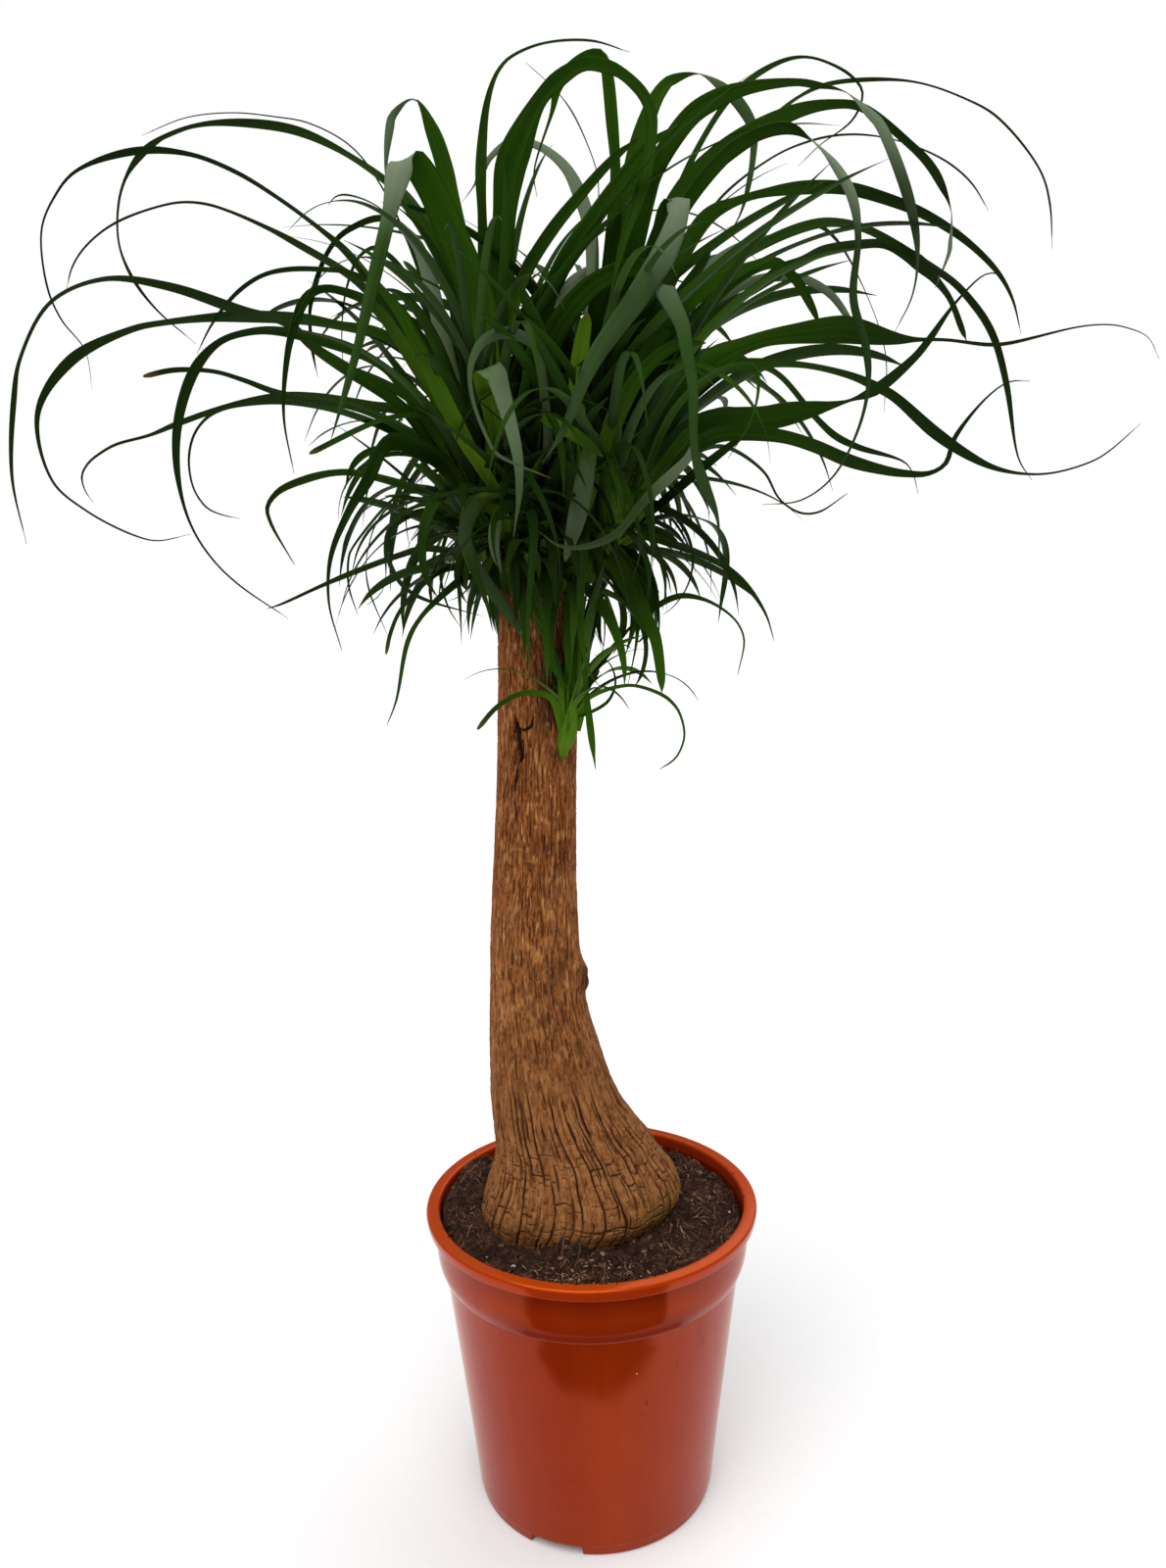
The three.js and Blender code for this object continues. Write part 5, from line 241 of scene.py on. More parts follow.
        [16.2, 8, 756.1, -4.9, -3.36, 4.4], [22.1, 7.5, 762.9, -6.56, -3.17, 2.25], [26.5, 7, 784.2, -7.37, -3.15, 1.43], [33.5, 6, 817.4, -7.39, -2.99, 1.67],
        [42.3, 5, 849.6, -7.15, -3.01, 2.24], [54, 3.7, 880.2, -6.73, -3.29, 2.84], [66.3, 2.6, 903.7, -6.06, -3.66, 3.63], [77.5, 1.7, 917.2, -4.58, -4.22, 4.86],
        [101.3, -0.1, 934.7, -3.27, -4.23, 5.06], [138.8, -2.9, 952, -1.3, -2.3, 3.73], [162.6, -4.6, 955.4, -0.15, -1.5, 2.47], [180.4, -5.9, 952.8, 0.9, -1.48, 1.93],
        [211.8, -8.3, 928.9, 1.23, -1.32, 1.64], [222.5, -9.1, 918.1, 1.91, -1.12, 1.62], [229.7, -9.7, 907.1, 2.03, -1.07, 0.99], [237, -10.5, 889.7, -0.49, -1.68, -0.46],
        [236.7, -11, 869.8, -1.56, 0.42, 0.09], [236.4, -11.1, 865.9, -1.44, 0.24, 0.41], [227.8, -12, 843.9, -0.4, -0.12, 0.17],
    ],
    "leaf_right_05": [
        [16.2, 8, 756.1, -1.27, 1.64, 0.66], [23.7, 10.7, 766.4, -1.4, 1.77, 0.18], [36.4, 18, 819.6, -1.6, 1.82, 0.18], [47.8, 23.4, 853.2, -1.69, 1.7, 0.36],
        [60.7, 28.9, 883, -1.66, 1.72, 0.47], [75.2, 34.5, 908.7, -1.61, 1.7, 0.64], [91.1, 40.2, 930, -1.56, 1.68, 0.83], [109.9, 46.5, 949.5, -1.46, 1.62, 1.05],
        [134.4, 54.2, 968.7, -1.27, 1.34, 1.14], [150.7, 59.4, 981.8, -0.93, 0.59, 1.06], [169.5, 65, 991.6, -0.65, 0.28, 1.57], [201.3, 74.2, 998.2, -0.09, -0.38, 1.59],
        [237.7, 84.4, 999.7, 0.1, -0.12, 1.07], [273.4, 94.2, 992.7, 0.34, -0.25, 0.95], [300.4, 101.6, 982.1, 0.63, -0.42, 0.93], [336.1, 111.9, 949.3, 0.9, -0.31, 0.5],
        [345.2, 115.2, 927.7, 0.99, -0.4, 0.22], [349.4, 118, 897.9, 0.42, -0.16, 0.01],
    ],
    "leaf_right_06": [
        [16.2, 8, 756.1, 0.63, -1.32, 0.91], [22.7, 11.3, 756.6, 0.39, -1.32, 1.07], [27.1, 13.6, 759.9, -0.59, -1.44, 0.8], [42.7, 25.8, 806.9, -1.11, -1.41, 0.75],
        [50.9, 31.7, 828.8, -1.08, -1.42, 0.84], [66.8, 42.6, 866.1, -0.94, -1.5, 0.9], [81.5, 51.7, 893.4, -0.69, -1.57, 1.01], [101.5, 63.1, 922.4, -0.31, -1.35, 0.97],
        [139, 81.7, 952.6, -0.22, -0.72, 0.92], [162.8, 92.7, 965.1, 0.16, -1.12, 0.79], [185, 102.7, 972.5, 0.1, -0.74, 0.92], [208.3, 112.8, 976.1, 0.24, -0.68, 0.81],
        [235.9, 124.5, 975.6, 0.4, -0.91, 0.26], [266.6, 137.3, 969.5, 0.46, -0.69, 0.64], [284.6, 144.8, 962.5, 0.59, -0.46, 0.8], [300.3, 151.5, 952.2, 0.7, -0.42, 0.57],
        [314.6, 158, 935.8, 0.32, -0.29, 0.14],
    ],
    "leaf_right_07": [
        [14.1, 8, 745.5, 0.09, -3.89, 4.14], [23.5, 9.2, 748, -4.12, -3.81, 1.99], [32.9, 11.4, 788.4, -4.99, -3.53, 1.58], [43, 13.4, 818.5, -4.83, -3.41, 2.14],
        [58.4, 16.1, 853.1, -4.43, -3.64, 2.51], [76.8, 19, 886.1, -3.91, -3.92, 2.85], [84.6, 20.2, 896.1, -2.89, -3.98, 3.42], [92.3, 21.2, 901.9, -1.45, -3.53, 3.4],
        [104.3, 22.7, 906.9, -0.51, -2.34, 2.33], [119.9, 24.7, 912, -0.3, -1.8, 2.12], [149.4, 28.4, 916.7, -0.16, -1.58, 3.95], [179.5, 32.1, 917.2, 0.7, -3.46, 2.81],
        [205.7, 35.3, 911.4, 1.1, -1.99, 3.05], [234.4, 38.8, 901.5, 1.33, -1.75, 2.43], [263.9, 42.4, 884.9, 1.24, -1.14, 1.56], [286.8, 45.3, 865, 1.23, -0.76, 1.04],
        [297.5, 46.8, 848.4, 1.09, -0.47, 0.47], [304.5, 48, 826.6, 0.41, -0.16, 0.1],
    ],
    "leaf_right_08": [
        [16.2, 8, 756.1, -3.71, -1.79, 1.3], [21.1, 5.7, 767.5, -3.98, -1.81, 0.98], [35.9, -2.6, 816.7, -4.26, -1.81, 1.02], [45.3, -7.8, 844.3, -4.15, -1.75, 1.26],
        [57.7, -14.1, 872.9, -3.97, -1.8, 1.52], [71.1, -20.4, 896.8, -3.49, -2.04, 2.08], [99.9, -32.6, 923.8, -2.53, -2.4, 2.76], [128.3, -43.8, 929.1, 0.75, -2.67, 2.87],
        [143.2, -49.8, 918.8, -0.36, -1.91, -0.62], [154.7, -55.1, 903.6, -1.47, 1.42, -1.56], [163.5, -59.6, 885.9, -2.33, 1.96, -1.08], [167, -62.8, 863.5, -1.84, 0.93, -0.1],
        [164, -67.3, 826.9, -2.23, 0.89, -0.25], [170.8, -72.1, 799, -2, 1.39, -0.54], [172.1, -74.9, 776.2, -1.41, 0.72, 0.05], [165.9, -79, 751.1, -1.08, 0.45, 0.36],
        [149.9, -86.2, 723.5, -0.72, 0.27, 0.56], [130.1, -93.5, 710, -0.26, 0, 0.72], [106, -102, 707.3, -0.02, -0.02, 0.45],
    ],
    "leaf_right_09": [
        [31.1, -16, 719.6, -2.46, 3.86, -0.67], [27.1, -16.2, 737.5, -2.73, 3.75, 0.37], [36.5, -16.8, 773.1, -3.1, 3.98, 1.13], [51.5, -17.4, 806.2, -3.13, 3.65, 1.79],
        [74.2, -18.3, 841.4, -2.72, 3.65, 2.26], [84.7, -18.7, 851.8, -1.97, 3.48, 3.11], [121.5, -19.9, 872, -1.26, 1.1, 2.99], [144.3, -20.7, 879.7, -0.71, 1.84, 3.25],
        [159.4, -21.2, 881.4, 0.06, 2.2, 3.23], [180.3, -21.9, 877.4, 1.26, 1.47, 2.71], [220.9, -23.2, 855.3, 0.5, -3.34, 1.07], [236.2, -23.7, 844.8, 0.59, -3.13, 0.84],
        [246.9, -24.1, 833.8, 1.05, -2.23, 0.95], [256.4, -24.4, 821.6, 1.55, -1.36, 1.06], [263.6, -24.7, 808.1, 1.43, -1.74, 0.6], [271.3, -25.1, 781.8, 1.69, -0.86, 0.43],
        [280.7, -25.7, 736.7, 0.74, -0.33, 0.26], [289.4, -26, 723.7, 0.32, -0.14, 0.28],
    ],
    "leaf_right_10": [
        [31.1, -16, 719.6, -5.16, -3.36, -0.47], [30.1, -14.8, 731.7, -4.92, -3.59, 1.87], [46.4, -9.6, 769.3, -5.04, -3.87, 3.21], [73.2, -1.9, 812.4, -4.32, -4.02, 3.88],
        [88.2, 2.2, 833, -2.2, -2.78, 2.63], [98.3, 4.8, 841, -0.83, -2.21, 2.24], [113.2, 8.2, 848.2, -0.78, -2.03, 2.36], [132, 12.8, 861.3, -1.48, -2.95, 3.64],
        [147.3, 16.3, 868.1, -0.7, -2.59, 2.84], [162.4, 19.8, 875.4, -0.37, -2.89, 3.34], [199.5, 28, 881.5, 0.27, -1.95, 2.49], [209.7, 30.2, 880.3, 1.12, -1.65, 2.63],
        [222, 33, 874.8, 2.12, -0.95, 3.48], [230.6, 34.9, 869.4, 2.99, -0.57, 3.86], [240.8, 37.2, 860.7, 2.16, 0.64, 2.48], [252.3, 40, 848.7, 1.78, 0.66, 1.41],
        [262.6, 42.8, 828.4, 1.8, -0.05, 0.88], [267.2, 44, 819.6, 0.39, -0.1, 0.19],
    ],
    "leaf_right_11": [
        [31.1, -16, 719.6, -8.14, -3.63, 2.88], [47.2, -20.4, 756, -8.75, -3.87, 3.86], [57.8, -23.1, 774.1, -8.2, -3.81, 4.83], [67, -25.3, 785.7, -6.89, -4.01, 6.36],
        [88, -29.9, 801.8, -4.83, -3.7, 6.75], [101.7, -32.8, 807.1, -2.12, -2.46, 5.02], [115.8, -35.8, 811, -1.3, -1.58, 4.57], [130.3, -38.8, 812.9, -0.78, -1.9, 5.34],
        [162.2, -45.6, 814.1, -0.71, -4.78, 7.52], [173.7, -48.1, 811.9, 0.68, -4.32, 6.54], [188.8, -51.4, 807.8, 0.6, -1.74, 4.25], [196.2, -53, 806.3, 0.28, -0.83, 2.97],
        [203.1, -54.5, 805.6, 0.08, -0.45, 1.77], [221.6, -58.6, 804.4, 0, -0.65, 1.16], [246.4, -64.1, 800.2, -0.03, -0.6, 1.32], [257, -66.5, 800.4, -0.24, -0.46, 1.31],
        [296.4, -75.8, 807.5, -0.18, -0.38, 0.72], [312.1, -79.5, 807.4, -0.01, -0.34, 0.6], [322.5, -81.9, 804.5, 0.12, -0.29, 0.47], [332, -84.2, 799.2, 0.18, -0.23, 0.23],
        [338.3, -86, 786.9, 0.2, -0.15, 0.1],
    ],
    "leaf_right_12": [
        [28.3, -15.6, 711.7, -2.8, -3.14, 5.96], [36.6, -16.8, 715.3, -5.51, -3.03, 4.26], [56.5, -20.5, 746.4, -6.14, -2.92, 4.21], [65.3, -22, 755, -4.88, -3.05, 5.51],
        [75.6, -23.7, 761.6, -3.47, -3.27, 6.35], [87.3, -25.5, 765, -1.14, -3.64, 6.94], [118.1, -30.3, 764.8, -0.84, -3.78, 6.84], [130.1, -32.2, 766.4, -1.55, -3.56, 6.62],
        [147.6, -35, 768.9, -1.06, -2.19, 4.33], [159.8, -36.9, 770.9, -0.55, -0.94, 2.01], [170.6, -38.6, 773.4, -0.44, -0.53, 1.15], [184.8, -41, 778.9, -1.9, -1.27, 2.84],
        [206.9, -45, 796.6, -1.7, -0.2, 1.77], [214.5, -46.5, 805.7, -1.75, -0.08, 1.38], [230, -49.7, 827.6, -0.94, -0.29, 0.75], [245.8, -52.7, 842.3, -0.39, -0.19, 0.61],
        [253.4, -54, 842.4, 0.21, -0.29, 0.63], [257.4, -54.7, 838.4, 0.4, -0.23, 0.3], [261.3, -55.6, 830.5, 0.22, -0.1, 0.12],
    ],
    "leaf_right_13": [
        [25.1, -15.1, 702.5, -2.46, -3.27, 3.8], [33.4, -18.4, 705.6, -4.04, -3.26, 2.58], [48.8, -25.9, 728.2, -4.61, -3.29, 2.28], [58.8, -30.5, 739.2, -4.13, -3.18, 3.05],
        [70.7, -35.8, 747.7, -3.5, -3.18, 3.68], [83.9, -41.5, 753.6, -2.66, -3.31, 4.16], [95.3, -46.4, 754.8, -1.16, -3.52, 4.53], [123.8, -58.9, 750.3, 0.01, -2.17, 3.75],
        [142.4, -67.4, 743.1, 1.09, -1.06, 3.58], [160.1, -75.6, 734.2, 0.59, -2.06, 3.46], [178, -84.1, 727.5, 0.58, -0.7, 2.8], [190.9, -90.3, 724.4, 0.05, -0.57, 2.15],
        [203.6, -96.6, 723.8, -0.61, -0.7, 1.46], [211.6, -100.9, 728.6, -1.49, -0.59, 0.66], [215.7, -104.6, 743.2, -1.52, -0.46, 0.64], [231.2, -114.7, 764.6, -0.65, -0.06, 0.58],
        [240.5, -120.1, 770.7, -0.22, -0.13, 0.62], [249.6, -125.1, 770, 0.01, -0.09, 0.43],
    ],
    "leaf_right_14": [
        [31.1, -16, 719.6, -2.19, 3.16, 0.52], [35.1, -15, 728.2, -2.25, 3.24, 0.91], [51.3, -11.3, 751.9, -2.53, 3.18, 1.35], [76.4, -5.8, 781.1, -2.37, 3.12, 1.73],
        [94, -2.3, 795.3, -1.93, 3.09, 2.24], [103, -0.5, 799.2, -1.4, 2.95, 2.67], [112.8, 1.3, 801, -0.64, 2.55, 2.91], [122.6, 3.1, 800.2, 0.38, 1.79, 2.62],
        [134.1, 5.3, 794, 1.25, 0.9, 1.81], [158.5, 10.3, 767.6, 1.66, 1.58, 1.85], [171.4, 12.8, 757, 1.22, 0.64, 2.28], [187.1, 15.7, 750, 0.63, 0.65, 2.14],
        [220.6, 21.7, 739.9, 0.48, 0.33, 0.88], [226.7, 22.9, 732.2, 0.6, 0.2, 0.28], [230.7, 24, 719.4, 0.43, 0, 0.13],
    ],
    "leaf_right_15": [
        [30.2, -15.9, 717, -2.38, 4.12, 1.89], [36, -15.7, 724.4, -2.72, 4.28, 1.53], [52.9, -15, 757.7, -3.13, 4.37, 1.8], [67.5, -14.5, 777.6, -2.99, 4.06, 2.55],
        [83.8, -14, 791.9, -2.16, 3.85, 3.5], [101.6, -13.5, 797.8, -0.65, 3.53, 4.22], [142.9, -12.3, 798.8, 0.15, 1.1, 2.33], [174.1, -11.4, 792.1, 0.83, 0.84, 2.46],
        [188.9, -11, 785.9, 1.48, 2, 3.18], [203.4, -10.6, 778.6, 1.79, 1.25, 3.08], [230.8, -9.8, 756.1, 2.33, -0.96, 2.94], [252.7, -9.1, 741.7, 1.47, -0.42, 2.53],
        [270.5, -8.6, 733.2, 0.58, 0.52, 1.77], [289.9, -8.1, 729, 0.13, 0.76, 1.16], [309.4, -7.6, 729.2, -0.16, 0.66, 0.93], [334.1, -6.8, 735.8, -0.33, 0.33, 0.82],
        [345.1, -6.5, 741.8, -0.53, 0.23, 0.64], [366.2, -5.9, 759.9, -0.15, 0.38, 0.19],
    ],
    "leaf_right_16": [
        [28.3, -15.6, 711.7, -2.88, -2.15, 0.52], [36.3, -24.9, 720.2, -2.69, -1.85, 0.07], [51, -47.5, 754.6, -2.78, -1.63, 0.15], [61.2, -62, 770, -2.8, -1.86, 0.3],
        [78.9, -85.4, 783.2, -2.71, -1.83, 0.65], [92.9, -103.8, 784.8, -1.78, -1.5, 1.51], [99.2, -112.4, 781.6, 0, -1.48, 1.7], [101, -115.9, 776.5, 1.09, -1.31, 0.74],
        [100.9, -118.7, 768.1, 1.12, -0.81, 0.15], [95.8, -127.1, 751.7, 0.82, -0.49, -0.08], [80.8, -145.6, 729.6, 0.29, -0.33, 0.09],
    ],
    "leaf_front_01": [
        [15.9, 8, 754.4, -2.57, 1.74, -5.12], [9.7, 1.6, 755.3, -3.47, 1.51, -3.84], [6.7, -2.1, 758.8, -4.59, 0.92, -0.24], [6.9, -7.5, 776.7, -3.83, 0.3, 0.21],
        [8.3, -16.7, 805.9, -4.27, 0.21, 0.45], [11.5, -24.3, 826.8, -4.28, 0.49, 1.06], [13, -27, 836.2, -4.36, 0.55, 1.67], [16.3, -30.6, 843.6, -4.02, 0.42, 3.38],
        [22, -35.6, 848.9, -2.43, 0.01, 5.52], [30, -42, 850.9, -0.05, -0.24, 6.44], [38.5, -49.3, 849.7, 2.24, -0.28, 6.05], [45.4, -56.5, 845.3, 4.37, -0.12, 4.69],
        [49.4, -63.5, 839.8, -4.64, -0.68, 4.37], [52.8, -70.9, 832.8, -5.47, -0.2, -2.45], [54.3, -74.4, 828.6, -5.42, -0.24, -1.94], [60.8, -92.3, 809, -4.24, -0.1, -1.08],
        [62.1, -100.5, 796.8, -3.88, -0.09, -0.49], [63.9, -110.7, 780.1, -3.28, 0.04, -0.41], [64.7, -114.5, 773.2, -3.07, 0.07, -0.19], [64.6, -118.8, 763.2, -2.88, 0.01, -0.05],
        [64.4, -129.2, 736.7, -2.33, -0.07, -0.17], [68.1, -139.8, 717.7, -3.39, -0.13, -0.79], [74.4, -154, 697.1, -1.26, -0.17, -0.09], [74.2, -163.4, 673.3, -0.43, 0.12, -0.04],
    ],
    "leaf_front_02": [
        [-52.9, -7.4, 743.5, -4.54, -0.57, 0.58], [-51.2, -13.2, 752.2, -4.91, -0.51, -0.07], [-51.9, -19.4, 760.8, -5.27, -0.38, -1.17], [-57, -44.2, 787.1, -6.16, -0.57, -1.6],
        [-57.2, -47.5, 791.5, -6.44, -1.14, 1.37], [-53.2, -56.3, 793.1, -5.89, 0.1, -3.16], [-49.4, -64.8, 789.9, -4.33, 0.85, -4.44], [-48.2, -67.2, 788, -5.89, 0.51, -2.77],
        [-46.2, -72.8, 781.6, -5.51, 0.28, -1.87], [-42.6, -83.1, 769.1, -4.64, 0.12, -1.27], [-34.5, -110, 735.7, -3, -0.02, -0.5], [-33.6, -122.1, 715.3, -1.97, -0.07, 0.14],
        [-36.5, -140, 690, -0.45, 0.03, 0.03],
    ],
    "leaf_front_03": [
        [-52.8, -7.3, 741.6, 1.17, 1.47, -3.4], [-23, -34.7, 740.3, 1.41, 1.36, -3.13], [-19.2, -38.6, 742.5, 3.14, 0.87, -0.15], [-19.6, -49.5, 776.4, 2.36, 0.23, 0.22],
        [-22.6, -59.6, 800.6, 2.45, 0.66, 1.03], [-25.2, -63.3, 804.9, 1.85, 0.51, 2.41], [-29.4, -68.2, 807.6, 0.71, 0.35, 3.3], [-39.7, -79.8, 809.1, -0.83, 0.3, 3.43],
        [-50, -91.6, 804.5, -2.04, 0.3, 2.44], [-55.8, -98.8, 798, -2.47, 0.35, 1.01], [-60.2, -106.5, 784.2, -1.73, 0.23, 0.11], [-58.8, -112.9, 767.3, -1.3, 0.19, -0.44],
        [-49.5, -127.3, 742.9, -1.04, 0.32, -0.67], [-44.9, -133.2, 735.6, -0.47, 0.39, -1.15], [-14.7, -167.3, 719.3, -0.02, 0.18, -0.41],
    ],
    "leaf_front_04": [
        [13.8, 8, 743.7, -7.47, -1.4, 4.41], [20.6, 3.1, 753.8, -7.42, -1.09, 2.82], [24.6, -1, 768.5, -7.26, -0.84, 1.73], [37, -14.4, 814.1, -8.16, -0.9, 1.96],
        [44.5, -23.2, 841.1, -7.55, -0.84, 1.87], [51.4, -32.2, 864.8, -6.96, -0.79, 1.75], [54.2, -36.2, 874.3, -6.7, -0.81, 1.82], [57.6, -41.3, 884.4, -6.6, -1.18, 2.86],
        [61.8, -47.5, 890.1, -7.03, 1.04, -1.65], [62.1, -52.8, 881.1, -6.54, -0.29, 0.29], [62.2, -54, 878.4, -5.95, -0.78, 2.19], [53.2, -65.2, 854.8, -6.52, -1.33, 3.72],
        [44, -73.1, 840.1, -5.67, -1.49, 4.27], [35.1, -79.1, 826.2, -5.2, -1.47, 4.27], [21.7, -86, 807.8, -4.41, -1.29, 3.77], [12.5, -90.4, 795.3, -4.17, -1.09, 3.06],
        [4.3, -95.2, 780, -3.45, -0.78, 2.02], [1.6, -97.2, 773.5, -3.2, -0.66, 1.61], [-8, -104.8, 750.9, -1.84, -0.4, 1.13], [-20.4, -114.6, 731.6, -0.35, -0.09, 0.27],
    ],
    "leaf_front_05": [
        [30.7, -15.9, 718.3, 1.34, 0.64, 2.94], [36.3, -22.2, 717.2, 0.13, 0.72, 3.2], [40.5, -27.2, 720.3, -1.69, 0.99, 2.58], [63.4, -58.7, 748.7, -1.83, 0.84, 2.63],
        [67.1, -63.9, 752.3, -1.07, 0.76, 2.86], [69.3, -66.7, 752.9, 1.49, 0.39, 2.19], [70.5, -72.3, 746.9, -0.53, -0.22, 2.61], [67.1, -78.3, 739.4, -1.97, -0.66, 1.59],
        [63.8, -82.3, 734.7, -1.51, -0.75, 2.23], [49.8, -98.5, 721.5, -1.48, -1.05, 2.99], [36.1, -114.8, 709, -1.38, -0.79, 2.26], [26.8, -126.8, 697.5, -1.22, -0.68, 1.95],
        [18.1, -137.8, 689.9, -0.61, -0.65, 2.13], [7.8, -150.4, 685.2, 0.13, -0.54, 1.93], [-5.6, -167.3, 683.3, 0.52, -0.38, 1.29], [-12.9, -177.1, 685.3, 0.72, -0.25, 0.68],
        [-20.6, -188.5, 691.4, 0.31, -0.12, 0.17],
    ],
    "leaf_front_06": [
        [-42.2, -4.5, 682.3, -4.43, 0.94, -1.73], [-46.7, -12.1, 690.3, -4.49, 0.81, -0.74], [-49.1, -20.4, 705.9, -5.19, 0.91, -0.9], [-53.4, -28.1, 713.5, -4.94, 1.24, -3.54],
        [-61, -39, 715.9, -1.83, 1.56, -5.84], [-65.9, -46.1, 713.3, 2.52, 1.93, -4.8], [-69.8, -53.2, 705, 3.79, 1.53, -1.73], [-70.3, -58.6, 692.6, 3.1, 0.85, 0.01],
        [-66.3, -67.3, 677.5, 2.57, 0.62, 0.49], [-57, -84.2, 654.5, 1.48, 0.35, 0.26], [-52.7, -94.5, 637, 0.43, 0.12, 0.03],
    ],
    "leaf_front_07": [
        [-38.9, -3.7, 673.8, 3.63, -1.25, -4.36], [-51.4, -21.2, 668.1, 4.08, -1.04, -3.43], [-54.9, -27.6, 661.8, 4.29, -0.77, 0.85], [-48.7, -38.1, 649.1, 2.49, -0.44, 2.07],
        [-32.1, -63.7, 626.8, 0.26, -0.12, 0.34],
    ],
    "leaf_low_01": [
        [14.2, -14.1, 684.7, 5.1, 1.4, 5.63], [19.9, -20.6, 681.2, 6.17, 1.45, 5.17], [23.9, -25.8, 676.3, 7.51, 1.35, 3.42], [33.3, -39.5, 659.2, 7.01, 0.71, 2.73],
        [39.7, -51, 641.2, 5.34, 0.63, 1.89], [45.6, -60.1, 630.4, 3.88, 0.52, 0.7], [49, -72, 602.7, 2.3, 0.06, 0.18], [49, -74.1, 596.4, 0.4, 0, 0],
    ],
    "leaf_low_02": [
        [10, -13.6, 679.2, 1.53, 2.04, 0.72], [16.7, -16.3, 672, 1.71, 2.09, 0.65], [33.2, -23.3, 647.7, 1.92, 1.99, 0.69], [37.5, -25, 643.9, 1.13, 2.01, 1.54],
        [43.3, -27.1, 644.9, -0.1, 1.84, 1.86], [57.3, -32.3, 652.7, -0.63, 0.71, 1.96], [66.4, -35.6, 654.8, 0.13, 0.34, 1.93], [81.5, -41.2, 651, 0.72, 0.37, 1.22],
        [94.5, -46.3, 642.4, 0.81, 0.23, 0.81], [100.3, -48.8, 635.1, 0.95, 0.21, 0.45], [102.9, -50.4, 626.1, 1.02, 0.13, 0.05], [98.4, -53.6, 604.5, 0.43, -0.08, -0.1],
    ],
    "leaf_low_03": [
        [16.4, -14.3, 688.2, -0.51, -3.23, 2.24], [22.9, -15.4, 688.5, -1.11, -3.27, 2.19], [34, -17.3, 694.2, -1.4, -3.25, 2.37], [43.4, -18.9, 694.7, 0.02, -3.3, 2.74],
        [61.7, -22.1, 687.9, 0.52, -3.31, 2.56], [91.1, -27.3, 674.4, 0.75, -2.03, 1.86], [103.6, -29.6, 664.2, 1.26, -1.01, 1.41], [113.7, -31.6, 651.6, 1.24, -0.38, 0.86],
        [119.9, -33, 640.3, 0.97, -0.33, 0.44], [124.4, -34.3, 624.7, 0.42, -0.1, 0.1],
    ],
    "leaf_side_01": [
        [-11.3, -28.2, 563.8, -2.32, 2.64, -0.16], [-17.1, -32.3, 587, -2.7, 2.55, -0.66], [-21.4, -34.2, 591.8, -2.19, 2.53, -1.69], [-27.4, -36.6, 594.2, -1.46, 2.46, -2.22],
        [-37.1, -40.4, 594.8, -0.66, 2.24, -2.27], [-46.2, -44, 592.3, 0.13, 1.93, -1.94], [-56.8, -48.5, 585.3, 0.84, 1.16, -1.55], [-67.2, -53.2, 573.5, 1.32, 0.4, -1.16],
    ],
    "leaf_side_02": [
        [-10.9, -28.6, 566.4, -1.34, -1.75, 0.21], [-7, -29.8, 579.2, -1.51, -1.73, 0.46], [-3.6, -30.5, 584.9, -1.38, -1.59, 0.96], [10.3, -33.3, 593.5, -0.8, -1, 1.38],
        [29.1, -36.9, 598.1, -0.11, -0.41, 1.4], [38.7, -38.7, 596.9, 0.3, -0.21, 1.36], [50.7, -41.1, 592.3, 0.69, -0.07, 1.33], [55.9, -42.2, 588.8, 0.94, -0.15, 1.11],
        [61.9, -43.5, 581.3, 1.08, -0.31, 0.61], [65.4, -44.9, 565.8, 1.09, -0.2, -0.05], [61.3, -46, 553.8, 0.87, -0.03, -0.57], [57, -47, 549.2, 0.62, -0.07, -0.79],
        [48.6, -48.6, 544.4, 0.2, -0.05, -0.4],
    ],
}
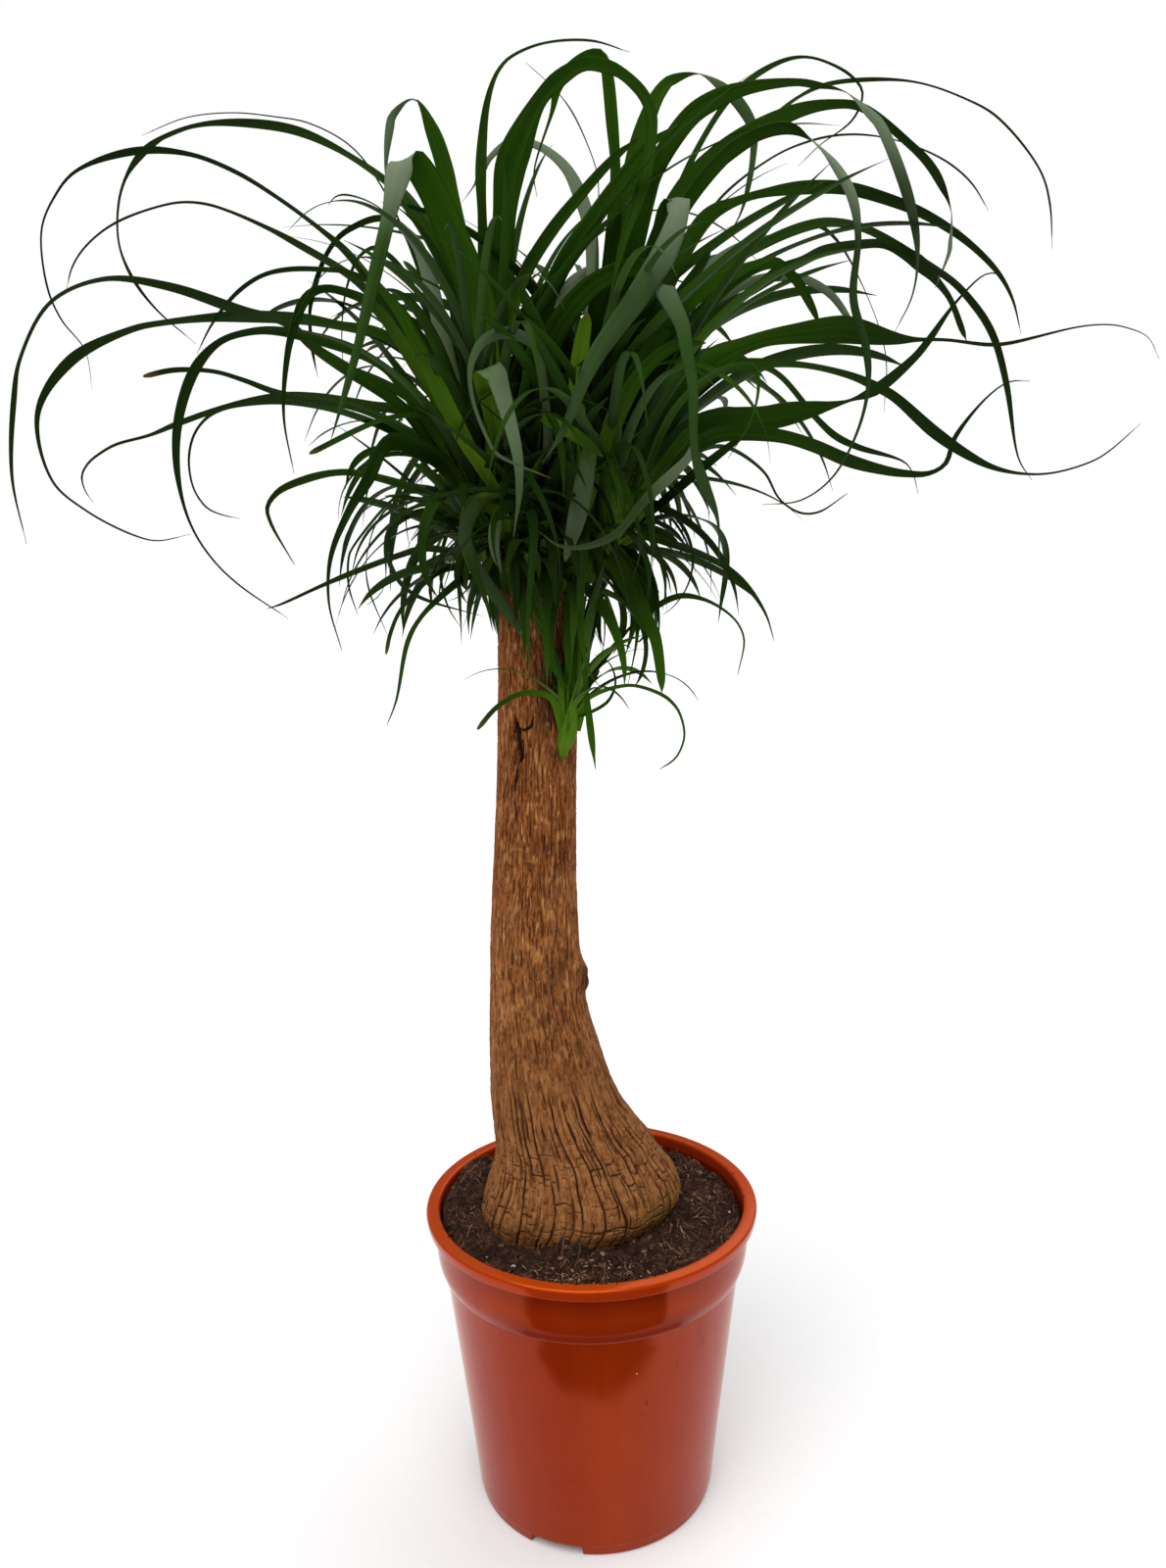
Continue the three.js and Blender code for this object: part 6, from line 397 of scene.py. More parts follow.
SHOOT_LEAVES = {
    "shoot_center": [
        [
            [-53.9, -8, 761.8, -0.87, -0.66, -0.01], [-58.6, -2.3, 786.9, -1.02, -0.79, -0.03], [-67.5, 6.8, 824.5, -1.23, -1.04, -0.05], [-77.9, 16.1, 858.8, -1.3, -1.34, -0.09],
            [-98.9, 31.2, 904.5, -1.29, -1.41, -0.22], [-116.2, 41.5, 926.4, -1.2, -1.1, -0.7], [-134.6, 51, 938.3, -0.93, -0.48, -0.95], [-167.2, 67.8, 963.3, -0.9, -0.86, -0.76],
            [-209.8, 88, 981.8, -0.54, -0.63, -0.86], [-244.8, 103.7, 989, -0.32, -0.49, -0.81], [-272.8, 115.8, 990.6, 0.13, 0.25, -1.54], [-311.2, 132, 982.8, 0.05, -0.19, -0.41],
        ],
        [
            [-53.9, -8, 761.8, -0.84, -0.87, -0.07], [-70.7, 6, 790.8, -0.96, -0.87, -0.07], [-73.8, 9.3, 800.3, -0.94, -0.79, -0.03], [-85.7, 22, 838.7, -0.81, -0.67, -0.04],
            [-93.3, 29.7, 861.3, -0.75, -0.69, -0.03], [-100.3, 35.9, 877.2, -0.76, -0.76, -0.07], [-107.9, 41.7, 889.2, -0.75, -0.74, -0.16], [-126.4, 54.8, 912.1, -0.61, -0.55, -0.23],
            [-141.5, 64.3, 923.8, -0.53, -0.21, -0.71], [-159.5, 74.9, 931.1, 0.01, 0.28, -1.01], [-166.5, 78.9, 930.5, 0.36, 0.23, -0.62], [-171.6, 82, 926.7, 0.34, 0.13, -0.27],
        ],
        [
            [-53.9, -8, 761.8, 3.63, 4.01, -3.55], [-67.7, 6.1, 763.9, 1.89, 3.49, -4.88], [-72.1, 10.9, 767.8, -2.61, 3.71, -3.67], [-78.7, 22.4, 790.8, -4.27, 1.75, -2.04],
            [-90.3, 42.3, 831.5, -3.67, 1.78, -2.04], [-97.1, 52.8, 852.2, -3.27, 1.75, -1.99], [-107.8, 68.9, 883.7, -2.6, 1.69, -1.78], [-116.3, 80.5, 905, -1.71, 2.26, -2.22],
            [-123.2, 87.9, 914.5, 0.49, 2.49, -2.45], [-130, 94, 916.7, 2.01, 2.11, -1.09], [-135.3, 99, 913.6, 1.86, 1.67, -0.05], [-144.9, 112, 887.3, 0.21, 0.39, 0.1],
        ],
        [
            [-38.1, -3.5, 672.1, -2.78, -1.01, 0.24], [-34.1, -14.2, 680.9, -2.86, -0.88, -0.29], [-34.4, -23.4, 693.6, -2.89, -0.8, -0.92], [-35.8, -32.4, 702.7, -2.42, -1.16, -2.01],
            [-39.3, -45.1, 710.4, -1.07, -0.81, -3.41], [-43.5, -56.9, 711.9, -0.61, 0.52, -3.55], [-47.8, -68.7, 708.6, 0.3, 1.21, -2.97], [-51.4, -81.7, 700.3, 1.48, 1.02, -1.4],
            [-50.7, -94, 685.3, 1.17, 0.39, -0.12], [-45.4, -113.5, 668, 0.31, 0.25, -0.21],
        ],
    ],
    "shoot_left": [
        [
            [-76, 10, 742.2, -1.28, -0.57, 0.01], [-79.3, 17.3, 768.6, -1.6, -0.89, -0.07], [-85.2, 25.2, 791.7, -1.82, -1.12, -0.08], [-92.9, 35.5, 821.7, -1.74, -1.24, -0.06],
            [-102.1, 45.8, 848.2, -1.74, -1.52, -0.12], [-123, 64, 883, -1.89, -1.74, -0.41], [-134.5, 72.5, 893.5, -1.64, -1.3, -1.11], [-141.4, 77.1, 896.5, -0.82, -1.01, -1.71],
            [-153.5, 85.2, 891.2, 0.84, -0.67, -1.24], [-165.6, 95.3, 868.2, 1.01, -0.24, -0.42], [-170.8, 103, 835.4, 0.57, -0.13, -0.06], [-170.3, 110, 808.6, 0.15, -0.41, -0.1],
        ],
        [
            [-65.3, 9.3, 702.8, -1.05, -1.17, -0.9], [-75, 16.8, 706, -1.37, -1.26, -0.46], [-90.2, 29.4, 721.1, -1.45, -1.29, -0.52], [-103.1, 39.1, 728.3, -1.2, -1.22, -1.11],
            [-118.3, 49.7, 729.1, -0.57, -1.19, -1.56], [-129.1, 57.2, 725.4, 0.03, -1.17, -1.61], [-141.4, 65.9, 716.6, 0.49, -1.05, -1.35], [-166, 83.3, 692.3, 0.82, -0.38, -0.94],
            [-170, 86.4, 686, 1.12, -0.32, -0.55], [-172.4, 91.6, 664.1, 1.19, -0.27, 0], [-168.2, 99.3, 642.4, 0.41, 0.11, 0.14],
        ],
        [
            [-63.3, 9.1, 696.8, 0.9, 0.81, -0.58], [-70.3, 15.9, 695.5, 0.78, 0.77, -0.83], [-76.3, 21.7, 697.1, 0.05, 0.88, -1.09], [-92.8, 39.8, 715.9, -0.18, 0.85, -1.23],
            [-106.2, 52.5, 723.2, 0.47, 0.91, -1.16], [-126, 70, 724.9, 0.96, 0.99, -0.66], [-140.3, 82.4, 718.8, 0.94, 0.92, -0.2], [-148.4, 89.8, 710.8, 0.78, 0.75, -0.04],
            [-154.3, 95.7, 701.1, 0.65, 0.59, -0.02], [-161, 104.2, 680, 0.55, 0.54, 0.08], [-160.9, 110.1, 661.6, 0.95, 0.41, 0.36], [-151.3, 129.1, 625.5, 0.36, -0.27, -0.05],
        ],
    ],
    "shoot_right": [
        [
            [16.2, 8, 756.1, -0.81, -0.74, -0.05], [10.4, 13.7, 778.2, -0.82, -0.47, 0.03], [11.6, 18.5, 810.6, -0.89, -0.17, 0.07], [12.8, 22.9, 839.8, -0.82, -0.19, 0.07],
            [14, 26.9, 865.6, -0.74, -0.19, 0.07], [15.8, 32.4, 901.1, -0.63, -0.17, 0.06], [16.5, 34.8, 917.2, -0.58, -0.25, 0.05], [15.8, 37, 930.1, -0.62, -0.41, -0.03],
            [8.7, 43.2, 952.5, -0.77, -0.37, -0.18], [-1.1, 50.4, 974.4, -0.83, -0.14, -0.41], [-11.1, 56.7, 988.9, -0.46, -0.34, -0.21], [-30.6, 68, 1010.3, -0.32, 0.05, -0.32],
        ],
        [
            [12.7, 8, 738.4, 1, -2.03, 1.32], [23.6, 13.5, 740.9, -0.8, -2.23, 1.29], [39.4, 24.9, 784.2, -1.64, -2.15, 1.2], [50, 31.9, 808.7, -1.49, -2.15, 1.42],
            [65.1, 41, 835.3, -1.14, -2.26, 1.59], [81.8, 50.1, 857.5, -0.6, -2.38, 1.74], [127.8, 72.5, 892.8, 0.15, -2.29, 1.54], [169.3, 91.1, 910.6, 0.73, -1.9, 0.9],
            [187.7, 99.4, 902.1, 0.9, -1.45, 0.2], [216.8, 114.2, 860.3, 0.26, -0.84, -0.1], [230.7, 122.5, 824.8, 0.53, -0.44, 0.04], [231.7, 128, 786.5, 0.26, -0.36, -0.06],
        ],
    ],
    "shoot_lower_right": [
        [
            [24.6, -15, 701.2, 1.19, -1.62, 0.87], [32.6, -10.6, 700.5, -0.03, -1.8, 1.43], [57.2, 4.6, 731.5, -0.79, -1.68, 1.56], [69.5, 11.7, 743.3, -0.26, -1.77, 1.67],
            [81.8, 18.2, 749.9, 0.32, -1.83, 1.6], [95.5, 25.2, 753.4, 0.87, -1.84, 1.23], [108.9, 32, 750.1, 1.21, -1.79, 0.54], [129.2, 42.6, 736.3, 0.98, -1.21, 0.37],
            [140.3, 49.2, 719.3, 0.85, -0.49, 0.59], [155.9, 56.9, 709.9, 0.4, -0.2, 1.12], [171, 63.9, 710.3, -0.27, -0.17, 1.09], [193.9, 75, 723.8, -0.25, 0, 0.38],
        ],
        [
            [15, -14.2, 685.9, 1.85, 2.59, 1.57], [23.8, -18.1, 681.6, 2.18, 2.64, 1.42], [28.3, -20.3, 677.1, 2.61, 2.55, 0.83], [34.8, -24.7, 659, 2.38, 1.86, 0.1],
            [36.1, -28.6, 629.8, 1.46, 0.56, -0.18], [29.7, -34.2, 598, 0.27, 0.33, -0.13],
        ],
        [
            [20.2, -14.6, 694.1, 1.2, -0.91, 0.96], [36.9, 6.3, 695.1, 1.29, -0.9, 0.9], [41.6, 12.3, 692.2, 1.42, -0.85, 0.27], [60, 37.5, 669.4, 1.11, -0.37, 0.37],
            [63.9, 45.4, 655.2, 0.44, -0.04, 0.07],
        ],
    ],
    "shoot_side": [
        [
            [-10.4, -29.1, 568.9, -2.18, -1.56, 0.06], [-2.6, -39.9, 618.9, -2.67, -1.95, 0.1], [0.3, -42.2, 623.9, 1.98, 2.28, 0.71], [1.7, -43.7, 619, 2.24, 1.49, -0.1],
            [2.1, -47.2, 599.9, 1.66, 0.73, -0.01], [5, -54, 568.2, 2.27, 0.91, 0.06], [7.6, -59, 546.3, 0.44, 0.06, 0.01],
        ],
        [
            [-11.1, -28.4, 565.1, -1.95, 0.77, -0.08], [-13, -32.7, 575.8, -2.12, 0.53, 0.02], [-14, -40.4, 600.5, -2, 0.49, -0.03], [-16.2, -46.1, 614.2, -1.7, 0.64, -0.09],
            [-22.5, -57.1, 633.6, -1.09, 0.59, -0.06], [-30.1, -68.4, 648, -0.31, 0.31, 0.08],
        ],
        [
            [-10.4, -29.1, 568.9, -4.98, -6.29, 0.51], [-5.1, -31.8, 592.3, -5.76, -6.35, 0.48], [-1.1, -34, 612.2, -4.9, -6.08, 0.26], [3.6, -36.9, 638.3, -2.81, -3.52, 0.11],
            [7.1, -39, 657.6, -0.19, -0.41, -0.01],
        ],
        [
            [-10.1, -29.2, 570.2, -3.62, 1.16, 0.16], [-9.2, -35.8, 594.7, -4.46, 0.96, 0.87], [-4.5, -48.7, 638.5, -2.53, 0.49, 0.19], [-5.5, -53.5, 654.8, -1.48, 0.59, -0.01],
            [-8.8, -59.2, 667.2, -0.3, 0.33, 0.08],
        ],
        [
            [-9.1, -29.9, 575.3, -0.49, 1.51, 0.82], [2.4, -27.6, 578.2, -0.63, 1.54, 0.91], [13, -25.5, 583.4, -0.8, 1.54, 0.74], [17.4, -24.6, 587.2, -0.92, 1.46, 0.48],
            [21.4, -23.5, 595, -0.96, 1.17, 0.16], [21.9, -23.2, 600.8, -0.95, 0.86, -0.14], [19.6, -22.4, 609.2, -0.71, 0.61, -0.46], [15.9, -21.5, 613.7, -0.26, 0.54, -0.48],
            [7.9, -19.9, 617.3, 0, 0.4, -0.22],
        ],
        [
            [-7.5, -31, 583.6, -1.62, 2.07, 0.19], [5.7, -23, 603.2, -1.84, 2.14, 0.51], [28.1, -10.3, 629.2, -1.19, 1.13, 0.52], [45.3, -1, 646.7, -0.21, 0.4, -0.01],
        ],
    ],
}
TUFTS = {
    "shoot_center": [
        [-51.8, -6.9, 729.3, 190, 85, 82, 212, 6.6], [-52.7, -7.3, 741.3, 73, 83, 52, 279, 7.6], [-51.9, -7, 730.4, 57, 80, 60, 266, 7.7], [-49.3, -6.3, 709.8, 121, 65, 138, 325, 8.6],
        [-52.6, -7.3, 740.7, 51, 64, 133, 309, 8.4], [-52.7, -7.4, 742.4, 47, 66, 95, 325, 7], [-52.7, -7.3, 741.3, 46, 76, 108, 394, 7], [-52.3, -7.2, 736.4, -113, 75, 119, 287, 8.7],
        [-52.7, -7.3, 741.8, -114, 68, 127, 269, 6.7], [-52.7, -7.3, 741.8, -78, 66, 142, 217, 8.4], [-52.6, -7.3, 740.2, 294, 32, 88, 164, 7.4], [-48.2, -6.1, 701.6, 360, 12, 78, 165, 9.2],
    ],
    "shoot_left": [
        [-70.9, 10, 719.7, 101, 83, 57, 232, 7], [-70.4, 9.9, 718.4, 106, 78, 57, 298, 7.7], [-73.9, 10, 732.9, 57, 83, 84, 244, 6.9], [-68.1, 9.7, 711.8, 50, 62, 130, 320, 7.4],
        [-65.5, 9.4, 704.3, 56, 75, 137, 297, 6.5], [-72.1, 10, 724.7, 127, 75, 111, 312, 9.1], [-64.6, 9.3, 701.6, 133, 74, 130, 298, 8], [-67.8, 9.6, 710.9, -81, 74, 101, 284, 8.1],
        [-66.8, 9.5, 707.8, -89, 78, 107, 280, 7.7], [-72.9, 10, 728.3, -72, 64, 109, 269, 6.5], [-64.9, 9.3, 702.5, 329, 35, 71, 163, 9.4], [-60.9, 8.9, 691.6, 290, 3, 87, 167, 7.3],
    ],
    "shoot_right": [
        [7.4, 8.5, 716, 53, 76, 96, 190, 9.3], [9.1, 8.3, 723.3, 78, 78, 52, 196, 9.2], [9, 8.3, 722.8, 107, 81, 79, 269, 8.9], [9.6, 8.2, 725.4, 116, 75, 101, 292, 7.8],
        [12.3, 8, 737.5, 127, 55, 128, 297, 7.8], [14, 8, 746, 130, 62, 125, 313, 7.8], [12, 8, 735.9, 132, 69, 104, 337, 9.5], [6.2, 8.7, 711.3, -78, 78, 123, 286, 8.6],
        [6.7, 8.6, 713.3, -93, 70, 110, 177, 7.6], [9.3, 8.2, 723.8, -68, 77, 97, 243, 7.9], [11.5, 8, 733.3, 276, 26, 95, 120, 7.5], [10.3, 8.1, 728, 191, 19, 91, 152, 9],
    ],
    "shoot_lower_right": [
        [25.7, -15.1, 703.3, 123, 80, 66, 286, 8], [24.1, -14.9, 699.6, 131, 82, 60, 231, 7.3], [18.1, -14.4, 690.6, 135, 80, 99, 262, 8.3], [21.1, -14.7, 695.1, 73, 69, 116, 304, 7.4],
        [25.1, -15, 701.4, 88, 71, 129, 298, 8.1], [26.9, -15.3, 706.9, 78, 75, 97, 300, 7.6], [19, -14.5, 692, 129, 73, 102, 330, 7], [17.8, -14.4, 690.2, -85, 74, 139, 256, 8],
        [16.9, -14.3, 688.9, -73, 64, 99, 222, 8.8], [24.1, -14.9, 699.6, -110, 57, 123, 250, 9.2], [10.8, -13.7, 680.5, 178, 9, 85, 112, 9.4], [9.7, -13.6, 679.2, 198, 26, 96, 146, 6.6],
    ],
    "shoot_side": [
        [-9, -30, 576.3, -150, 60, 90, 90, 6], [-9, -30, 576.3, 20, 70, 80, 80, 6], [-9, -30, 576.3, -60, 50, 95, 85, 6], [-9, -30, 576.3, 160, 75, 70, 60, 6],
    ],
}
EXTRAS = {
    "shoot_center": [
        [-43, -1.9, 670.4, 166, 59, 16, 82, 13.4, -7, -32], [-51, -3.3, 691.8, 162, 76, 8, 75, 13.4, -10, -29], [-41, -5.6, 697.4, 2, 66, 3, 85, 16.1, -10, 1], [-49.8, -9.3, 691.8, 221, 70, 9, 115, 13.4, -2, -1],
        [-41.2, -7.3, 669.4, 222, 78, 21, 105, 13.9, -5, -93], [-41.1, 1.6, 683.5, 80, 82, 3, 83, 16.2, -4, 36], [-50.3, -0.4, 706.5, 104, 70, 9, 58, 14.2, 4, -37], [-44.7, 1.2, 687.2, 101, 60, 14, 66, 15.5, 8, 4],
        [-47, -0.6, 683, 141, 88, 11, 90, 14.9, -2, 0], [-42.5, -1.6, 669.4, 165, 82, 16, 99, 16, -21, -50], [-41.9, -10.9, 687.7, 287, 53, 42, 102, 12.7, 3, 52], [-45.3, -11.4, 700.6, 297, 82, 40, 123, 14.7, -8, 17],
        [-43.3, -1.6, 699, 44, 50, 13, 92, 12.9, -7, 16], [-37.7, 1.6, 662, 138, 52, 45, 102, 12.2, 10, 28], [-38.6, -8.2, 688.2, 329, 41, 12, 115, 13.3, -8, 5], [-43.4, -5.2, 709.8, 11, 49, 30, 109, 15.8, -11, 45],
        [-33.8, -8.4, 671.4, 307, 71, 44, 134, 14.1, 7, -50], [-49.6, -2.1, 731.5, 64, 86, 34, 98, 14.8, -1, -28], [-47, -6.2, 679.9, 198, 44, 46, 77, 14.8, -1, -59], [-49.7, -2.7, 738, 58, 78, 29, 97, 11.7, -10, -50],
        [-57.2, -5.6, 729.8, 166, 54, 37, 134, 13, 7, -58], [-48, -3.8, 735.3, 38, 70, 26, 144, 12.1, 11, -5], [-50.1, -11, 751.6, 314, 77, 43, 111, 12.1, 29, 38], [-57.1, -6.8, 727.1, 179, 90, 67, 189, 11.7, -1, -59],
        [-54.4, -3.2, 752.2, 103, 88, 74, 136, 10.3, -29, 22], [-48.8, -10.8, 740.2, 317, 81, 62, 184, 10.9, 12, -48], [-49.3, -7.8, 757.1, 0, 87, 38, 109, 9.6, -1, 58], [-57.1, -10.5, 754.9, 218, 86, 54, 180, 12.5, 5, 8],
        [-54.6, -2.4, 722.8, 130, 78, 78, 205, 9.7, -20, -41], [-51.5, -12, 750.5, 292, 87, 45, 170, 10.3, -25, 3], [-38.5, -7.9, 688.7, 333, 64, 61, 330, 17, -26, 6], [-54.2, -2.6, 714.7, 138, 76, 87, 218, 14.1, -17, 21],
        [-50.1, -10.1, 759.3, 330, 69, 54, 259, 14, -10, 37], [-49.7, -2.2, 733.6, 64, 72, 77, 237, 12.1, -4, -3], [-44.4, -8.4, 714.7, 341, 64, 58, 281, 15.5, -27, -23], [-44.2, -4.9, 714.1, 16, 71, 64, 282, 14.7, 42, 25],
        [-56.2, -3.9, 748.4, 130, 79, 54, 224, 12.8, 2, 0], [-48, -7.8, 745.6, 357, 80, 83, 330, 16.3, 21, 13], [-43.5, -0.2, 695.4, 62, 72, 55, 276, 16.8, -23, 27], [-50.9, -1.4, 695.4, 137, 85, 72, 278, 12.4, -38, -26],
        [-47.7, -3.8, 732.6, 36, 72, 107, 296, 14.5, 16, -17], [-44.8, -2, 707.6, 45, 70, 84, 239, 11.1, -8, 7], [-53.4, -1.7, 721.2, 118, 84, 54, 254, 11.4, 14, 43], [-52.9, -1.8, 735.3, 97, 74, 122, 231, 10.8, 5, -1],
        [-41.2, -0.9, 692.8, 46, 69, 101, 258, 13.2, 30, 16], [-50.7, -3.7, 751.1, 57, 42, 119, 258, 9.2, -16, 56], [-48.4, -2.1, 726.6, 58, 61, 92, 211, 10.5, -28, 14], [-48.4, -1.2, 719, 69, 39, 147, 205, 10.3, -16, 12],
        [-46.1, -4.3, 724.4, 26, 41, 101, 197, 13.8, 25, 18], [-53.2, -3.1, 699.5, 152, 63, 93, 201, 13.5, -10, -13], [-54.4, -3.1, 751.6, 103, 33, 82, 198, 13.4, 7, 46], [-48.6, -4.6, 743.5, 34, 31, 104, 202, 12.9, 40, -39],
        [-46.7, -2, 717.4, 52, 32, 124, 239, 9, -9, 5], [-50.7, -4, 752.7, 54, 47, 147, 251, 10.8, 18, 11], [-44.5, -2.1, 707.1, 43, 40, 132, 198, 13.5, 47, 14], [-53.7, -2.4, 708.7, 140, 10, 106, 148, 11.6, -7, 62],
        [-39.1, -3.4, 691.3, 18, 38, 78, 214, 11, -73, -24], [-45.6, -4.3, 721.7, 25, 5, 62, 209, 11.1, 29, 55], [-45.5, -5.2, 722.8, 15, 40, 90, 184, 10.6, 13, -124], [-39.4, 1.8, 679.9, 75, 18, 89, 148, 8.8, 32, 70],
        [-33.1, -0.4, 673.4, 31, 18, 58, 208, 11.6, -1, -47], [-45.6, -2.2, 713, 46, 16, 81, 160, 10.8, 22, 50], [-45.5, -1, 704.9, 59, 38, 97, 152, 10.1, -32, 71], [-45.1, -4.5, 719, 22, 30, 114, 165, 7.4, -40, 43],
        [-47.3, 0.5, 693.3, 105, 16, 150, 114, 8.7, 11, 33], [-48.5, 0.1, 694.9, 112, 64, 150, 119, 7.3, -6, -4], [-46.1, -3.1, 720.1, 38, 52, 103, 195, 9.1, -14, 60], [-43.1, -0.1, 694.4, 61, 39, 169, 140, 8.4, 60, 67],
        [-37.9, -3.1, 688.2, 17, 50, 111, 146, 10.2, 84, -70], [-37.3, 1.1, 678.9, 58, 32, 102, 247, 10.9, 67, -26], [-45.4, 1, 689.2, 101, 30, 126, 180, 9.7, -43, -4], [-44.2, -10.3, 704.4, -44, 58, 171, 95, 8.1, -3, -20],
        [-49.8, -11.8, 737.5, -61, 59, 164, 143, 10.1, -17, -8], [-44.9, -11.5, 695.9, -74, 27, 141, 193, 8.4, -59, 31], [-46, -11.5, 707.1, -61, 26, 118, 181, 7.5, 23, -39], [-50.6, -11.8, 744.5, -62, 46, 106, 145, 8.4, 83, 7],
        [-51.5, -11.4, 704.4, -119, 51, 110, 91, 10.4, 56, -25], [-30.5, -4.1, 669.4, 352, 34, 110, 80, 11.9, 23, -50], [-40.6, 0.2, 688.7, 56, 2, 149, 99, 12.6, 141, -74], [-42.1, -10.9, 685.1, 277, -3, 83, 80, 9.4, -6, 15],
        [-43.5, -10.9, 695.9, 301, 21, 133, 111, 8.3, -50, 2], [-40.5, 0.2, 688.2, 57, 28, 96, 61, 12.5, -61, 53], [-46.3, 0.5, 685.6, 122, 33, 93, 62, 11, -16, 53], [-39, -9.8, 684.1, 304, -10, 129, 121, 10.8, -155, -75],
        [-44.9, 0.9, 691.3, 89, 2, 90, 62, 9, 10, -24], [-45.3, -11.6, 693.3, 274, 14, 143, 96, 10.4, 16, -15], [-31.9, -2, 672.4, 14, 33, 149, 118, 8.3, 9, 91], [-32.2, -4.6, 673.4, 351, 24, 77, 97, 8.9, -30, -95],
        [-44, -8.1, 712.5, 343, 46, 271, 114, 4.9, 60, -96], [-43.9, -3.1, 707.6, 32, 60, 159, 140, 5.3, 51, 87], [-47.3, -1.8, 719, 57, 60, 229, 109, 4.8, 84, -22], [-45.6, -3.9, 720.6, 28, 62, 249, 81, 4, 30, -100],
        [-40.7, 0.8, 686.6, 65, 63, 159, 99, 3.6, 24, 32], [-43.6, 15.8, 692.9, 139, 28, 118, 58, 9, 12, -10], [-6.9, 6.4, 694.3, 21, 18, 130, 87, 9, 17, -48], [-32.4, -26.6, 684.1, 259, 36, 114, 60, 12.5, -15, 6],
        [-47.9, -3.7, 689.9, 207, 20, 126, 82, 11.2, -32, 35], [-9.2, 13.6, 683.9, 37, 11, 93, 59, 11.1, -49, -18], [-21.7, 19.7, 696.7, 71, 32, 150, 77, 12.2, -18, 51], [-11.6, 17.2, 697.7, 28, 13, 143, 67, 11.6, 3, -1],
        [-10.5, -13.3, 689.9, 329, 37, 149, 99, 11.2, -20, 2], [-11.3, 5, 697.2, 33, 19, 129, 85, 9, -30, -13], [-4.8, 6.4, 682.4, -11, 13, 141, 72, 10.2, -28, -17], [-45.4, 10.3, 688, 134, 36, 105, 96, 8.1, 16, -32],
        [-18.5, 23.5, 691.7, 80, 12, 94, 61, 8.2, 14, -27], [-50.1, -8.3, 689.4, 191, 22, 137, 76, 8.3, 0, 6], [-10.4, -3.3, 689.5, 364, 14, 92, 63, 11.2, 5, 20], [-46.2, 15.3, 691.7, 134, 33, 132, 67, 11.4, -1, -21],
        [-5.6, 11.6, 691.8, 36, 18, 125, 56, 9.3, -1, 12], [-14.8, -10.2, 686.3, 299, 39, 115, 61, 10.5, -10, 6], [-14.4, 19.8, 691.8, 45, 24, 117, 95, 10.3, 6, -13], [-30, 22.6, 696.3, 92, 37, 105, 104, 10.6, 4, -5],
        [-37.7, 25.5, 689.3, 108, 26, 119, 101, 8.9, 34, 15], [-11.1, -14, 697.7, 329, 36, 149, 57, 9.1, 17, 18], [-14.3, -9.5, 698.8, 330, 6, 135, 56, 11.2, 17, -1], [-22.8, 25.5, 688.4, 82, 6, 136, 63, 10.9, -22, 12],
        [-48.9, -9.6, 696.1, 204, 7, 148, 70, 10.4, 30, -2], [-8.7, -12, 691.6, 324, 12, 96, 77, 8.5, -19, -9], [-28.6, -19.5, 690.3, 290, 30, 106, 104, 11, -5, -31], [-45.5, -17.4, 681.2, -135, 39, 127, 47, 13.3, -17, -3],
        [-34.5, -23.3, 677.2, -78, 47, 147, 43, 10.7, 21, 13], [-35.5, -24.8, 686.1, -101, 12, 118, 57, 11.7, -7, 12], [-21.7, -22, 682.8, -62, 39, 123, 62, 12.5, 18, -6], [-22.9, -26.8, 681.2, -78, 49, 124, 47, 10.3, 9, -32],
        [-44.4, -16.6, 685.6, -140, 35, 141, 56, 14, 23, 5], [-47.6, -17, 687, -128, 24, 129, 58, 14, -5, -2], [-21.4, -26.2, 686.9, -54, 30, 141, 46, 11.6, 24, 20], [-43, -19.7, 681.9, -120, 18, 126, 58, 12.9, 6, 10],
        [-53.7, -13.2, 684.9, -159, 16, 148, 45, 13.4, -13, -29], [-11.9, -13.8, 676.4, -2, 14, 140, 48, 11.5, 7, 1], [-51, -8.9, 688, -180, 38, 134, 56, 13.6, -13, -13], [-42.4, -18.8, 681.3, -105, 14, 119, 47, 10.6, 22, -8],
        [-27.1, -25.7, 677.1, -67, 27, 136, 39, 10.3, 0, -1], [-12.5, -14.9, 687.3, -43, 30, 149, 59, 11.4, -19, 0], [-15.2, -17.1, 684.1, -46, 30, 134, 51, 12.9, 13, 5],
    ],
    "shoot_left": [
        [-47.5, 2.9, 669.9, 300, 70, 21, 86, 17.9, 1, -12], [-48.3, 2.4, 663.5, 238, 62, 11, 90, 15.1, -3, -47], [-56.3, 7.7, 692.4, 346, 76, 10, 92, 15.9, 8, -39], [-55.6, 10.7, 671.4, 145, 71, 22, 57, 15.6, 15, 47],
        [-43.4, 1.3, 660.8, 273, 72, 9, 109, 13.8, 9, 3], [-49.5, 3.1, 672.6, 298, 56, 10, 103, 16, 22, 13], [-51.5, 10.1, 681.8, 19, 65, 30, 95, 16.8, 1, 19], [-53, 2.8, 676.2, 281, 73, 7, 86, 17.7, -6, 39],
        [-58.3, 11.4, 676.2, 142, 82, 16, 69, 13.3, -1, -44], [-52.6, 2.6, 671.4, 255, 79, 2, 65, 15.6, -7, -48], [-66.8, 9.1, 693.3, 179, 46, 46, 72, 15.2, 5, -47], [-47.1, 9.9, 672.6, 23, 67, 50, 96, 11, 2, 1],
        [-64.1, 12.6, 690.7, 134, 81, 48, 82, 13.8, -4, 21], [-55.9, 8.4, 670.7, 171, 43, 36, 121, 15.4, -2, 60], [-55.7, 13.5, 677.9, 100, 82, 25, 154, 14.3, -11, -24], [-66.7, 7.2, 717.9, 323, 50, 23, 137, 13.8, -1, -24],
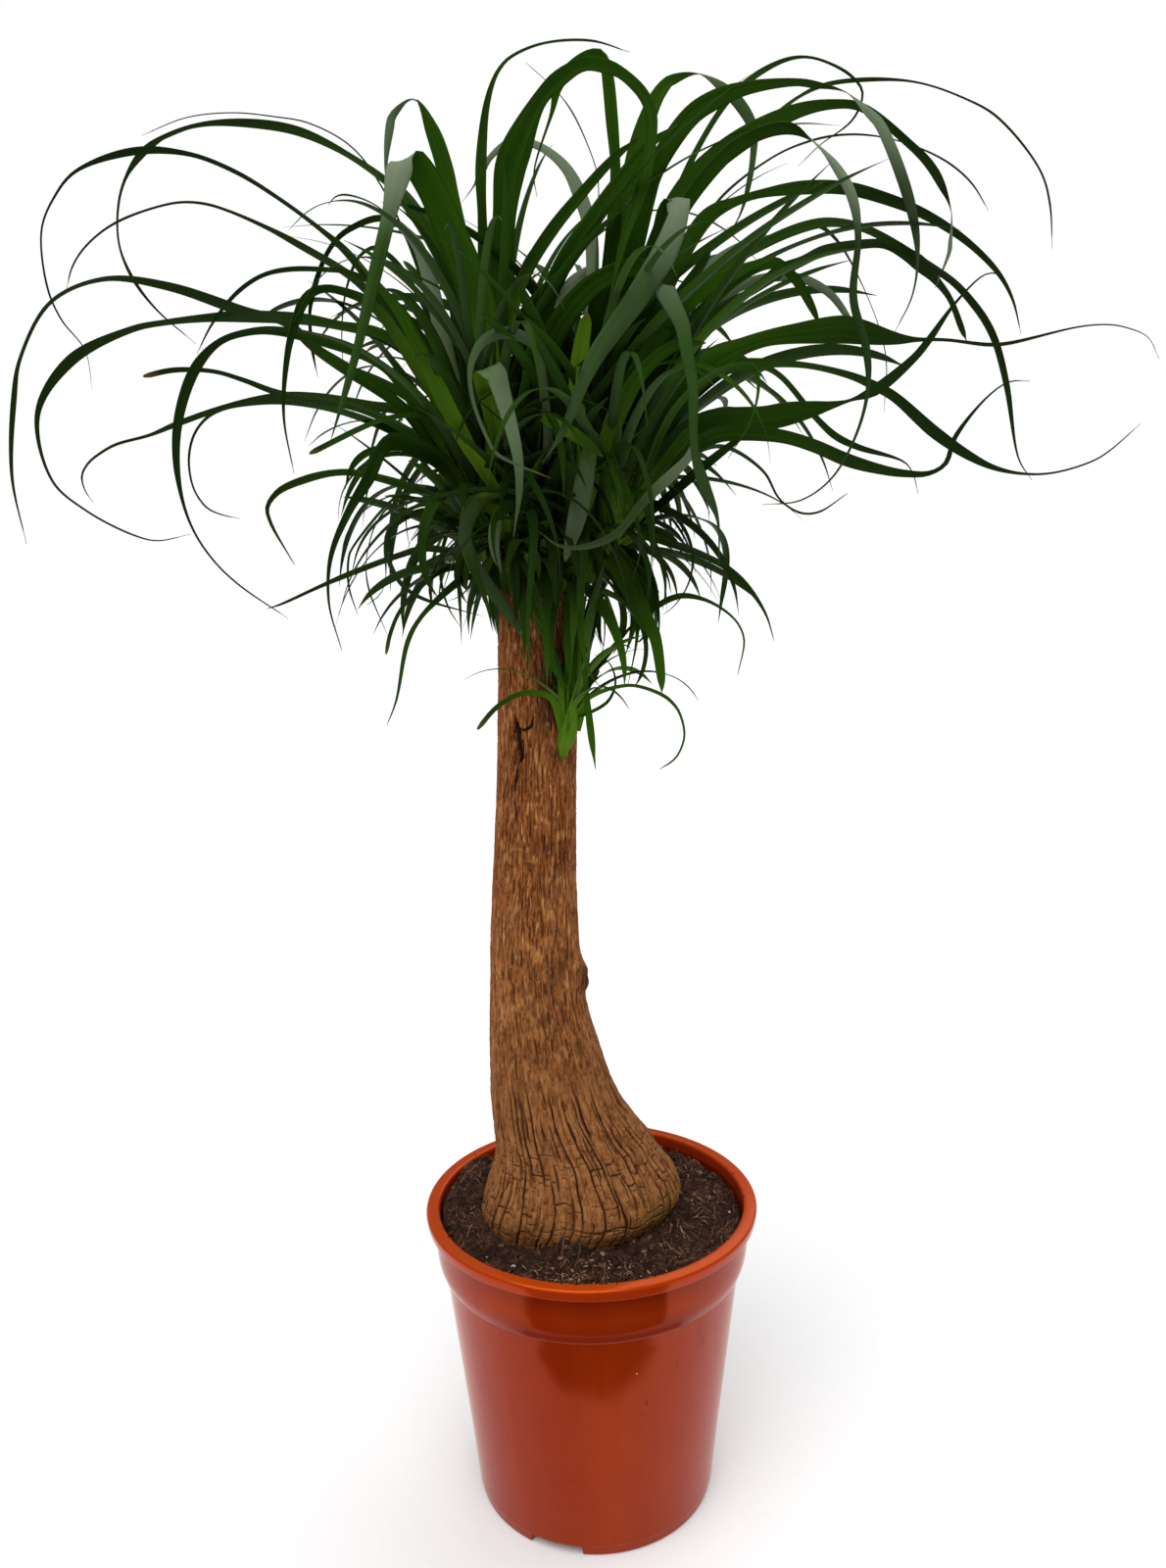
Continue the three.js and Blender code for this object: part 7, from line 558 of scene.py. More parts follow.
        [-45.6, 5.9, 670.7, 341, 87, 6, 116, 15.6, -18, -71], [-59.9, 9.8, 677.9, 163, 47, 14, 152, 11.2, 5, -5], [-58.9, 3.6, 682.2, 246, 50, 20, 76, 15.8, -13, 18], [-57.2, 4, 675.4, 228, 62, 43, 99, 15.3, -2, 46],
        [-42.3, 3.6, 664.6, 321, 69, 42, 78, 15.7, -11, -14], [-62.5, 12.4, 686.9, 135, 47, 12, 115, 14.6, 0, 9], [-64.6, 9.2, 714.8, 353, 82, 82, 114, 10.7, 7, -23], [-70.4, 11.5, 733.3, 22, 77, 62, 163, 10.4, 42, -22],
        [-68.4, 13.3, 721.5, 49, 83, 84, 114, 13.2, -10, 4], [-75.1, 13.8, 737.4, 92, 78, 80, 168, 12.8, -51, -16], [-70.2, 12.9, 707.8, 135, 82, 52, 162, 13.4, -33, -12], [-71.1, 5.6, 721, 272, 85, 77, 209, 9.2, -32, 50],
        [-64, 12.5, 710.9, 36, 77, 70, 112, 9.1, 43, 26], [-69.8, 8, 730.2, 330, 88, 76, 166, 13.4, -22, -59], [-63.8, 11.8, 711.3, 27, 66, 99, 291, 14.3, 13, -35], [-67.3, 13.7, 716.6, 56, 74, 90, 296, 11.7, -45, 12],
        [-58.7, 13.9, 686.4, 91, 77, 59, 301, 13.6, -27, 5], [-70.1, 12.1, 705.6, 147, 84, 105, 296, 14.7, -3, 28], [-62.7, 11.1, 709.1, 18, 64, 81, 195, 14.1, -15, 35], [-61, 14.1, 693.7, 80, 78, 56, 311, 13.9, -6, -9],
        [-70.4, 11.9, 706, 150, 68, 42, 238, 15.2, -16, 10], [-65.6, 9.6, 717.5, 356, 73, 88, 199, 15.4, -48, -3], [-62.5, 5, 686.9, 224, 79, 77, 196, 15.7, -13, 7], [-59.2, 7.9, 699.8, 344, 71, 49, 252, 12.5, 24, 26],
        [-63.1, 4, 692.8, 252, 83, 109, 196, 16.4, 18, -9], [-72.5, 5.7, 721.5, 255, 81, 100, 197, 12.4, 1, 14], [-64.6, 13, 692.8, 127, 67, 75, 203, 11.8, -5, 10], [-67.5, 13.8, 716.6, 59, 53, 104, 214, 10.7, -18, -54],
        [-69.5, 12, 729.2, 29, 43, 118, 239, 10.5, 24, -69], [-62.1, 14, 699, 71, 31, 150, 261, 13.2, -75, 19], [-69.6, 12.8, 727.4, 41, 68, 101, 249, 11.1, -44, 29], [-63.1, 13.6, 704.7, 58, 74, 149, 300, 9.8, -31, -32],
        [-67.3, 14.2, 706, 103, 33, 131, 273, 9.7, -15, -35], [-70.8, 13, 709.5, 135, 56, 120, 193, 11.4, -1, 23], [-69.5, 12.8, 727, 42, 58, 138, 241, 11.5, 6, 39], [-69, 14, 708.7, 113, 75, 87, 227, 13.1, 49, -5],
        [-71.6, 13.9, 728.8, 70, 42, 123, 249, 10.3, -1, -6], [-66.4, 12.5, 717.5, 35, 51, 115, 192, 11.8, 40, -24], [-69.1, 12.7, 704.3, 137, 38, 114, 214, 10.7, -14, -5], [-64.7, 12.7, 712.2, 40, 37, 117, 177, 9.9, -1, -63],
        [-57.9, 13.8, 686.4, 82, 13, 63, 173, 10.2, -53, -63], [-52.9, 11.8, 669.5, 126, 40, 105, 181, 9.1, -5, 68], [-54.3, 12.7, 683.9, 53, 33, 55, 213, 9, -22, -8], [-60.3, 12.5, 682.6, 131, 30, 104, 231, 11.4, 18, -47],
        [-60.8, 13.5, 686.9, 113, 37, 116, 134, 9.5, 96, 65], [-55.4, 12.4, 673.3, 123, 28, 109, 161, 11.8, 29, 62], [-65.2, 13.5, 711.3, 54, 18, 106, 183, 11.1, -16, 103], [-52.6, 8.7, 684.7, 2, 44, 132, 210, 10.7, -32, -90],
        [-74, 8.5, 716.2, 197, 64, 132, 120, 10, 66, -63], [-55.6, 8, 691.1, -9, 27, 132, 137, 11, 37, -66], [-68.1, 14.1, 707.3, 108, 54, 138, 221, 8.1, -2, -48], [-48.5, 5.4, 674.5, -29, 35, 133, 116, 7.5, 46, -92],
        [-58, 10.9, 696.3, 21, 58, 150, 148, 9, -36, 58], [-63.4, 11.4, 710.9, 22, 56, 141, 180, 8.2, 42, -123], [-56.2, 9.7, 692.4, 9, 60, 113, 131, 10.5, -6, 81], [-67.8, 7.6, 722, -33, 42, 164, 170, 9.3, 8, 1],
        [-67.8, 6.3, 699, -145, 50, 127, 118, 9.2, -52, 6], [-56.2, 4.1, 686.9, -61, 67, 121, 163, 11.7, -3, -6], [-61.4, 4.6, 684.7, -132, 43, 149, 94, 8.2, -85, -26], [-68.2, 5, 706.9, -111, 43, 188, 131, 11.3, -19, -53],
        [-66.4, 5, 710, -76, 45, 140, 193, 8.2, 43, 28], [-57.4, 12.6, 692, 45, -1, 80, 96, 11.6, -45, -76], [-57.7, 12.8, 692, 49, -23, 139, 111, 8.4, -62, 45], [-50.3, 5.5, 663.1, 194, 28, 80, 113, 10.8, -45, 96],
        [-51.1, 4.3, 677.9, 314, 28, 131, 132, 8.6, -114, 13], [-60.6, 3.9, 692.8, 280, -3, 128, 91, 11.2, -10, 51], [-58.2, 13.3, 691.6, 59, -17, 95, 121, 12, 7, -59], [-54, 12.9, 682.6, 58, 4, 124, 116, 8.1, 77, 30],
        [-57.3, 13.7, 682.2, 97, 10, 88, 137, 10.2, 36, -13], [-58, 12.5, 677.9, 127, 23, 91, 109, 8.2, -21, -41], [-55.3, 8.4, 690.7, 355, 19, 86, 112, 11.3, 0, -111], [-54.6, 13, 683.9, 58, 21, 134, 115, 9.8, 11, 100],
        [-59.2, 9.9, 700.3, 8, 69, 238, 82, 3.9, 97, -23], [-73.5, 8, 714.8, 203, 67, 163, 127, 4.9, -38, 137], [-53.1, 12.3, 682.2, 47, 11, 157, 126, 4.4, 15, -67], [-61.3, 3.8, 689, 252, 53, 227, 107, 5.6, 109, 35],
        [-70.6, 8.2, 705.1, 195, 38, 198, 125, 5.4, -187, 67],
    ],
    "shoot_right": [
        [-9.8, 2.9, 668.5, 284, 84, 16, 81, 15.7, 8, 0], [-15.3, 11.8, 670.4, 148, 58, 19, 77, 15.1, -3, 25], [-2.6, 12.2, 675.7, 33, 74, 20, 75, 16.5, 6, -24], [-3.5, 4, 677.7, 303, 56, 18, 89, 16.5, 5, 21],
        [-4.8, 5.5, 692.5, 217, 58, 16, 61, 16.9, 3, 37], [-17.4, 13.3, 662.2, 121, 83, 7, 109, 17.5, 4, -11], [-15.2, 6.9, 671.9, 198, 61, 15, 69, 13.6, -2, 14], [-17.3, 2.9, 660.8, 248, 74, 18, 106, 14.5, -14, -29],
        [-8.7, 4.8, 682.6, 225, 82, 20, 108, 15.1, -1, 24], [-13.2, 2.7, 662.2, 282, 70, 20, 103, 13.3, 7, -3], [-10.4, 4, 676.7, 237, 68, 11, 122, 11.2, -10, -7], [1.4, 12.7, 685.6, 39, 62, 34, 123, 12.4, -6, 38],
        [-8.1, 13.7, 669, 60, 40, 14, 77, 12, 12, -70], [-1.9, 8.1, 701.3, 189, 53, 30, 111, 11.7, -8, 51], [9.5, 3, 725.9, 267, 83, 28, 94, 13.9, -18, -1], [8.1, 13.5, 722.8, 100, 75, 36, 74, 13.4, -1, 43],
        [-6.7, 12.9, 669.5, 46, 64, 37, 93, 14.7, -8, -14], [-2, 9.6, 675.2, 7, 69, 12, 151, 11.3, -2, -9], [6.8, 14.1, 712.3, 87, 47, 36, 99, 11.4, -9, 35], [-1.6, 6.3, 677.2, 333, 50, 16, 77, 11.5, 11, -12],
        [6.1, 10.3, 729.6, 153, 77, 46, 141, 11.9, 5, -57], [-0.1, 14.5, 687.5, 68, 62, 43, 111, 14.4, 22, 10], [12.6, 3.2, 733.3, 284, 76, 75, 131, 10.3, 10, -31], [16.4, 5.5, 738, 328, 75, 63, 124, 13.5, -19, -6],
        [7.7, 11.7, 731.2, 132, 79, 38, 127, 12.3, 49, 16], [10.8, 6, 748.6, 209, 83, 82, 216, 13.8, -14, 29], [3, 9.4, 719.6, 169, 85, 85, 171, 10, -8, 16], [2, 7.1, 715.4, 195, 79, 62, 135, 13.1, 16, 6],
        [9.9, 10.3, 744.4, 149, 85, 57, 200, 10.1, 13, 11], [11.3, 6.9, 752.3, 196, 82, 72, 158, 12.4, -16, 17], [13.6, 5.5, 723.3, 328, 81, 76, 190, 16.9, -56, -21], [11.6, 12.7, 721.2, 56, 85, 77, 258, 13.8, 45, -15],
        [1.5, 11.8, 710.7, 146, 66, 73, 269, 13, -14, -13], [18.1, 9.9, 747, 26, 81, 59, 254, 12.2, -4, -2], [0.6, 11.2, 708.6, 154, 67, 48, 205, 13.9, 49, 43], [16.3, 6.6, 734.3, 343, 71, 89, 288, 15.8, 3, -8],
        [6.5, 6.9, 732.7, 193, 70, 63, 212, 13.4, 4, -12], [-1.2, 12.6, 700.4, 141, 70, 60, 262, 11.3, 18, -58], [1.7, 4.2, 705.5, 236, 75, 99, 217, 13.2, 38, -4], [0.9, 3.5, 698.9, 252, 75, 64, 198, 15.2, 3, 29],
        [11.8, 8.7, 711.3, 0, 71, 63, 236, 12.6, -14, -27], [-5.3, 11.3, 693, 156, 75, 88, 272, 12.6, -27, 29], [9.3, 13.5, 713.9, 64, 74, 72, 200, 13.2, -16, 37], [8.3, 13.9, 714.9, 78, 47, 95, 194, 12.5, 42, -34],
        [9.6, 10.5, 742.8, 146, 33, 122, 277, 12.9, -28, -9], [17.8, 10.5, 747.5, 35, 62, 94, 202, 12.2, 20, -58], [17.4, 11, 747.5, 44, 52, 125, 294, 11.6, -17, -2], [12.6, 11.4, 750.7, 125, 39, 122, 293, 9.9, 15, 2],
        [8.4, 11.1, 736.4, 140, 53, 132, 319, 9.6, -9, -18], [17, 11.4, 748.1, 53, 59, 117, 268, 10.9, -31, -10], [8, 13.1, 725.4, 108, 45, 114, 204, 10.8, 4, -37], [11, 10.9, 747, 138, 74, 87, 311, 11.9, 70, -30],
        [6.8, 14.2, 707.6, 75, 64, 149, 211, 11.5, 2, -2], [8.3, 11.7, 733.8, 131, 70, 104, 220, 12.2, -31, 0], [10.2, 12.8, 732.7, 104, 57, 95, 216, 13.5, -23, 29], [-1.7, 14.9, 688.5, 87, 20, 83, 134, 11.8, -17, -8],
        [-1.1, 12.9, 699.9, 137, 26, 75, 159, 8.3, -99, 88], [3.5, 11.6, 718.1, 144, 12, 71, 235, 10.1, -58, -40], [-4, 11.4, 672.3, 26, 28, 87, 130, 9.5, 35, -53], [10.5, 13.3, 723.3, 75, 27, 92, 218, 11.7, 8, 43],
        [-16.8, 10.6, 668.5, 160, 21, 80, 167, 9.4, -13, 12], [-1.1, 14.7, 693, 102, 32, 94, 125, 10.7, 14, 24], [-2.2, 14.9, 687, 86, 6, 64, 154, 9.4, -35, -17], [7, 14.1, 712.8, 85, 59, 137, 129, 9.1, -79, -21],
        [8.3, 13.1, 703.9, 48, 35, 100, 133, 8, 39, 40], [9.2, 13.3, 710.7, 55, 40, 138, 209, 10.9, -15, 33], [9, 13, 729.1, 107, 24, 161, 208, 10.7, -45, 7], [5.1, 13, 718.1, 121, 50, 127, 256, 10.3, 39, -44],
        [14.2, 10.3, 724.3, 23, 43, 119, 127, 8.2, 55, -145], [6.1, 9.5, 730.6, 163, 22, 151, 185, 7.2, 26, -84], [6.4, 12.5, 724.3, 124, 50, 138, 175, 8.9, 15, 117], [-4.1, 3.1, 681.6, -82, 38, 189, 194, 8.7, -53, 2],
        [10.4, 4.8, 743.8, -135, 69, 156, 148, 11.7, -43, 14], [0, 4.4, 700.8, -127, 52, 133, 158, 8.9, 59, -74], [15.3, 3.9, 742.8, -65, 64, 154, 197, 11.9, 87, 33], [-8.5, 4, 681.1, -124, 40, 112, 154, 8.3, -3, 26],
        [5.5, 3.8, 699.9, -65, 36, 108, 157, 9.4, -35, 52], [1.8, 8.3, 683.6, 353, -8, 89, 90, 12.8, 119, 123], [1.8, 10.8, 684.1, 18, 20, 98, 100, 9, 54, 120], [-1.2, 5.2, 679.6, 320, 21, 140, 120, 12.1, -43, 131],
        [-2.5, 11.9, 675.7, 30, -11, 130, 84, 9.9, -99, 90], [-1.1, 7.7, 677.2, 347, -7, 138, 88, 8.8, 92, -88], [-2, 13.9, 680.6, 56, 30, 111, 104, 10.1, -29, 91], [-11.6, 14.5, 669.5, 98, 5, 83, 120, 11.5, -130, 2],
        [-8.8, 14.7, 672.8, 87, 20, 99, 84, 10.9, 32, -14], [-11.9, 14.2, 671.9, 114, -1, 105, 119, 10.9, 32, -21], [-11.3, 14.5, 669.5, 95, 32, 79, 68, 8.9, 25, -6], [4.2, 6.5, 690.5, 334, 24, 70, 90, 10.4, -52, -120],
        [-6.1, 8.4, 667, 359, 39, 160, 104, 4, -165, 100], [13.3, 9.3, 718.6, 10, 58, 205, 103, 5.5, 49, -134], [12.3, 10.7, 716, 23, 21, 185, 143, 4.9, -81, -98], [2.1, 3.6, 692.5, 293, 16, 230, 86, 5.1, 139, -26],
        [8.8, 4.5, 707.1, 309, 0, 157, 142, 5.7, -49, 27],
    ],
    "shoot_lower_right": [
        [6.6, -8.6, 677.7, 110, 78, 13, 65, 17.6, -2, -39], [8.7, -10.1, 682, 132, 64, 10, 117, 15.1, -1, -38], [-7.4, -6.5, 659.7, 80, 66, 17, 100, 13.9, 10, -4], [5.1, -13.9, 679.9, 183, 67, 23, 86, 17.6, -3, -4],
        [-8, -8.7, 663.8, 142, 60, 26, 111, 15.3, -9, -59], [7.5, -8.1, 676.4, 87, 66, 20, 57, 16.6, -6, -10], [-0.7, -14.1, 673, 195, 71, 21, 119, 15.2, 7, -27], [5, -8, 671.8, 68, 59, 10, 85, 14.9, -12, -26],
        [0.3, -17.4, 669.3, 263, 58, 30, 111, 16.7, 9, -52], [3, -11.6, 677.1, 160, 87, 10, 64, 16.8, 8, -11], [20.1, -19.3, 693.7, 270, 51, 6, 88, 13.7, 19, 16], [-2.2, -14.8, 662.4, 316, 80, 30, 76, 13.9, -10, 2],
        [12.6, -9.8, 686.1, 120, 80, 49, 123, 13.1, 8, -7], [9.5, -18.1, 677.1, 290, 84, 11, 84, 12.5, 6, 25], [-6.6, -16, 661.2, 273, 55, 33, 90, 12.1, 1, 1], [0.7, -15.6, 674, 211, 74, 47, 140, 12, -7, -29],
        [29.9, -15.6, 702.6, 354, 85, 19, 112, 11, -5, 1], [-4.2, -14.7, 668.7, 208, 60, 38, 151, 13.5, 11, 3], [9.6, -12.8, 673.3, 0, 44, 9, 135, 15.8, -12, 61], [-2.6, -6.9, 665, 85, 64, 7, 154, 11.8, 4, 64],
        [19.7, -18.1, 688.5, 309, 71, 50, 155, 12.2, -2, 0], [5.1, -11.2, 668.4, 12, 78, 41, 134, 12.4, 14, 39], [16.5, -10.2, 691.6, 118, 79, 72, 129, 11.7, 21, 2], [26.3, -11.8, 697.9, 42, 89, 45, 146, 12.8, -20, 9],
        [21.4, -10.5, 697.9, 110, 82, 49, 215, 10.8, -3, -43], [18.6, -12.2, 697.2, 146, 89, 61, 135, 13, -51, 18], [24.4, -18.7, 706.9, 233, 77, 64, 165, 9.6, -11, 26], [21.2, -10, 693.7, 77, 78, 39, 184, 9.1, 21, -16],
        [32.2, -14.8, 711.3, 11, 85, 42, 130, 12.7, 32, -22], [31, -12.3, 714.8, 65, 78, 65, 125, 11, -17, 17], [14.9, -16.2, 680.2, 330, 73, 40, 267, 12.1, -1, -18], [6.2, -8.1, 673.3, 70, 84, 51, 287, 11.6, -12, -28],
        [21.6, -11.9, 689.5, 30, 72, 93, 212, 13, 66, -15], [24.2, -12.5, 693.4, 26, 84, 98, 281, 14.4, -20, -68], [25.7, -11.3, 706.9, 106, 83, 82, 298, 12.5, -20, 22], [4.3, -13.1, 678.9, 175, 67, 49, 220, 13.8, -12, -5],
        [25.6, -11.1, 705.7, 102, 85, 105, 301, 12.2, 1, -15], [25.4, -11.6, 696.5, 43, 82, 73, 299, 14.2, 20, -68], [18.3, -18.7, 694.4, 240, 67, 67, 253, 12.5, 3, -24], [19.4, -12.8, 685.4, 16, 68, 88, 287, 16.5, 12, -87],
        [0.9, -7.9, 671.5, 113, 76, 62, 202, 12.7, 13, -10], [31, -17.8, 709.3, 325, 78, 88, 234, 14.8, -15, -18], [14, -9, 684.7, 91, 75, 66, 275, 13, -54, 9], [26.2, -10.7, 700.6, 71, 51, 118, 229, 10.4, 5, -27],
        [13.2, -10.8, 688.5, 134, 56, 127, 258, 12.9, -4, -5], [17.5, -11.6, 695.1, 139, 72, 87, 351, 13.9, 4, -78], [26.5, -12, 697.9, 37, 66, 97, 211, 10.7, 38, -14], [26.3, -13.1, 714.1, 137, 73, 108, 205, 12.6, -20, 10],
        [9, -8.5, 679.2, 98, 56, 130, 261, 9.8, 23, -71], [25.2, -13.9, 712.9, 153, 75, 131, 336, 10.3, -30, -27], [25.9, -11.7, 709.3, 114, 61, 102, 262, 13.1, -32, -42], [19.6, -11.9, 698.2, 140, 52, 126, 342, 11, -32, 21],
        [18.1, -9.5, 689.5, 81, 45, 126, 196, 10.9, 38, 15], [5.8, -8.5, 676.8, 110, 67, 91, 197, 9.1, -1, 68], [14.7, -9.1, 684.4, 81, 55, 127, 205, 13.7, -22, 51], [6, -9, 678, 120, 17, 101, 126, 8.1, -4, 67],
        [20.8, -10, 692.3, 71, 14, 116, 145, 11.6, -20, 45], [13.8, -10.3, 688.5, 126, 20, 120, 157, 11.5, -62, 74], [19.3, -11.6, 686.1, 31, 33, 117, 198, 11.6, 99, 51], [18.4, -9.7, 691.6, 94, 24, 91, 149, 10.4, 57, 25],
        [-10.7, -7.3, 660, 126, 29, 59, 191, 10.1, 30, 90], [9.1, -8.4, 677.1, 74, 34, 61, 150, 9.6, -8, 38], [15.5, -13.6, 693.7, 168, 18, 88, 115, 10.4, -64, 98], [20.2, -12.1, 699.2, 142, 38, 133, 150, 10.1, -15, 55],
        [-5.4, -7.9, 665.6, 127, 39, 97, 148, 10.2, 3, -8], [-0.9, -11.2, 672.7, 162, 62, 127, 238, 8, -83, -64], [14, -16.6, 690.9, 207, 38, 114, 220, 8, 12, 58], [-3.5, -13.5, 669.9, 192, 57, 101, 130, 9.4, -46, 64],
        [21, -10, 694.7, 88, 38, 96, 115, 8.1, 4, 52], [1.9, -12.7, 676.1, 174, 56, 125, 173, 10.4, -85, 125], [23.2, -10.8, 694, 53, 63, 90, 149, 10.3, -5, -54], [21.5, -19.3, 695.1, -85, 67, 174, 193, 11.5, 17, -47],
        [-4.9, -14.8, 667.7, -150, 59, 128, 194, 8.4, -87, 8], [25.6, -19.2, 707.7, -112, 72, 190, 95, 9.6, 0, 39], [15.9, -19.2, 687.1, -89, 71, 159, 147, 10.5, 17, -41], [4.8, -17, 670.8, -60, 62, 176, 132, 7.4, 16, 22],
        [25.4, -19.4, 704.1, -98, 53, 174, 140, 7.6, 83, 9], [7.8, -18.4, 677.4, 267, 27, 73, 74, 9.3, 37, -21], [4.4, -7.8, 671.2, 69, -17, 130, 66, 8.1, 55, 50], [0, -8.4, 671.5, 123, 34, 111, 114, 10.3, -67, 60],
        [-9.8, -15.2, 657.7, 277, 22, 89, 122, 11, -18, -4], [-0.2, -11.6, 673.6, 165, 31, 130, 122, 10.5, -47, 58], [-4.1, -15.6, 661.8, 297, -5, 93, 96, 11.5, 27, 32], [0.3, -17.4, 669.9, 257, -21, 94, 87, 12.6, 4, -17],
        [2.9, -16.8, 675.5, 226, -3, 88, 113, 11.4, 68, -83], [-5.7, -11.9, 658, 345, 7, 144, 99, 12.7, -38, -92], [-11.2, -15.1, 657.7, 259, 25, 146, 115, 12.1, 20, 69], [8.5, -8.4, 678.6, 97, -2, 125, 117, 10.4, 62, -43],
        [8.1, -9.4, 680.5, 122, 26, 209, 145, 4.1, 110, 64], [15.6, -12, 680.5, 19, 68, 163, 83, 5.5, -51, -103], [13.5, -16.6, 678.9, 323, 13, 274, 132, 4, -86, 94], [16.7, -10, 691.3, 113, 63, 182, 140, 4.1, -146, 33],
        [4.5, -8.1, 674.9, 105, 46, 216, 149, 5.6, 45, -51],
    ],
    "shoot_side": [
        [-6.1, -30, 573.2, -7, 84, 7, 81, 12.7, 10, -65], [-11.1, -25.7, 550.5, -31, 82, 11, 108, 9.1, 7, 37], [-6, -29.3, 575.3, 10, 83, 11, 119, 9.2, -4, 2], [-10.2, -30.7, 558.6, -54, 76, 22, 85, 10.3, 2, 33],
        [-7.2, -31.9, 571.8, -47, 83, 12, 126, 12.4, 7, 47], [-7.6, -26.8, 573.8, 58, 77, 19, 111, 10.3, -5, 57], [-6.7, -28.1, 577.8, 46, 84, 21, 86, 11.3, -6, -19], [-7, -32.3, 575.9, -48, 78, 17, 109, 12.3, -9, -2],
        [-7.2, -26.6, 569.1, 41, 78, 15, 101, 11.5, 4, 32], [-5.8, -31.4, 581.3, -16, 76, 67, 73, 9.5, -8, -31], [-6.6, -28.1, 577.2, 41, 77, 102, 90, 9.9, 27, -17], [-7.2, -27.2, 574.3, 50, 62, 84, 74, 7.1, 74, 21],
        [-5.9, -29.6, 576.7, 8, 56, 116, 108, 8.3, 31, -3], [-7.7, -26.2, 566.3, 38, 79, 130, 96, 9.5, 0, -58],
    ],
}


# ------------------------------------------------------------------ noise
def hash01(ix, iy, seed):
    h = (ix.astype(np.int64) * 374761393 + iy.astype(np.int64) * 668265263 + seed * 974634777) & 0xFFFFFFFF
    h = ((h ^ (h >> 13)) * 1274126177) & 0xFFFFFFFF
    h = ((h ^ (h >> 15)) * 2246822519) & 0xFFFFFFFF
    return ((h ^ (h >> 16)) & 0xFFFFFF) / float(0x1000000)


def vnoise(x, y, seed, period=0):
    """Smooth value noise from -1 to 1, repeating along x every period cells if a period is given."""
    x0, y0 = np.floor(x), np.floor(y)
    fx, fy = x - x0, y - y0
    fx, fy = fx * fx * fx * (fx * (fx * 6 - 15) + 10), fy * fy * fy * (fy * (fy * 6 - 15) + 10)
    wrap = (lambda v: np.mod(v, period)) if period else (lambda v: v)
    a, b = hash01(wrap(x0), y0, seed), hash01(wrap(x0 + 1), y0, seed)
    c, d = hash01(wrap(x0), y0 + 1, seed), hash01(wrap(x0 + 1), y0 + 1, seed)
    return 2 * ((a * (1 - fx) + b * fx) * (1 - fy) + (c * (1 - fx) + d * fx) * fy) - 1


def fbm(x, y, seed, octaves=4, period=0, gain=0.5):
    out, amp, tot = 0.0, 1.0, 0.0
    for o in range(octaves):
        out = out + amp * vnoise(x * 2**o, y * 2**o, seed + 17 * o, period * 2**o)
        tot += amp
        amp *= gain
    return out / tot


def cells(x, y, seed, period=0, jitter=0.85):
    """Distance to the nearest and second nearest of scattered points, and the nearest one's random number."""
    x0, y0 = np.floor(x), np.floor(y)
    f1 = np.full(x.shape, 9.0)
    f2 = np.full(x.shape, 9.0)
    who = np.zeros(x.shape)
    for dx in (-1, 0, 1):
        for dy in (-1, 0, 1):
            cx, cy = x0 + dx, y0 + dy
            kx = np.mod(cx, period) if period else cx
            px = cx + 0.5 + jitter * (hash01(kx, cy, seed) - 0.5)
            py = cy + 0.5 + jitter * (hash01(kx, cy, seed + 5) - 0.5)
            d = np.hypot(x - px, y - py)
            nearer = d < f1
            f2 = np.where(nearer, f1, np.minimum(f2, d))
            who = np.where(nearer, hash01(kx, cy, seed + 9), who)
            f1 = np.where(nearer, d, f1)
    return f1, f2, who


def smoothstep(e0, e1, x):
    t = np.clip((x - e0) / (e1 - e0), 0, 1)
    return t * t * (3 - 2 * t)


def unit(v):
    v = np.asarray(v, float)
    return v / (np.linalg.norm(v, axis=-1, keepdims=True) + 1e-12)


# ------------------------------------------------------------------ meshes
def make_mesh(name, verts_mm, faces, material, attributes=None, smooth=True):
    """A mesh piece on the part's body, from points in millimetres and faces of three or four corners."""
    v = np.asarray(verts_mm, float) * MM
    quads = [np.asarray(f, np.int64) for f in faces if len(f)]
    loops = np.concatenate([f.ravel() for f in quads])
    sizes = np.concatenate([np.full(len(f), f.shape[1]) for f in quads])
    starts = np.concatenate([[0], np.cumsum(sizes)[:-1]])
    me = bpy.data.meshes.new(name)
    me.vertices.add(len(v))
    me.vertices.foreach_set("co", v.astype(np.float32).ravel())
    me.loops.add(len(loops))
    me.loops.foreach_set("vertex_index", loops.astype(np.int32))
    me.polygons.add(len(sizes))
    me.polygons.foreach_set("loop_start", starts.astype(np.int32))
    me.polygons.foreach_set("use_smooth", np.full(len(sizes), smooth))
    me.update(calc_edges=True)
    me.validate()
    for key, values in (attributes or {}).items():
        a = me.attributes.new(key, "FLOAT_COLOR", "POINT")
        a.data.foreach_set("color", np.asarray(values, np.float32).ravel())
    me.materials.append(material)
    ob = bpy.data.objects.new(name, me)
    bpy.context.scene.collection.objects.link(ob)
    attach(ob, BODY)
    return ob


def grid_faces(rows, cols, wrap=True, offset=0):
    """Quads over a grid of points stored row by row."""
    i = np.arange(rows - 1)[:, None]
    j = np.arange(cols if wrap else cols - 1)[None, :]
    k = (j + 1) % cols
    a, b, c, d = i * cols + j, i * cols + k, (i + 1) * cols + k, (i + 1) * cols + j
    return np.stack([a, b, c, d], -1).reshape(-1, 4) + offset


def fan(start, cols, centre, flip):
    j = np.arange(cols)
    k = (j + 1) % cols
    f = np.stack([np.full(cols, centre), start + j, start + k], -1)
    return f[:, ::-1] if flip else f


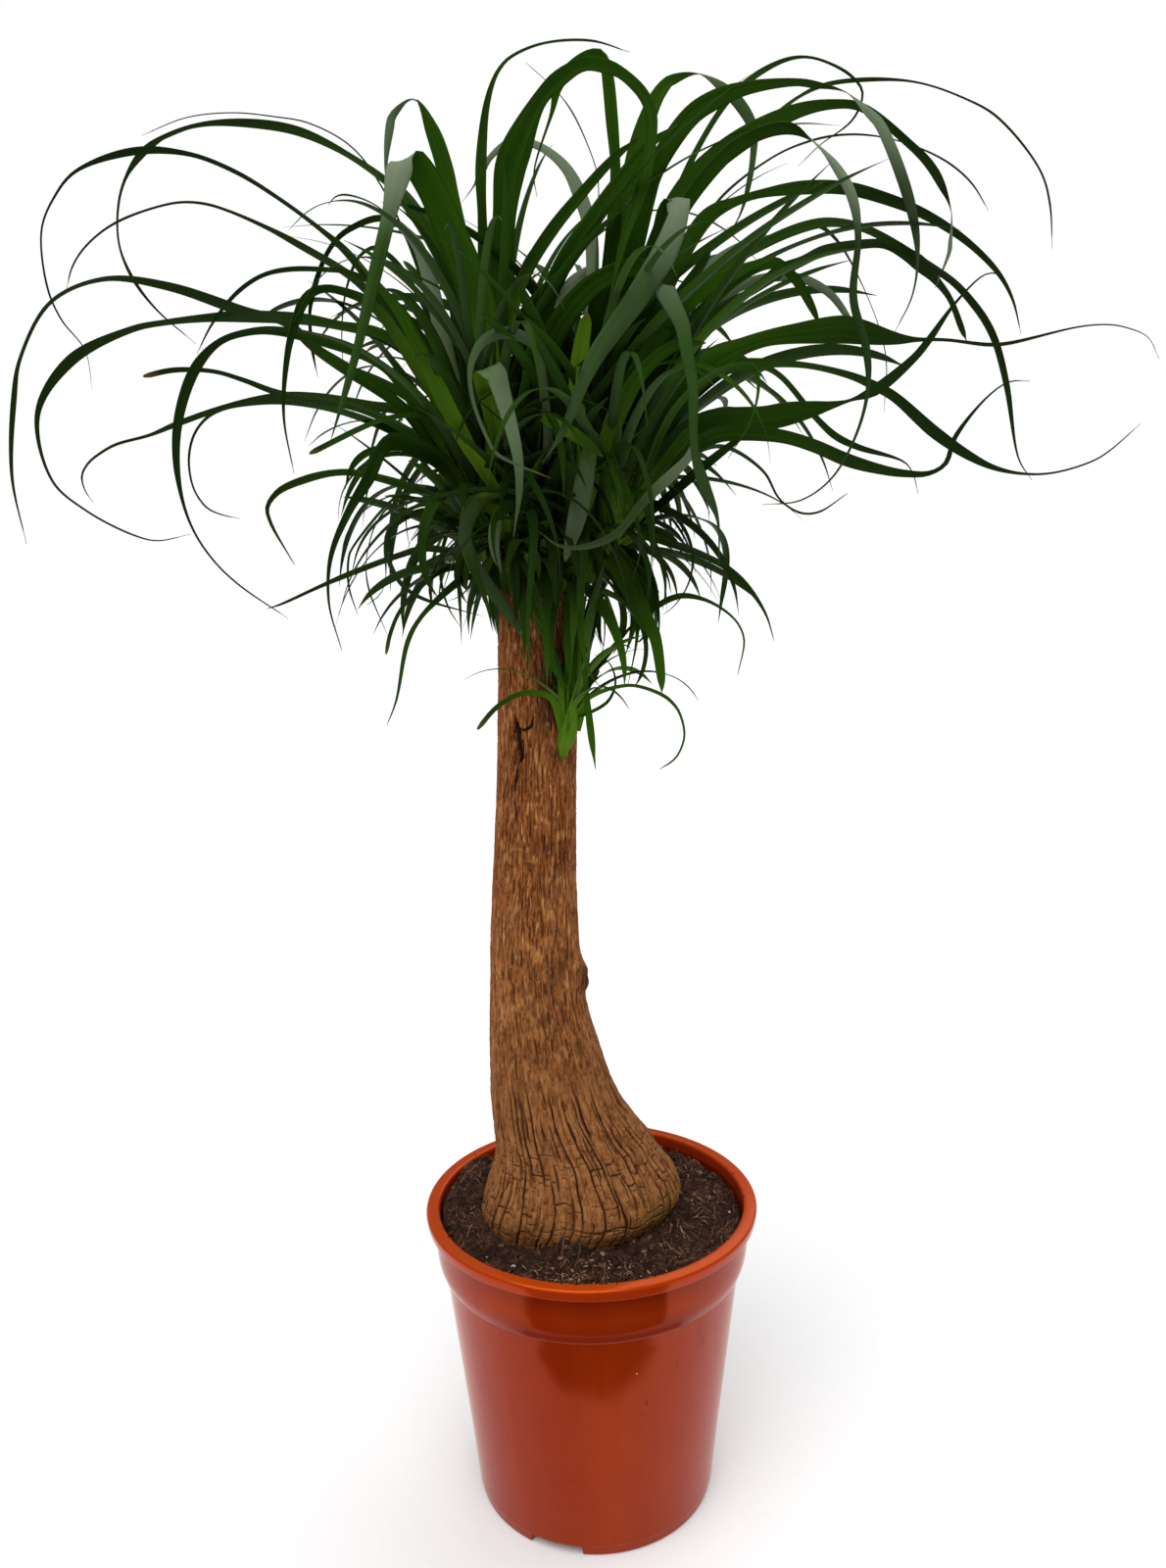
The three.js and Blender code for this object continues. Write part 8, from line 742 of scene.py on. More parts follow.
def spline(points, n):
    """Centripetal Catmull-Rom curve through rows of numbers, the first three of which are a position, n samples by arc length."""
    p = np.asarray(points, float)
    p = np.vstack([2 * p[0] - p[1], p, 2 * p[-1] - p[-2]])
    out = []
    for i in range(1, len(p) - 2):
        q = p[i - 1:i + 3]
        t = np.r_[0, np.cumsum(np.maximum(np.linalg.norm(np.diff(q[:, :3], axis=0), axis=1), 1e-6) ** 0.5)]
        u = np.linspace(t[1], t[2], 16, endpoint=False)[:, None]
        a1 = (t[1] - u) / (t[1] - t[0]) * q[0] + (u - t[0]) / (t[1] - t[0]) * q[1]
        a2 = (t[2] - u) / (t[2] - t[1]) * q[1] + (u - t[1]) / (t[2] - t[1]) * q[2]
        a3 = (t[3] - u) / (t[3] - t[2]) * q[2] + (u - t[2]) / (t[3] - t[2]) * q[3]
        b1 = (t[2] - u) / (t[2] - t[0]) * a1 + (u - t[0]) / (t[2] - t[0]) * a2
        b2 = (t[3] - u) / (t[3] - t[1]) * a2 + (u - t[1]) / (t[3] - t[1]) * a3
        out.append((t[2] - u) / (t[2] - t[1]) * b1 + (u - t[1]) / (t[2] - t[1]) * b2)
    c = np.vstack(out + [p[-2:-1]])
    s = np.r_[0, np.cumsum(np.linalg.norm(np.diff(c[:, :3], axis=0), axis=1))]
    q = np.linspace(0, s[-1], n)
    return np.stack([np.interp(q, s, c[:, k]) for k in range(c.shape[1])], -1), s[-1]


# ------------------------------------------------------------------ materials
class Nodes:
    """Small helper that adds and joins shader nodes."""

    def __init__(self, name):
        self.m = bpy.data.materials.new(name)
        self.m.use_nodes = True
        self.t = self.m.node_tree
        self.t.nodes.clear()
        self.out = self.add("ShaderNodeOutputMaterial")
        self.bsdf = self.add("ShaderNodeBsdfPrincipled")
        self.t.links.new(self.bsdf.outputs[0], self.out.inputs[0])

    def add(self, kind, **settings):
        n = self.t.nodes.new(kind)
        for k, v in settings.items():
            setattr(n, k, v)
        return n

    def put(self, node, socket, value):
        s = node.inputs[socket]
        if isinstance(value, bpy.types.NodeSocket):
            self.t.links.new(value, s)
        elif isinstance(value, bpy.types.Node):
            self.t.links.new(value.outputs[0], s)
        else:
            s.default_value = value
        return node

    def coords(self, scale=(1, 1, 1)):
        c = self.add("ShaderNodeTexCoord")
        m = self.add("ShaderNodeMapping")
        self.t.links.new(c.outputs["Object"], m.inputs[0])
        m.inputs["Scale"].default_value = scale
        return m.outputs[0]

    def noise(self, vector, scale, detail=4, rough=0.55, distortion=0.0):
        n = self.add("ShaderNodeTexNoise")
        self.t.links.new(vector, n.inputs["Vector"])
        n.inputs["Scale"].default_value = scale
        n.inputs["Detail"].default_value = detail
        n.inputs["Roughness"].default_value = rough
        n.inputs["Distortion"].default_value = distortion
        return n.outputs[0]

    def voronoi(self, vector, scale, feature="F1", output="Distance", randomness=1.0):
        n = self.add("ShaderNodeTexVoronoi", feature=feature)
        self.t.links.new(vector, n.inputs["Vector"])
        n.inputs["Scale"].default_value = scale
        n.inputs["Randomness"].default_value = randomness
        return n.outputs[output]

    def ramp(self, value, stops, mode="LINEAR"):
        n = self.add("ShaderNodeValToRGB")
        n.color_ramp.interpolation = mode
        e = n.color_ramp.elements
        e[0].position, e[0].color = stops[0][0], rgba(stops[0][1])
        e[1].position, e[1].color = stops[-1][0], rgba(stops[-1][1])
        for pos, col in stops[1:-1]:
            x = e.new(pos)
            x.color = rgba(col)
        self.t.links.new(value, n.inputs[0])
        return n.outputs[0]

    def range(self, value, a, b, c=0.0, d=1.0):
        n = self.add("ShaderNodeMapRange")
        self.t.links.new(value, n.inputs[0])
        for i, v in zip((1, 2, 3, 4), (a, b, c, d)):
            n.inputs[i].default_value = v
        return n.outputs[0]

    def math(self, op, a, b=0.5):
        n = self.add("ShaderNodeMath", operation=op)
        for i, v in enumerate((a, b)):
            self.put(n, i, v)
        return n.outputs[0]

    def mix(self, factor, a, b, blend="MIX"):
        n = self.add("ShaderNodeMix", data_type="RGBA", blend_type=blend)
        for i, v in ((0, factor), (6, a), (7, b)):
            s = n.inputs[i]
            if isinstance(v, bpy.types.NodeSocket):
                self.t.links.new(v, s)
            else:
                s.default_value = v if i == 0 else rgba(v)
        return n.outputs[2]

    def attribute(self, name, part=None):
        a = self.add("ShaderNodeAttribute", attribute_name=name)
        s = self.add("ShaderNodeSeparateColor")
        self.t.links.new(a.outputs["Color"], s.inputs[0])
        return s.outputs[0], s.outputs[1], s.outputs[2], a.outputs["Alpha"]

    def split(self, vector):
        s = self.add("ShaderNodeSeparateXYZ")
        self.t.links.new(vector, s.inputs[0])
        return s.outputs

    def bump(self, height, strength, distance, normal=None):
        n = self.add("ShaderNodeBump")
        n.inputs["Strength"].default_value = strength
        n.inputs["Distance"].default_value = distance
        self.t.links.new(height, n.inputs["Height"])
        if normal is not None:
            self.t.links.new(normal, n.inputs["Normal"])
        return n.outputs[0]

    def surface(self, color=None, roughness=None, normal=None, **fixed):
        for key, value in (("Base Color", color), ("Roughness", roughness), ("Normal", normal)):
            if value is None:
                continue
            if isinstance(value, bpy.types.NodeSocket):
                self.t.links.new(value, self.bsdf.inputs[key])
            elif key == "Base Color":
                self.bsdf.inputs[key].default_value = rgba(value)
            else:
                self.bsdf.inputs[key].default_value = value
        for key, value in fixed.items():
            self.bsdf.inputs[key.replace("_", " ")].default_value = value
        return self.m


def rgba(c):
    """An sRGB triple from 0 to 255, or linear rgba, as linear rgba."""
    c = tuple(c)
    if len(c) == 4:
        return c
    lin = [(v / 255 / 12.92) if v / 255 <= 0.04045 else ((v / 255 + 0.055) / 1.055) ** 2.4 for v in c]
    return (*lin, 1.0)


def pot_material():
    n = Nodes("pot_plastic")
    p = n.coords()
    broad = n.noise(p, 9, 3, 0.5)
    streaks = n.noise(n.coords((1, 1, 0.1)), 70, 3, 0.6)
    dust = n.noise(p, 160, 4, 0.7)
    x, y, z = n.split(n.add("ShaderNodeTexCoord").outputs["Object"])
    front = n.range(y, -0.03, -0.04)

    def spot(cx, cz, rx, rz, soft=0.35):
        """A soft elliptical mark on the front of the wall."""
        dx = n.math("DIVIDE", n.math("SUBTRACT", x, cx), rx)
        dz = n.math("DIVIDE", n.math("SUBTRACT", z, cz), rz)
        d = n.math("SQRT", n.math("ADD", n.math("MULTIPLY", dx, dx), n.math("MULTIPLY", dz, dz)))
        return n.math("MULTIPLY", n.range(d, 1.0, 1.0 - soft), front)

    color = n.mix(n.range(broad, 0.35, 0.7), (137, 33, 2), (146, 41, 4))
    color = n.mix(n.range(streaks, 0.5, 0.8, 0.0, 0.3), color, (123, 25, 1))
    smear = n.noise(n.coords((1, 1, 0.12)), 24, 3, 0.55)
    color = n.mix(n.range(smear, 0.45, 0.62, 0.0, 0.4), color, (156, 52, 9))
    # the rim: painted shade under the lip all round, and a painted highlight that makes the lip face and the rim top
    # lighter where the edge catches the light
    color = n.mix(n.math("MULTIPLY", n.range(z, 0.196, 0.2115, 0.0, 0.55), n.range(z, 0.2140, 0.2128)), color, (104, 16, 2))
    color = n.mix(n.range(z, 0.2125, 0.2140), color, (163, 47, 6))
    color = n.mix(n.range(z, 0.2198, 0.2212, 0.0, 1.0), color, (190, 70, 14))
    marks = spot(0.0737, 0.1540, 0.0023, 0.0056)
    for cx, cz, rx, rz in ((0.0722, 0.1625, 0.0007, 0.0065), (-0.0157, 0.0636, 0.0013, 0.0016), (0.0318, 0.1144, 0.0011, 0.0014), (-0.0599, 0.086, 0.001, 0.0024),
                           (0.0555, 0.148, 0.0006, 0.0045), (0.0345, 0.1232, 0.0016, 0.003), (0.0719, 0.0506, 0.0012, 0.0032), (0.0761, 0.0817, 0.0009, 0.0014), (0.0838, 0.172, 0.0008, 0.0011)):
        marks = n.math("MAXIMUM", marks, spot(cx, cz, rx, rz, 0.5))
    specks = n.math("MULTIPLY", n.range(n.voronoi(p, 80, "F1"), 0.05, 0.02), n.range(n.noise(p, 23, 2), 0.6, 0.66))
    marks = n.math("MAXIMUM", marks, n.math("MULTIPLY", specks, 0.7))
    color = n.mix(n.math("MULTIPLY", marks, 0.75), color, (108, 20, 2))
    color = n.mix(spot(0.028, 0.1487, 0.0007, 0.0006), color, (225, 190, 170))
    # a thin painted highlight runs along the shoulder seam, broken up by dust; dust also dulls the wall a little near
    # the foot and in soft vertical smears
    dusty_seam_highlight = n.math("MULTIPLY", n.range(n.math("ABSOLUTE", n.math("SUBTRACT", z, 0.1768)), 0.0016, 0.0006), n.range(dust, 0.35, 0.6, 0.14, 0.36))
    color = n.mix(dusty_seam_highlight, color, (206, 122, 88))
    haze = n.math("MULTIPLY", n.range(z, 0.06, 0.0, 0.05, 0.3), n.range(dust, 0.3, 0.7))
    color = n.mix(haze, color, (138, 58, 30))
    rough = n.range(n.math("ADD", n.math("MULTIPLY", broad, 0.5), n.math("MULTIPLY", streaks, 0.5)), 0.35, 0.7, 0.1, 0.2)
    normal = n.bump(n.math("ADD", n.math("MULTIPLY", streaks, 0.6), n.math("MULTIPLY", broad, 1.0)), 0.12, 0.0005)
    # at the front middle, the flare under the band carries a painted dark reflection, and its specular is turned down
    # there
    painted_dark_reflection = n.math("MULTIPLY", n.range(z, 0.1755, 0.1775), n.range(z, 0.194, 0.182))
    middle = n.math("MULTIPLY", front, n.range(n.math("ABSOLUTE", n.math("SUBTRACT", x, 0.006)), 0.078, 0.05))
    painted_dark_reflection = n.math("MULTIPLY", painted_dark_reflection, middle)
    color = n.mix(painted_dark_reflection, color, (116, 27, 3))
    level = n.math("SUBTRACT", 1.0, n.math("MULTIPLY", painted_dark_reflection, 0.97))
    n.t.links.new(level, n.bsdf.inputs["Specular IOR Level"])
    n.t.links.new(n.math("MULTIPLY", level, 0.22), n.bsdf.inputs["Metallic"])
    return n.surface(color, rough, normal, IOR=1.38, Specular_Tint=(1.0, 0.3, 0.1, 1.0))


def soil_material():
    n = Nodes("soil")
    p = n.coords()
    lumps = n.noise(p, 130, 6, 0.65)
    fine = n.noise(p, 680, 5, 0.75)
    fibre = n.noise(n.coords((1, 3.5, 2)), 260, 4, 0.6, 1.4)
    fibre2 = n.noise(n.coords((3.2, 1, 2)), 300, 4, 0.6, 1.4)
    c = n.ramp(lumps, [(0.32, (26, 11, 6)), (0.48, (57, 31, 19)), (0.62, (88, 54, 37)), (0.8, (122, 86, 64))])
    c = n.mix(n.range(fine, 0.42, 0.66, 0, 0.75), c, (24, 10, 5))
    c = n.mix(n.range(fibre, 0.6, 0.68, 0, 0.7), c, (118, 82, 62))
    c = n.mix(n.range(fibre2, 0.62, 0.7, 0, 0.6), c, (98, 62, 46))
    normal = n.bump(fine, 0.9, 0.0011, n.bump(lumps, 0.9, 0.0024))
    return n.surface(c, 0.9, normal, Specular_IOR_Level=0.3)


def fibre_material():
    n = Nodes("soil_fibre")
    tone, _, _, _ = n.attribute("tone")
    c = n.ramp(tone, [(0.0, (26, 11, 6)), (0.4, (66, 36, 23)), (0.7, (118, 80, 58)), (1.0, (186, 150, 112))])
    fine = n.noise(n.coords(), 900, 3, 0.6)
    c = n.mix(n.range(fine, 0.42, 0.68, 0, 0.6), c, (26, 12, 7))
    return n.surface(c, 0.85, n.bump(fine, 0.6, 0.0005), Specular_IOR_Level=0.3)


def perlite_material():
    n = Nodes("perlite")
    fine = n.noise(n.coords(), 1400, 3, 0.6)
    c = n.ramp(fine, [(0.35, (170, 165, 156)), (0.6, (232, 230, 224))])
    return n.surface(c, 0.8, n.bump(fine, 0.5, 0.0003))


def bark_material():
    n = Nodes("bark")
    p = n.coords()
    groove, moss, stain_and_shade, warm = n.attribute("bark")
    ridge, scar, _, _ = n.attribute("bark2")
    tex = n.add("ShaderNodeTexCoord").outputs["Object"]
    x, y, z = n.split(tex)
    broad = n.noise(n.coords((1, 1, 0.5)), 30, 4, 0.55)
    grain = n.noise(n.coords((1, 1, 0.22)), 680, 5, 0.66, 0.5)
    grain2 = n.noise(n.coords((1, 1, 0.26)), 330, 4, 0.66, 0.7)
    speck = n.noise(n.coords((1, 1, 0.5)), 850, 4, 0.7)
    c = n.mix(n.range(broad, 0.38, 0.64), (154, 96, 50), (178, 120, 72))
    # weathered, greyer and more golden towards the swollen base
    c = n.mix(n.range(z, 0.40, 0.25, 0.0, 0.55), c, (160, 114, 66))
    c = n.mix(n.math("MULTIPLY", warm, 0.7), c, (150, 80, 38))
    c = n.mix(n.range(grain, 0.45, 0.62, 0.0, 0.8), c, (104, 56, 22))
    c = n.mix(n.range(grain2, 0.54, 0.68, 0.0, 0.75), c, (84, 42, 16))
    c = n.mix(n.math("MULTIPLY", ridge, n.range(grain2, 0.62, 0.42)), c, (194, 142, 90))
    c = n.mix(n.range(speck, 0.58, 0.74, 0.0, 0.55), c, (196, 146, 98))
    c = n.mix(n.range(speck, 0.42, 0.28, 0.0, 0.6), c, (66, 30, 12))
    # stains, and the painted shade under the side shoot, darken the bark
    c = n.mix(n.math("MULTIPLY", stain_and_shade, 0.8), c, (66, 32, 22))
    # the head of the stem is painted dark: the shade under the crown, with old leaf bases
    c = n.mix(n.range(n.math("ADD", z, n.math("MULTIPLY", broad, 0.03)), 0.662, 0.676, 0.0, 0.92), c, (30, 17, 8))
    c = n.mix(n.math("MULTIPLY", moss, 0.7), c, (98, 98, 26))
    c = n.mix(scar, c, (196, 154, 116))
    mottle = n.noise(p, 95, 5, 0.7)
    c = n.mix(n.math("MULTIPLY", n.range(z, 0.38, 0.28), n.range(mottle, 0.5, 0.66, 0.0, 0.45)), c, (96, 56, 26))
    c = n.mix(n.math("MULTIPLY", n.range(z, 0.38, 0.28), n.range(mottle, 0.46, 0.34, 0.0, 0.4)), c, (188, 146, 96))
    c = n.mix(n.range(groove, 0.16, 0.8, 0.0, 0.92), c, (44, 19, 7))
    c = n.mix(n.range(z, 0.40, 0.33, 0.0, 1.0), c, (234, 226, 228), "MULTIPLY")
    c = n.mix(1.0, c, (241, 234, 222), "MULTIPLY")
    rough = n.range(grain, 0.3, 0.7, 0.72, 0.9)
    normal = n.bump(speck, 0.6, 0.0005, n.bump(grain, 0.75, 0.0009))
    return n.surface(c, rough, normal, Specular_IOR_Level=0.1)


def cut_material():
    n = Nodes("sawn_top")
    p = n.coords()
    ring = n.noise(n.coords((1, 1, 1)), 160, 5, 0.6, 0.6)
    c = n.ramp(ring, [(0.3, (58, 36, 22)), (0.55, (104, 74, 48)), (0.75, (138, 108, 76))])
    return n.surface(c, 0.9, n.bump(ring, 0.7, 0.0012), Specular_IOR_Level=0.25)


def leaf_material(name, young=0.0):
    n = Nodes(name)
    along, across, under, tint = n.attribute("leaf")
    pale, sheath, dry, width = n.attribute("leaf2")
    # fine parallel veins run along the blade
    line = n.add("ShaderNodeCombineXYZ")
    n.put(line, 0, n.math("MULTIPLY", across, 1.0))
    n.put(line, 1, n.math("MULTIPLY", along, 0.12))
    n.put(line, 2, n.math("MULTIPLY", tint, 37.0))
    veins = n.noise(line.outputs[0], 26, 3, 0.65)
    wide = n.noise(line.outputs[0], 7, 2, 0.5)
    broad = n.noise(n.coords(), 26, 3, 0.5)
    green = n.mix(n.range(tint, 0.0, 1.0), (17, 38, 4), (47, 82, 9))
    green = n.mix(n.range(broad, 0.35, 0.7, 0, 0.6), green, (30, 62, 4))
    green = n.mix(n.range(veins, 0.42, 0.72, 0.0, 0.5), green, (58, 94, 16))
    green = n.mix(n.range(wide, 0.5, 0.75, 0.0, 0.4), green, (16, 36, 2))
    base = n.mix(n.range(veins, 0.35, 0.7, 0.0, 0.7), (110, 146, 34), (62, 104, 12))
    # older leaves, low on the shoots and far out, are darker and duller
    x, y, z = n.split(n.add("ShaderNodeTexCoord").outputs["Object"])
    old = n.math("MAXIMUM", n.range(n.math("ABSOLUTE", x), 0.07, 0.21, 0.0, 0.85), n.math("MULTIPLY", n.range(z, 0.8, 0.69, 0.0, 0.7), n.range(z, 0.62, 0.66)))
    green = n.mix(old, green, (20, 30, 12))
    # deep inside the crown the leaves are shaded by their neighbours
    q = [n.math("DIVIDE", n.math("SUBTRACT", v, m), r) for v, m, r in ((x, 0.0, 0.105), (y, 0.0, 0.055), (z, 0.765, 0.115))]
    q = [n.math("MULTIPLY", v, v) for v in q]
    depth = n.math("SQRT", n.math("ADD", n.math("ADD", q[0], q[1]), q[2]))
    green = n.mix(n.range(depth, 1.15, 0.5, 0.0, 0.8), green, (10, 18, 5))
    # undersides turn grey-green, and the pale value paints a sheen on them, near white where the light lies on them
    grey = n.mix(n.range(veins, 0.35, 0.7), (76, 96, 62), (50, 72, 38))
    c = n.mix(n.math("MULTIPLY", under, n.range(pale, 0.0, 0.7, 0.1, 0.95)), green, grey)
    c = n.mix(n.math("MULTIPLY", n.math("MULTIPLY", pale, under), 0.75), c, (150, 162, 138))
    c = n.mix(sheath, c, base)
    c = n.mix(dry, c, (96, 74, 38))
    rough = n.range(veins, 0.3, 0.75, 0.36, 0.5)
    normal = n.bump(veins, 0.35, 0.0005)
    return n.surface(c, rough, normal, Specular_IOR_Level=0.035, Specular_Tint=(0.7, 1.0, 0.5, 1.0))


POT, SOIL, FIBRE, PERLITE, BARK, CUT = pot_material(), soil_material(), fibre_material(), perlite_material(), bark_material(), cut_material()
LEAF = leaf_material("leaf_green")


# ------------------------------------------------------------------ pot
def rounded(profile, steps=5):
    """A line of (r, z, corner radius) points with its corners turned into arcs."""
    out = []
    for i, (r, z, k) in enumerate(profile):
        p = np.array([r, z], float)
        if k <= 0 or i in (0, len(profile) - 1):
            out.append(p)
            continue
        a, b = np.array(profile[i - 1][:2], float), np.array(profile[i + 1][:2], float)
        k = min(k, 0.48 * np.linalg.norm(a - p), 0.48 * np.linalg.norm(b - p))
        s, e = p + unit(a - p) * k, p + unit(b - p) * k
        for t in np.linspace(0, 1, steps):
            out.append((1 - t) ** 2 * s + 2 * t * (1 - t) * p + t * t * e)
    return np.array(out)


def build_pot():
    prof = [
        (0, 7.0, 0), (30, 7.0, 0), (70, 7.0, 0), (81.4, 7.0, 0.8), (82.3, 0.0, 0.7), (86.3, 0.0, 1.6), (87.1, 6.8, 0.3), (87.9, 7.5, 0.5), (88.7, 16, 4), (92.6, 52, 0), (97.4, 94, 0), (102.1, 135, 0),
        (107.0, 176.0, 0.5), (109.3, 177.6, 0.9), (111.9, 184.5, 4.0), (113.0, 193.0, 5.0), (113.6, 213.0, 0.7),
        (118.9, 213.2, 0.8), (119.9, 219.6, 1.1), (118.6, 221.3, 0.9), (111.2, 221.5, 1.2), (109.8, 219.6, 1.4), (109.2, 206, 0), (109.1, 190, 3),
        (104.7, 174.0, 3), (95.2, 94, 0), (85.2, 13.4, 3), (81.2, 9.4, 2), (40, 9.4, 0), (0, 9.4, 0),
    ]
    line = rounded(prof, 6)
    # subdivide the long straight stretches a little so that the wall can carry its slight waviness
    pts = [line[0]]
    for a, b in zip(line[:-1], line[1:]):
        m = max(1, int(np.linalg.norm(b - a) // 9))
        for k in range(1, m + 1):
            pts.append(a + (b - a) * k / m)
    line = np.array(pts)
    angles = list(np.linspace(-180, 180, 288, endpoint=False))
    notches = [(-109.5 + 120 * i) for i in range(3)]
    half = 12.5
    for c in notches:
        for e in (c - half, c + half):
            angles = [a for a in angles if abs((a - e + 180) % 360 - 180) > 0.7]
            angles += [((e - 0.42 + 180) % 360) - 180, ((e - 0.14 + 180) % 360) - 180, ((e + 0.14 + 180) % 360) - 180, ((e + 0.42 + 180) % 360) - 180]
    angles = np.array(sorted(angles))
    depth = np.zeros(len(angles))
    for c in notches:
        d = np.abs((angles - c + 180) % 360 - 180)
        depth = np.maximum(depth, 1 - smoothstep(half - 0.42, half + 0.42, d))
    a = np.radians(angles)[None, :]
    inner = slice(1, len(line) - 1)
    r = line[inner, 0][:, None] * np.ones_like(a)
    z = line[inner, 1][:, None] * np.ones_like(a)
    foot = (r > 80) & (z < 6.95) & (np.arange(r.shape[0])[:, None] < 40)
    z = np.where(foot, z + (6.9 - z) * depth[None, :], z)
    wave = 0.16 * np.sin(2 * a + 0.8) + 0.1 * np.sin(3 * a + 2.1)
    r = r + wave * smoothstep(60, 210, z)
    v = np.stack([r * np.cos(a), r * np.sin(a), z], -1)
    rows, cols = r.shape
    verts = np.vstack([v.reshape(-1, 3), [[0, 0, line[0, 1]], [0, 0, line[-1, 1]]]])
    n = rows * cols
    # rows run from the underside out and up: this winding turns the faces outward
    quads = grid_faces(rows, cols)
    f = [quads, fan(0, cols, n, True), fan((rows - 1) * cols, cols, n + 1, False)]
    ob = make_mesh("pot_shell", verts, f, POT)
    # drainage holes through the base
    import bmesh
    bm = bmesh.new()
    for i in range(6):
        t = (i + 0.5) / 6 * math.tau
        ring = []
        for zz in (2.0, 14.0):
            ring.append([bm.verts.new((( 52 * math.cos(t) + 6 * math.cos(k / 32 * math.tau)) * MM, (52 * math.sin(t) + 6 * math.sin(k / 32 * math.tau)) * MM, zz * MM)) for k in range(32)])
        for k in range(32):
            bm.faces.new((ring[0][k], ring[0][(k + 1) % 32], ring[1][(k + 1) % 32], ring[1][k]))
        bm.faces.new(ring[0][::-1])
        bm.faces.new(ring[1])
    cm = bpy.data.meshes.new("drain_cutter")
    bm.to_mesh(cm)
    bm.free()
    cutter = bpy.data.objects.new("drain_cutter", cm)
    bpy.context.scene.collection.objects.link(cutter)
    mod = ob.modifiers.new("drain", "BOOLEAN")
    mod.operation, mod.object, mod.solver = "DIFFERENCE", cutter, "EXACT"
    bpy.context.view_layer.update()
    cut = bpy.data.meshes.new_from_object(ob.evaluated_get(bpy.context.evaluated_depsgraph_get()))
    ob.modifiers.clear()
    if len(cut.polygons) > 1000:
        ob.data = cut
    cut.name = "pot_shell"
    bpy.data.objects.remove(cutter)
    ob.data.polygons.foreach_set("use_smooth", np.ones(len(ob.data.polygons), bool))
    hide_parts("nursery_pot")
    return ob


# ------------------------------------------------------------------ stem
def pchip(x, y, q):
    """Monotone cubic interpolation."""
    h, d = np.diff(x), np.diff(y) / np.diff(x)
    m = np.zeros_like(y)
    m[0], m[-1] = d[0], d[-1]
    for i in range(1, len(x) - 1):
        if d[i - 1] * d[i] > 0:
            w1, w2 = 2 * h[i] + h[i - 1], h[i] + 2 * h[i - 1]
            m[i] = (w1 + w2) / (w1 / d[i - 1] + w2 / d[i])
    k = np.clip(np.searchsorted(x, q) - 1, 0, len(x) - 2)
    t = (q - x[k]) / h[k]
    return (2 * t**3 - 3 * t**2 + 1) * y[k] + (t**3 - 2 * t**2 + t) * h[k] * m[k] + (-2 * t**3 + 3 * t**2) * y[k + 1] + (t**3 - t**2) * h[k] * m[k + 1]


def trunk_section(z):
    z = np.asarray(z, float)
    q = np.clip(z, TRUNK[0, 0], TRUNK[-1, 0])
    return [pchip(TRUNK[:, 0], TRUNK[:, k], q) for k in (1, 2, 3)]


def trunk_radius_factor(a, z):
    low = smoothstep(0, 130, 360 - z)
    return 1 + low * (0.018 * np.sin(3 * a + 0.7) + 0.012 * np.sin(5 * a + 1.9))


def line_distance(x, y, pts):
    """Distance from points to a polyline, and the share of its length at the nearest place."""
    best, share = np.full(x.shape, 1e9), np.zeros(x.shape)
    pts = np.asarray(pts, float)
    total = np.linalg.norm(np.diff(pts, axis=0), axis=1)
    run = np.r_[0, np.cumsum(total)]
    for i in range(len(pts) - 1):
        d = pts[i + 1] - pts[i]
        t = np.clip(((x - pts[i, 0]) * d[0] + (y - pts[i, 1]) * d[1]) / (d @ d), 0, 1)
        e = np.hypot(x - pts[i, 0] - t * d[0], y - pts[i, 1] - t * d[1])
        near = e < best
        best = np.where(near, e, best)
        share = np.where(near, (run[i] + t * total[i]) / run[-1], share)
    return best, share


def furrows(u, along, n, spacing, seed, wander=30.0, reach=30.0, lo=-0.3, hi=0.2, width=1.0, drift=0.22, jitter=0.34):
    """Cracks that run along the stem on n wandering lines round it, and the lines at either side of each point."""
    x = u * n
    x0 = np.floor(x)
    crack = np.zeros_like(x)
    lines = []
    for k in (-1, 0, 1, 2):
        i = x0 + k
        idx = np.mod(i, n)
        place = i + (hash01(idx, idx * 0, seed) - 0.5) * 2 * jitter + drift * vnoise(along / wander, idx * 7 + 0.5, seed + 3)
        power = smoothstep(lo, hi, vnoise(along / reach, idx * 5 + 0.5, seed + 5))
        w = width * (0.6 + 0.8 * hash01(idx, idx * 0, seed + 7)) * (0.45 + 0.55 * power)
        crack = np.maximum(crack, power * smoothstep(w, 0.0, np.abs(x - place) * spacing))
        lines.append(place)
    left = np.where(x < lines[1], lines[0], np.where(x >= lines[2], lines[2], lines[1]))
    right = np.where(x < lines[1], lines[1], np.where(x >= lines[2], lines[3], lines[2]))
    column = np.where(x < lines[1], x0 - 1, np.where(x >= lines[2], x0 + 1, x0))
    return crack, np.mod(column, n), (x - left) / np.maximum(right - left, 1e-3)


def rungs(column, inside, along, pitch, seed, chance, width=0.8, slack=0.34):
    """Short cracks across the strips between those lines, and a number for each block they part."""
    v = along / pitch + hash01(column, column * 0, seed) * 9 + 0.10 * vnoise(inside * 2 + column * 3, along / 4.0, seed + 2)
    v0 = np.floor(v)
    out = np.zeros_like(v)
    at = []
    for k in (-1, 0, 1):
        row = v0 + k
        place = row + 0.5 + (hash01(column, row, seed + 4) - 0.5) * 2 * slack
        tilt = 0.16 * (hash01(column, row, seed + 6) - 0.5) * (inside - 0.5)
        there = hash01(column, row, seed + 8) < chance
        out = np.maximum(out, there * smoothstep(width, 0.0, np.abs(v - place - tilt) * pitch))
        at.append(place)
    block = np.where(v < at[1], v0 - 1, v0)
    return out, hash01(column, block, seed + 11)


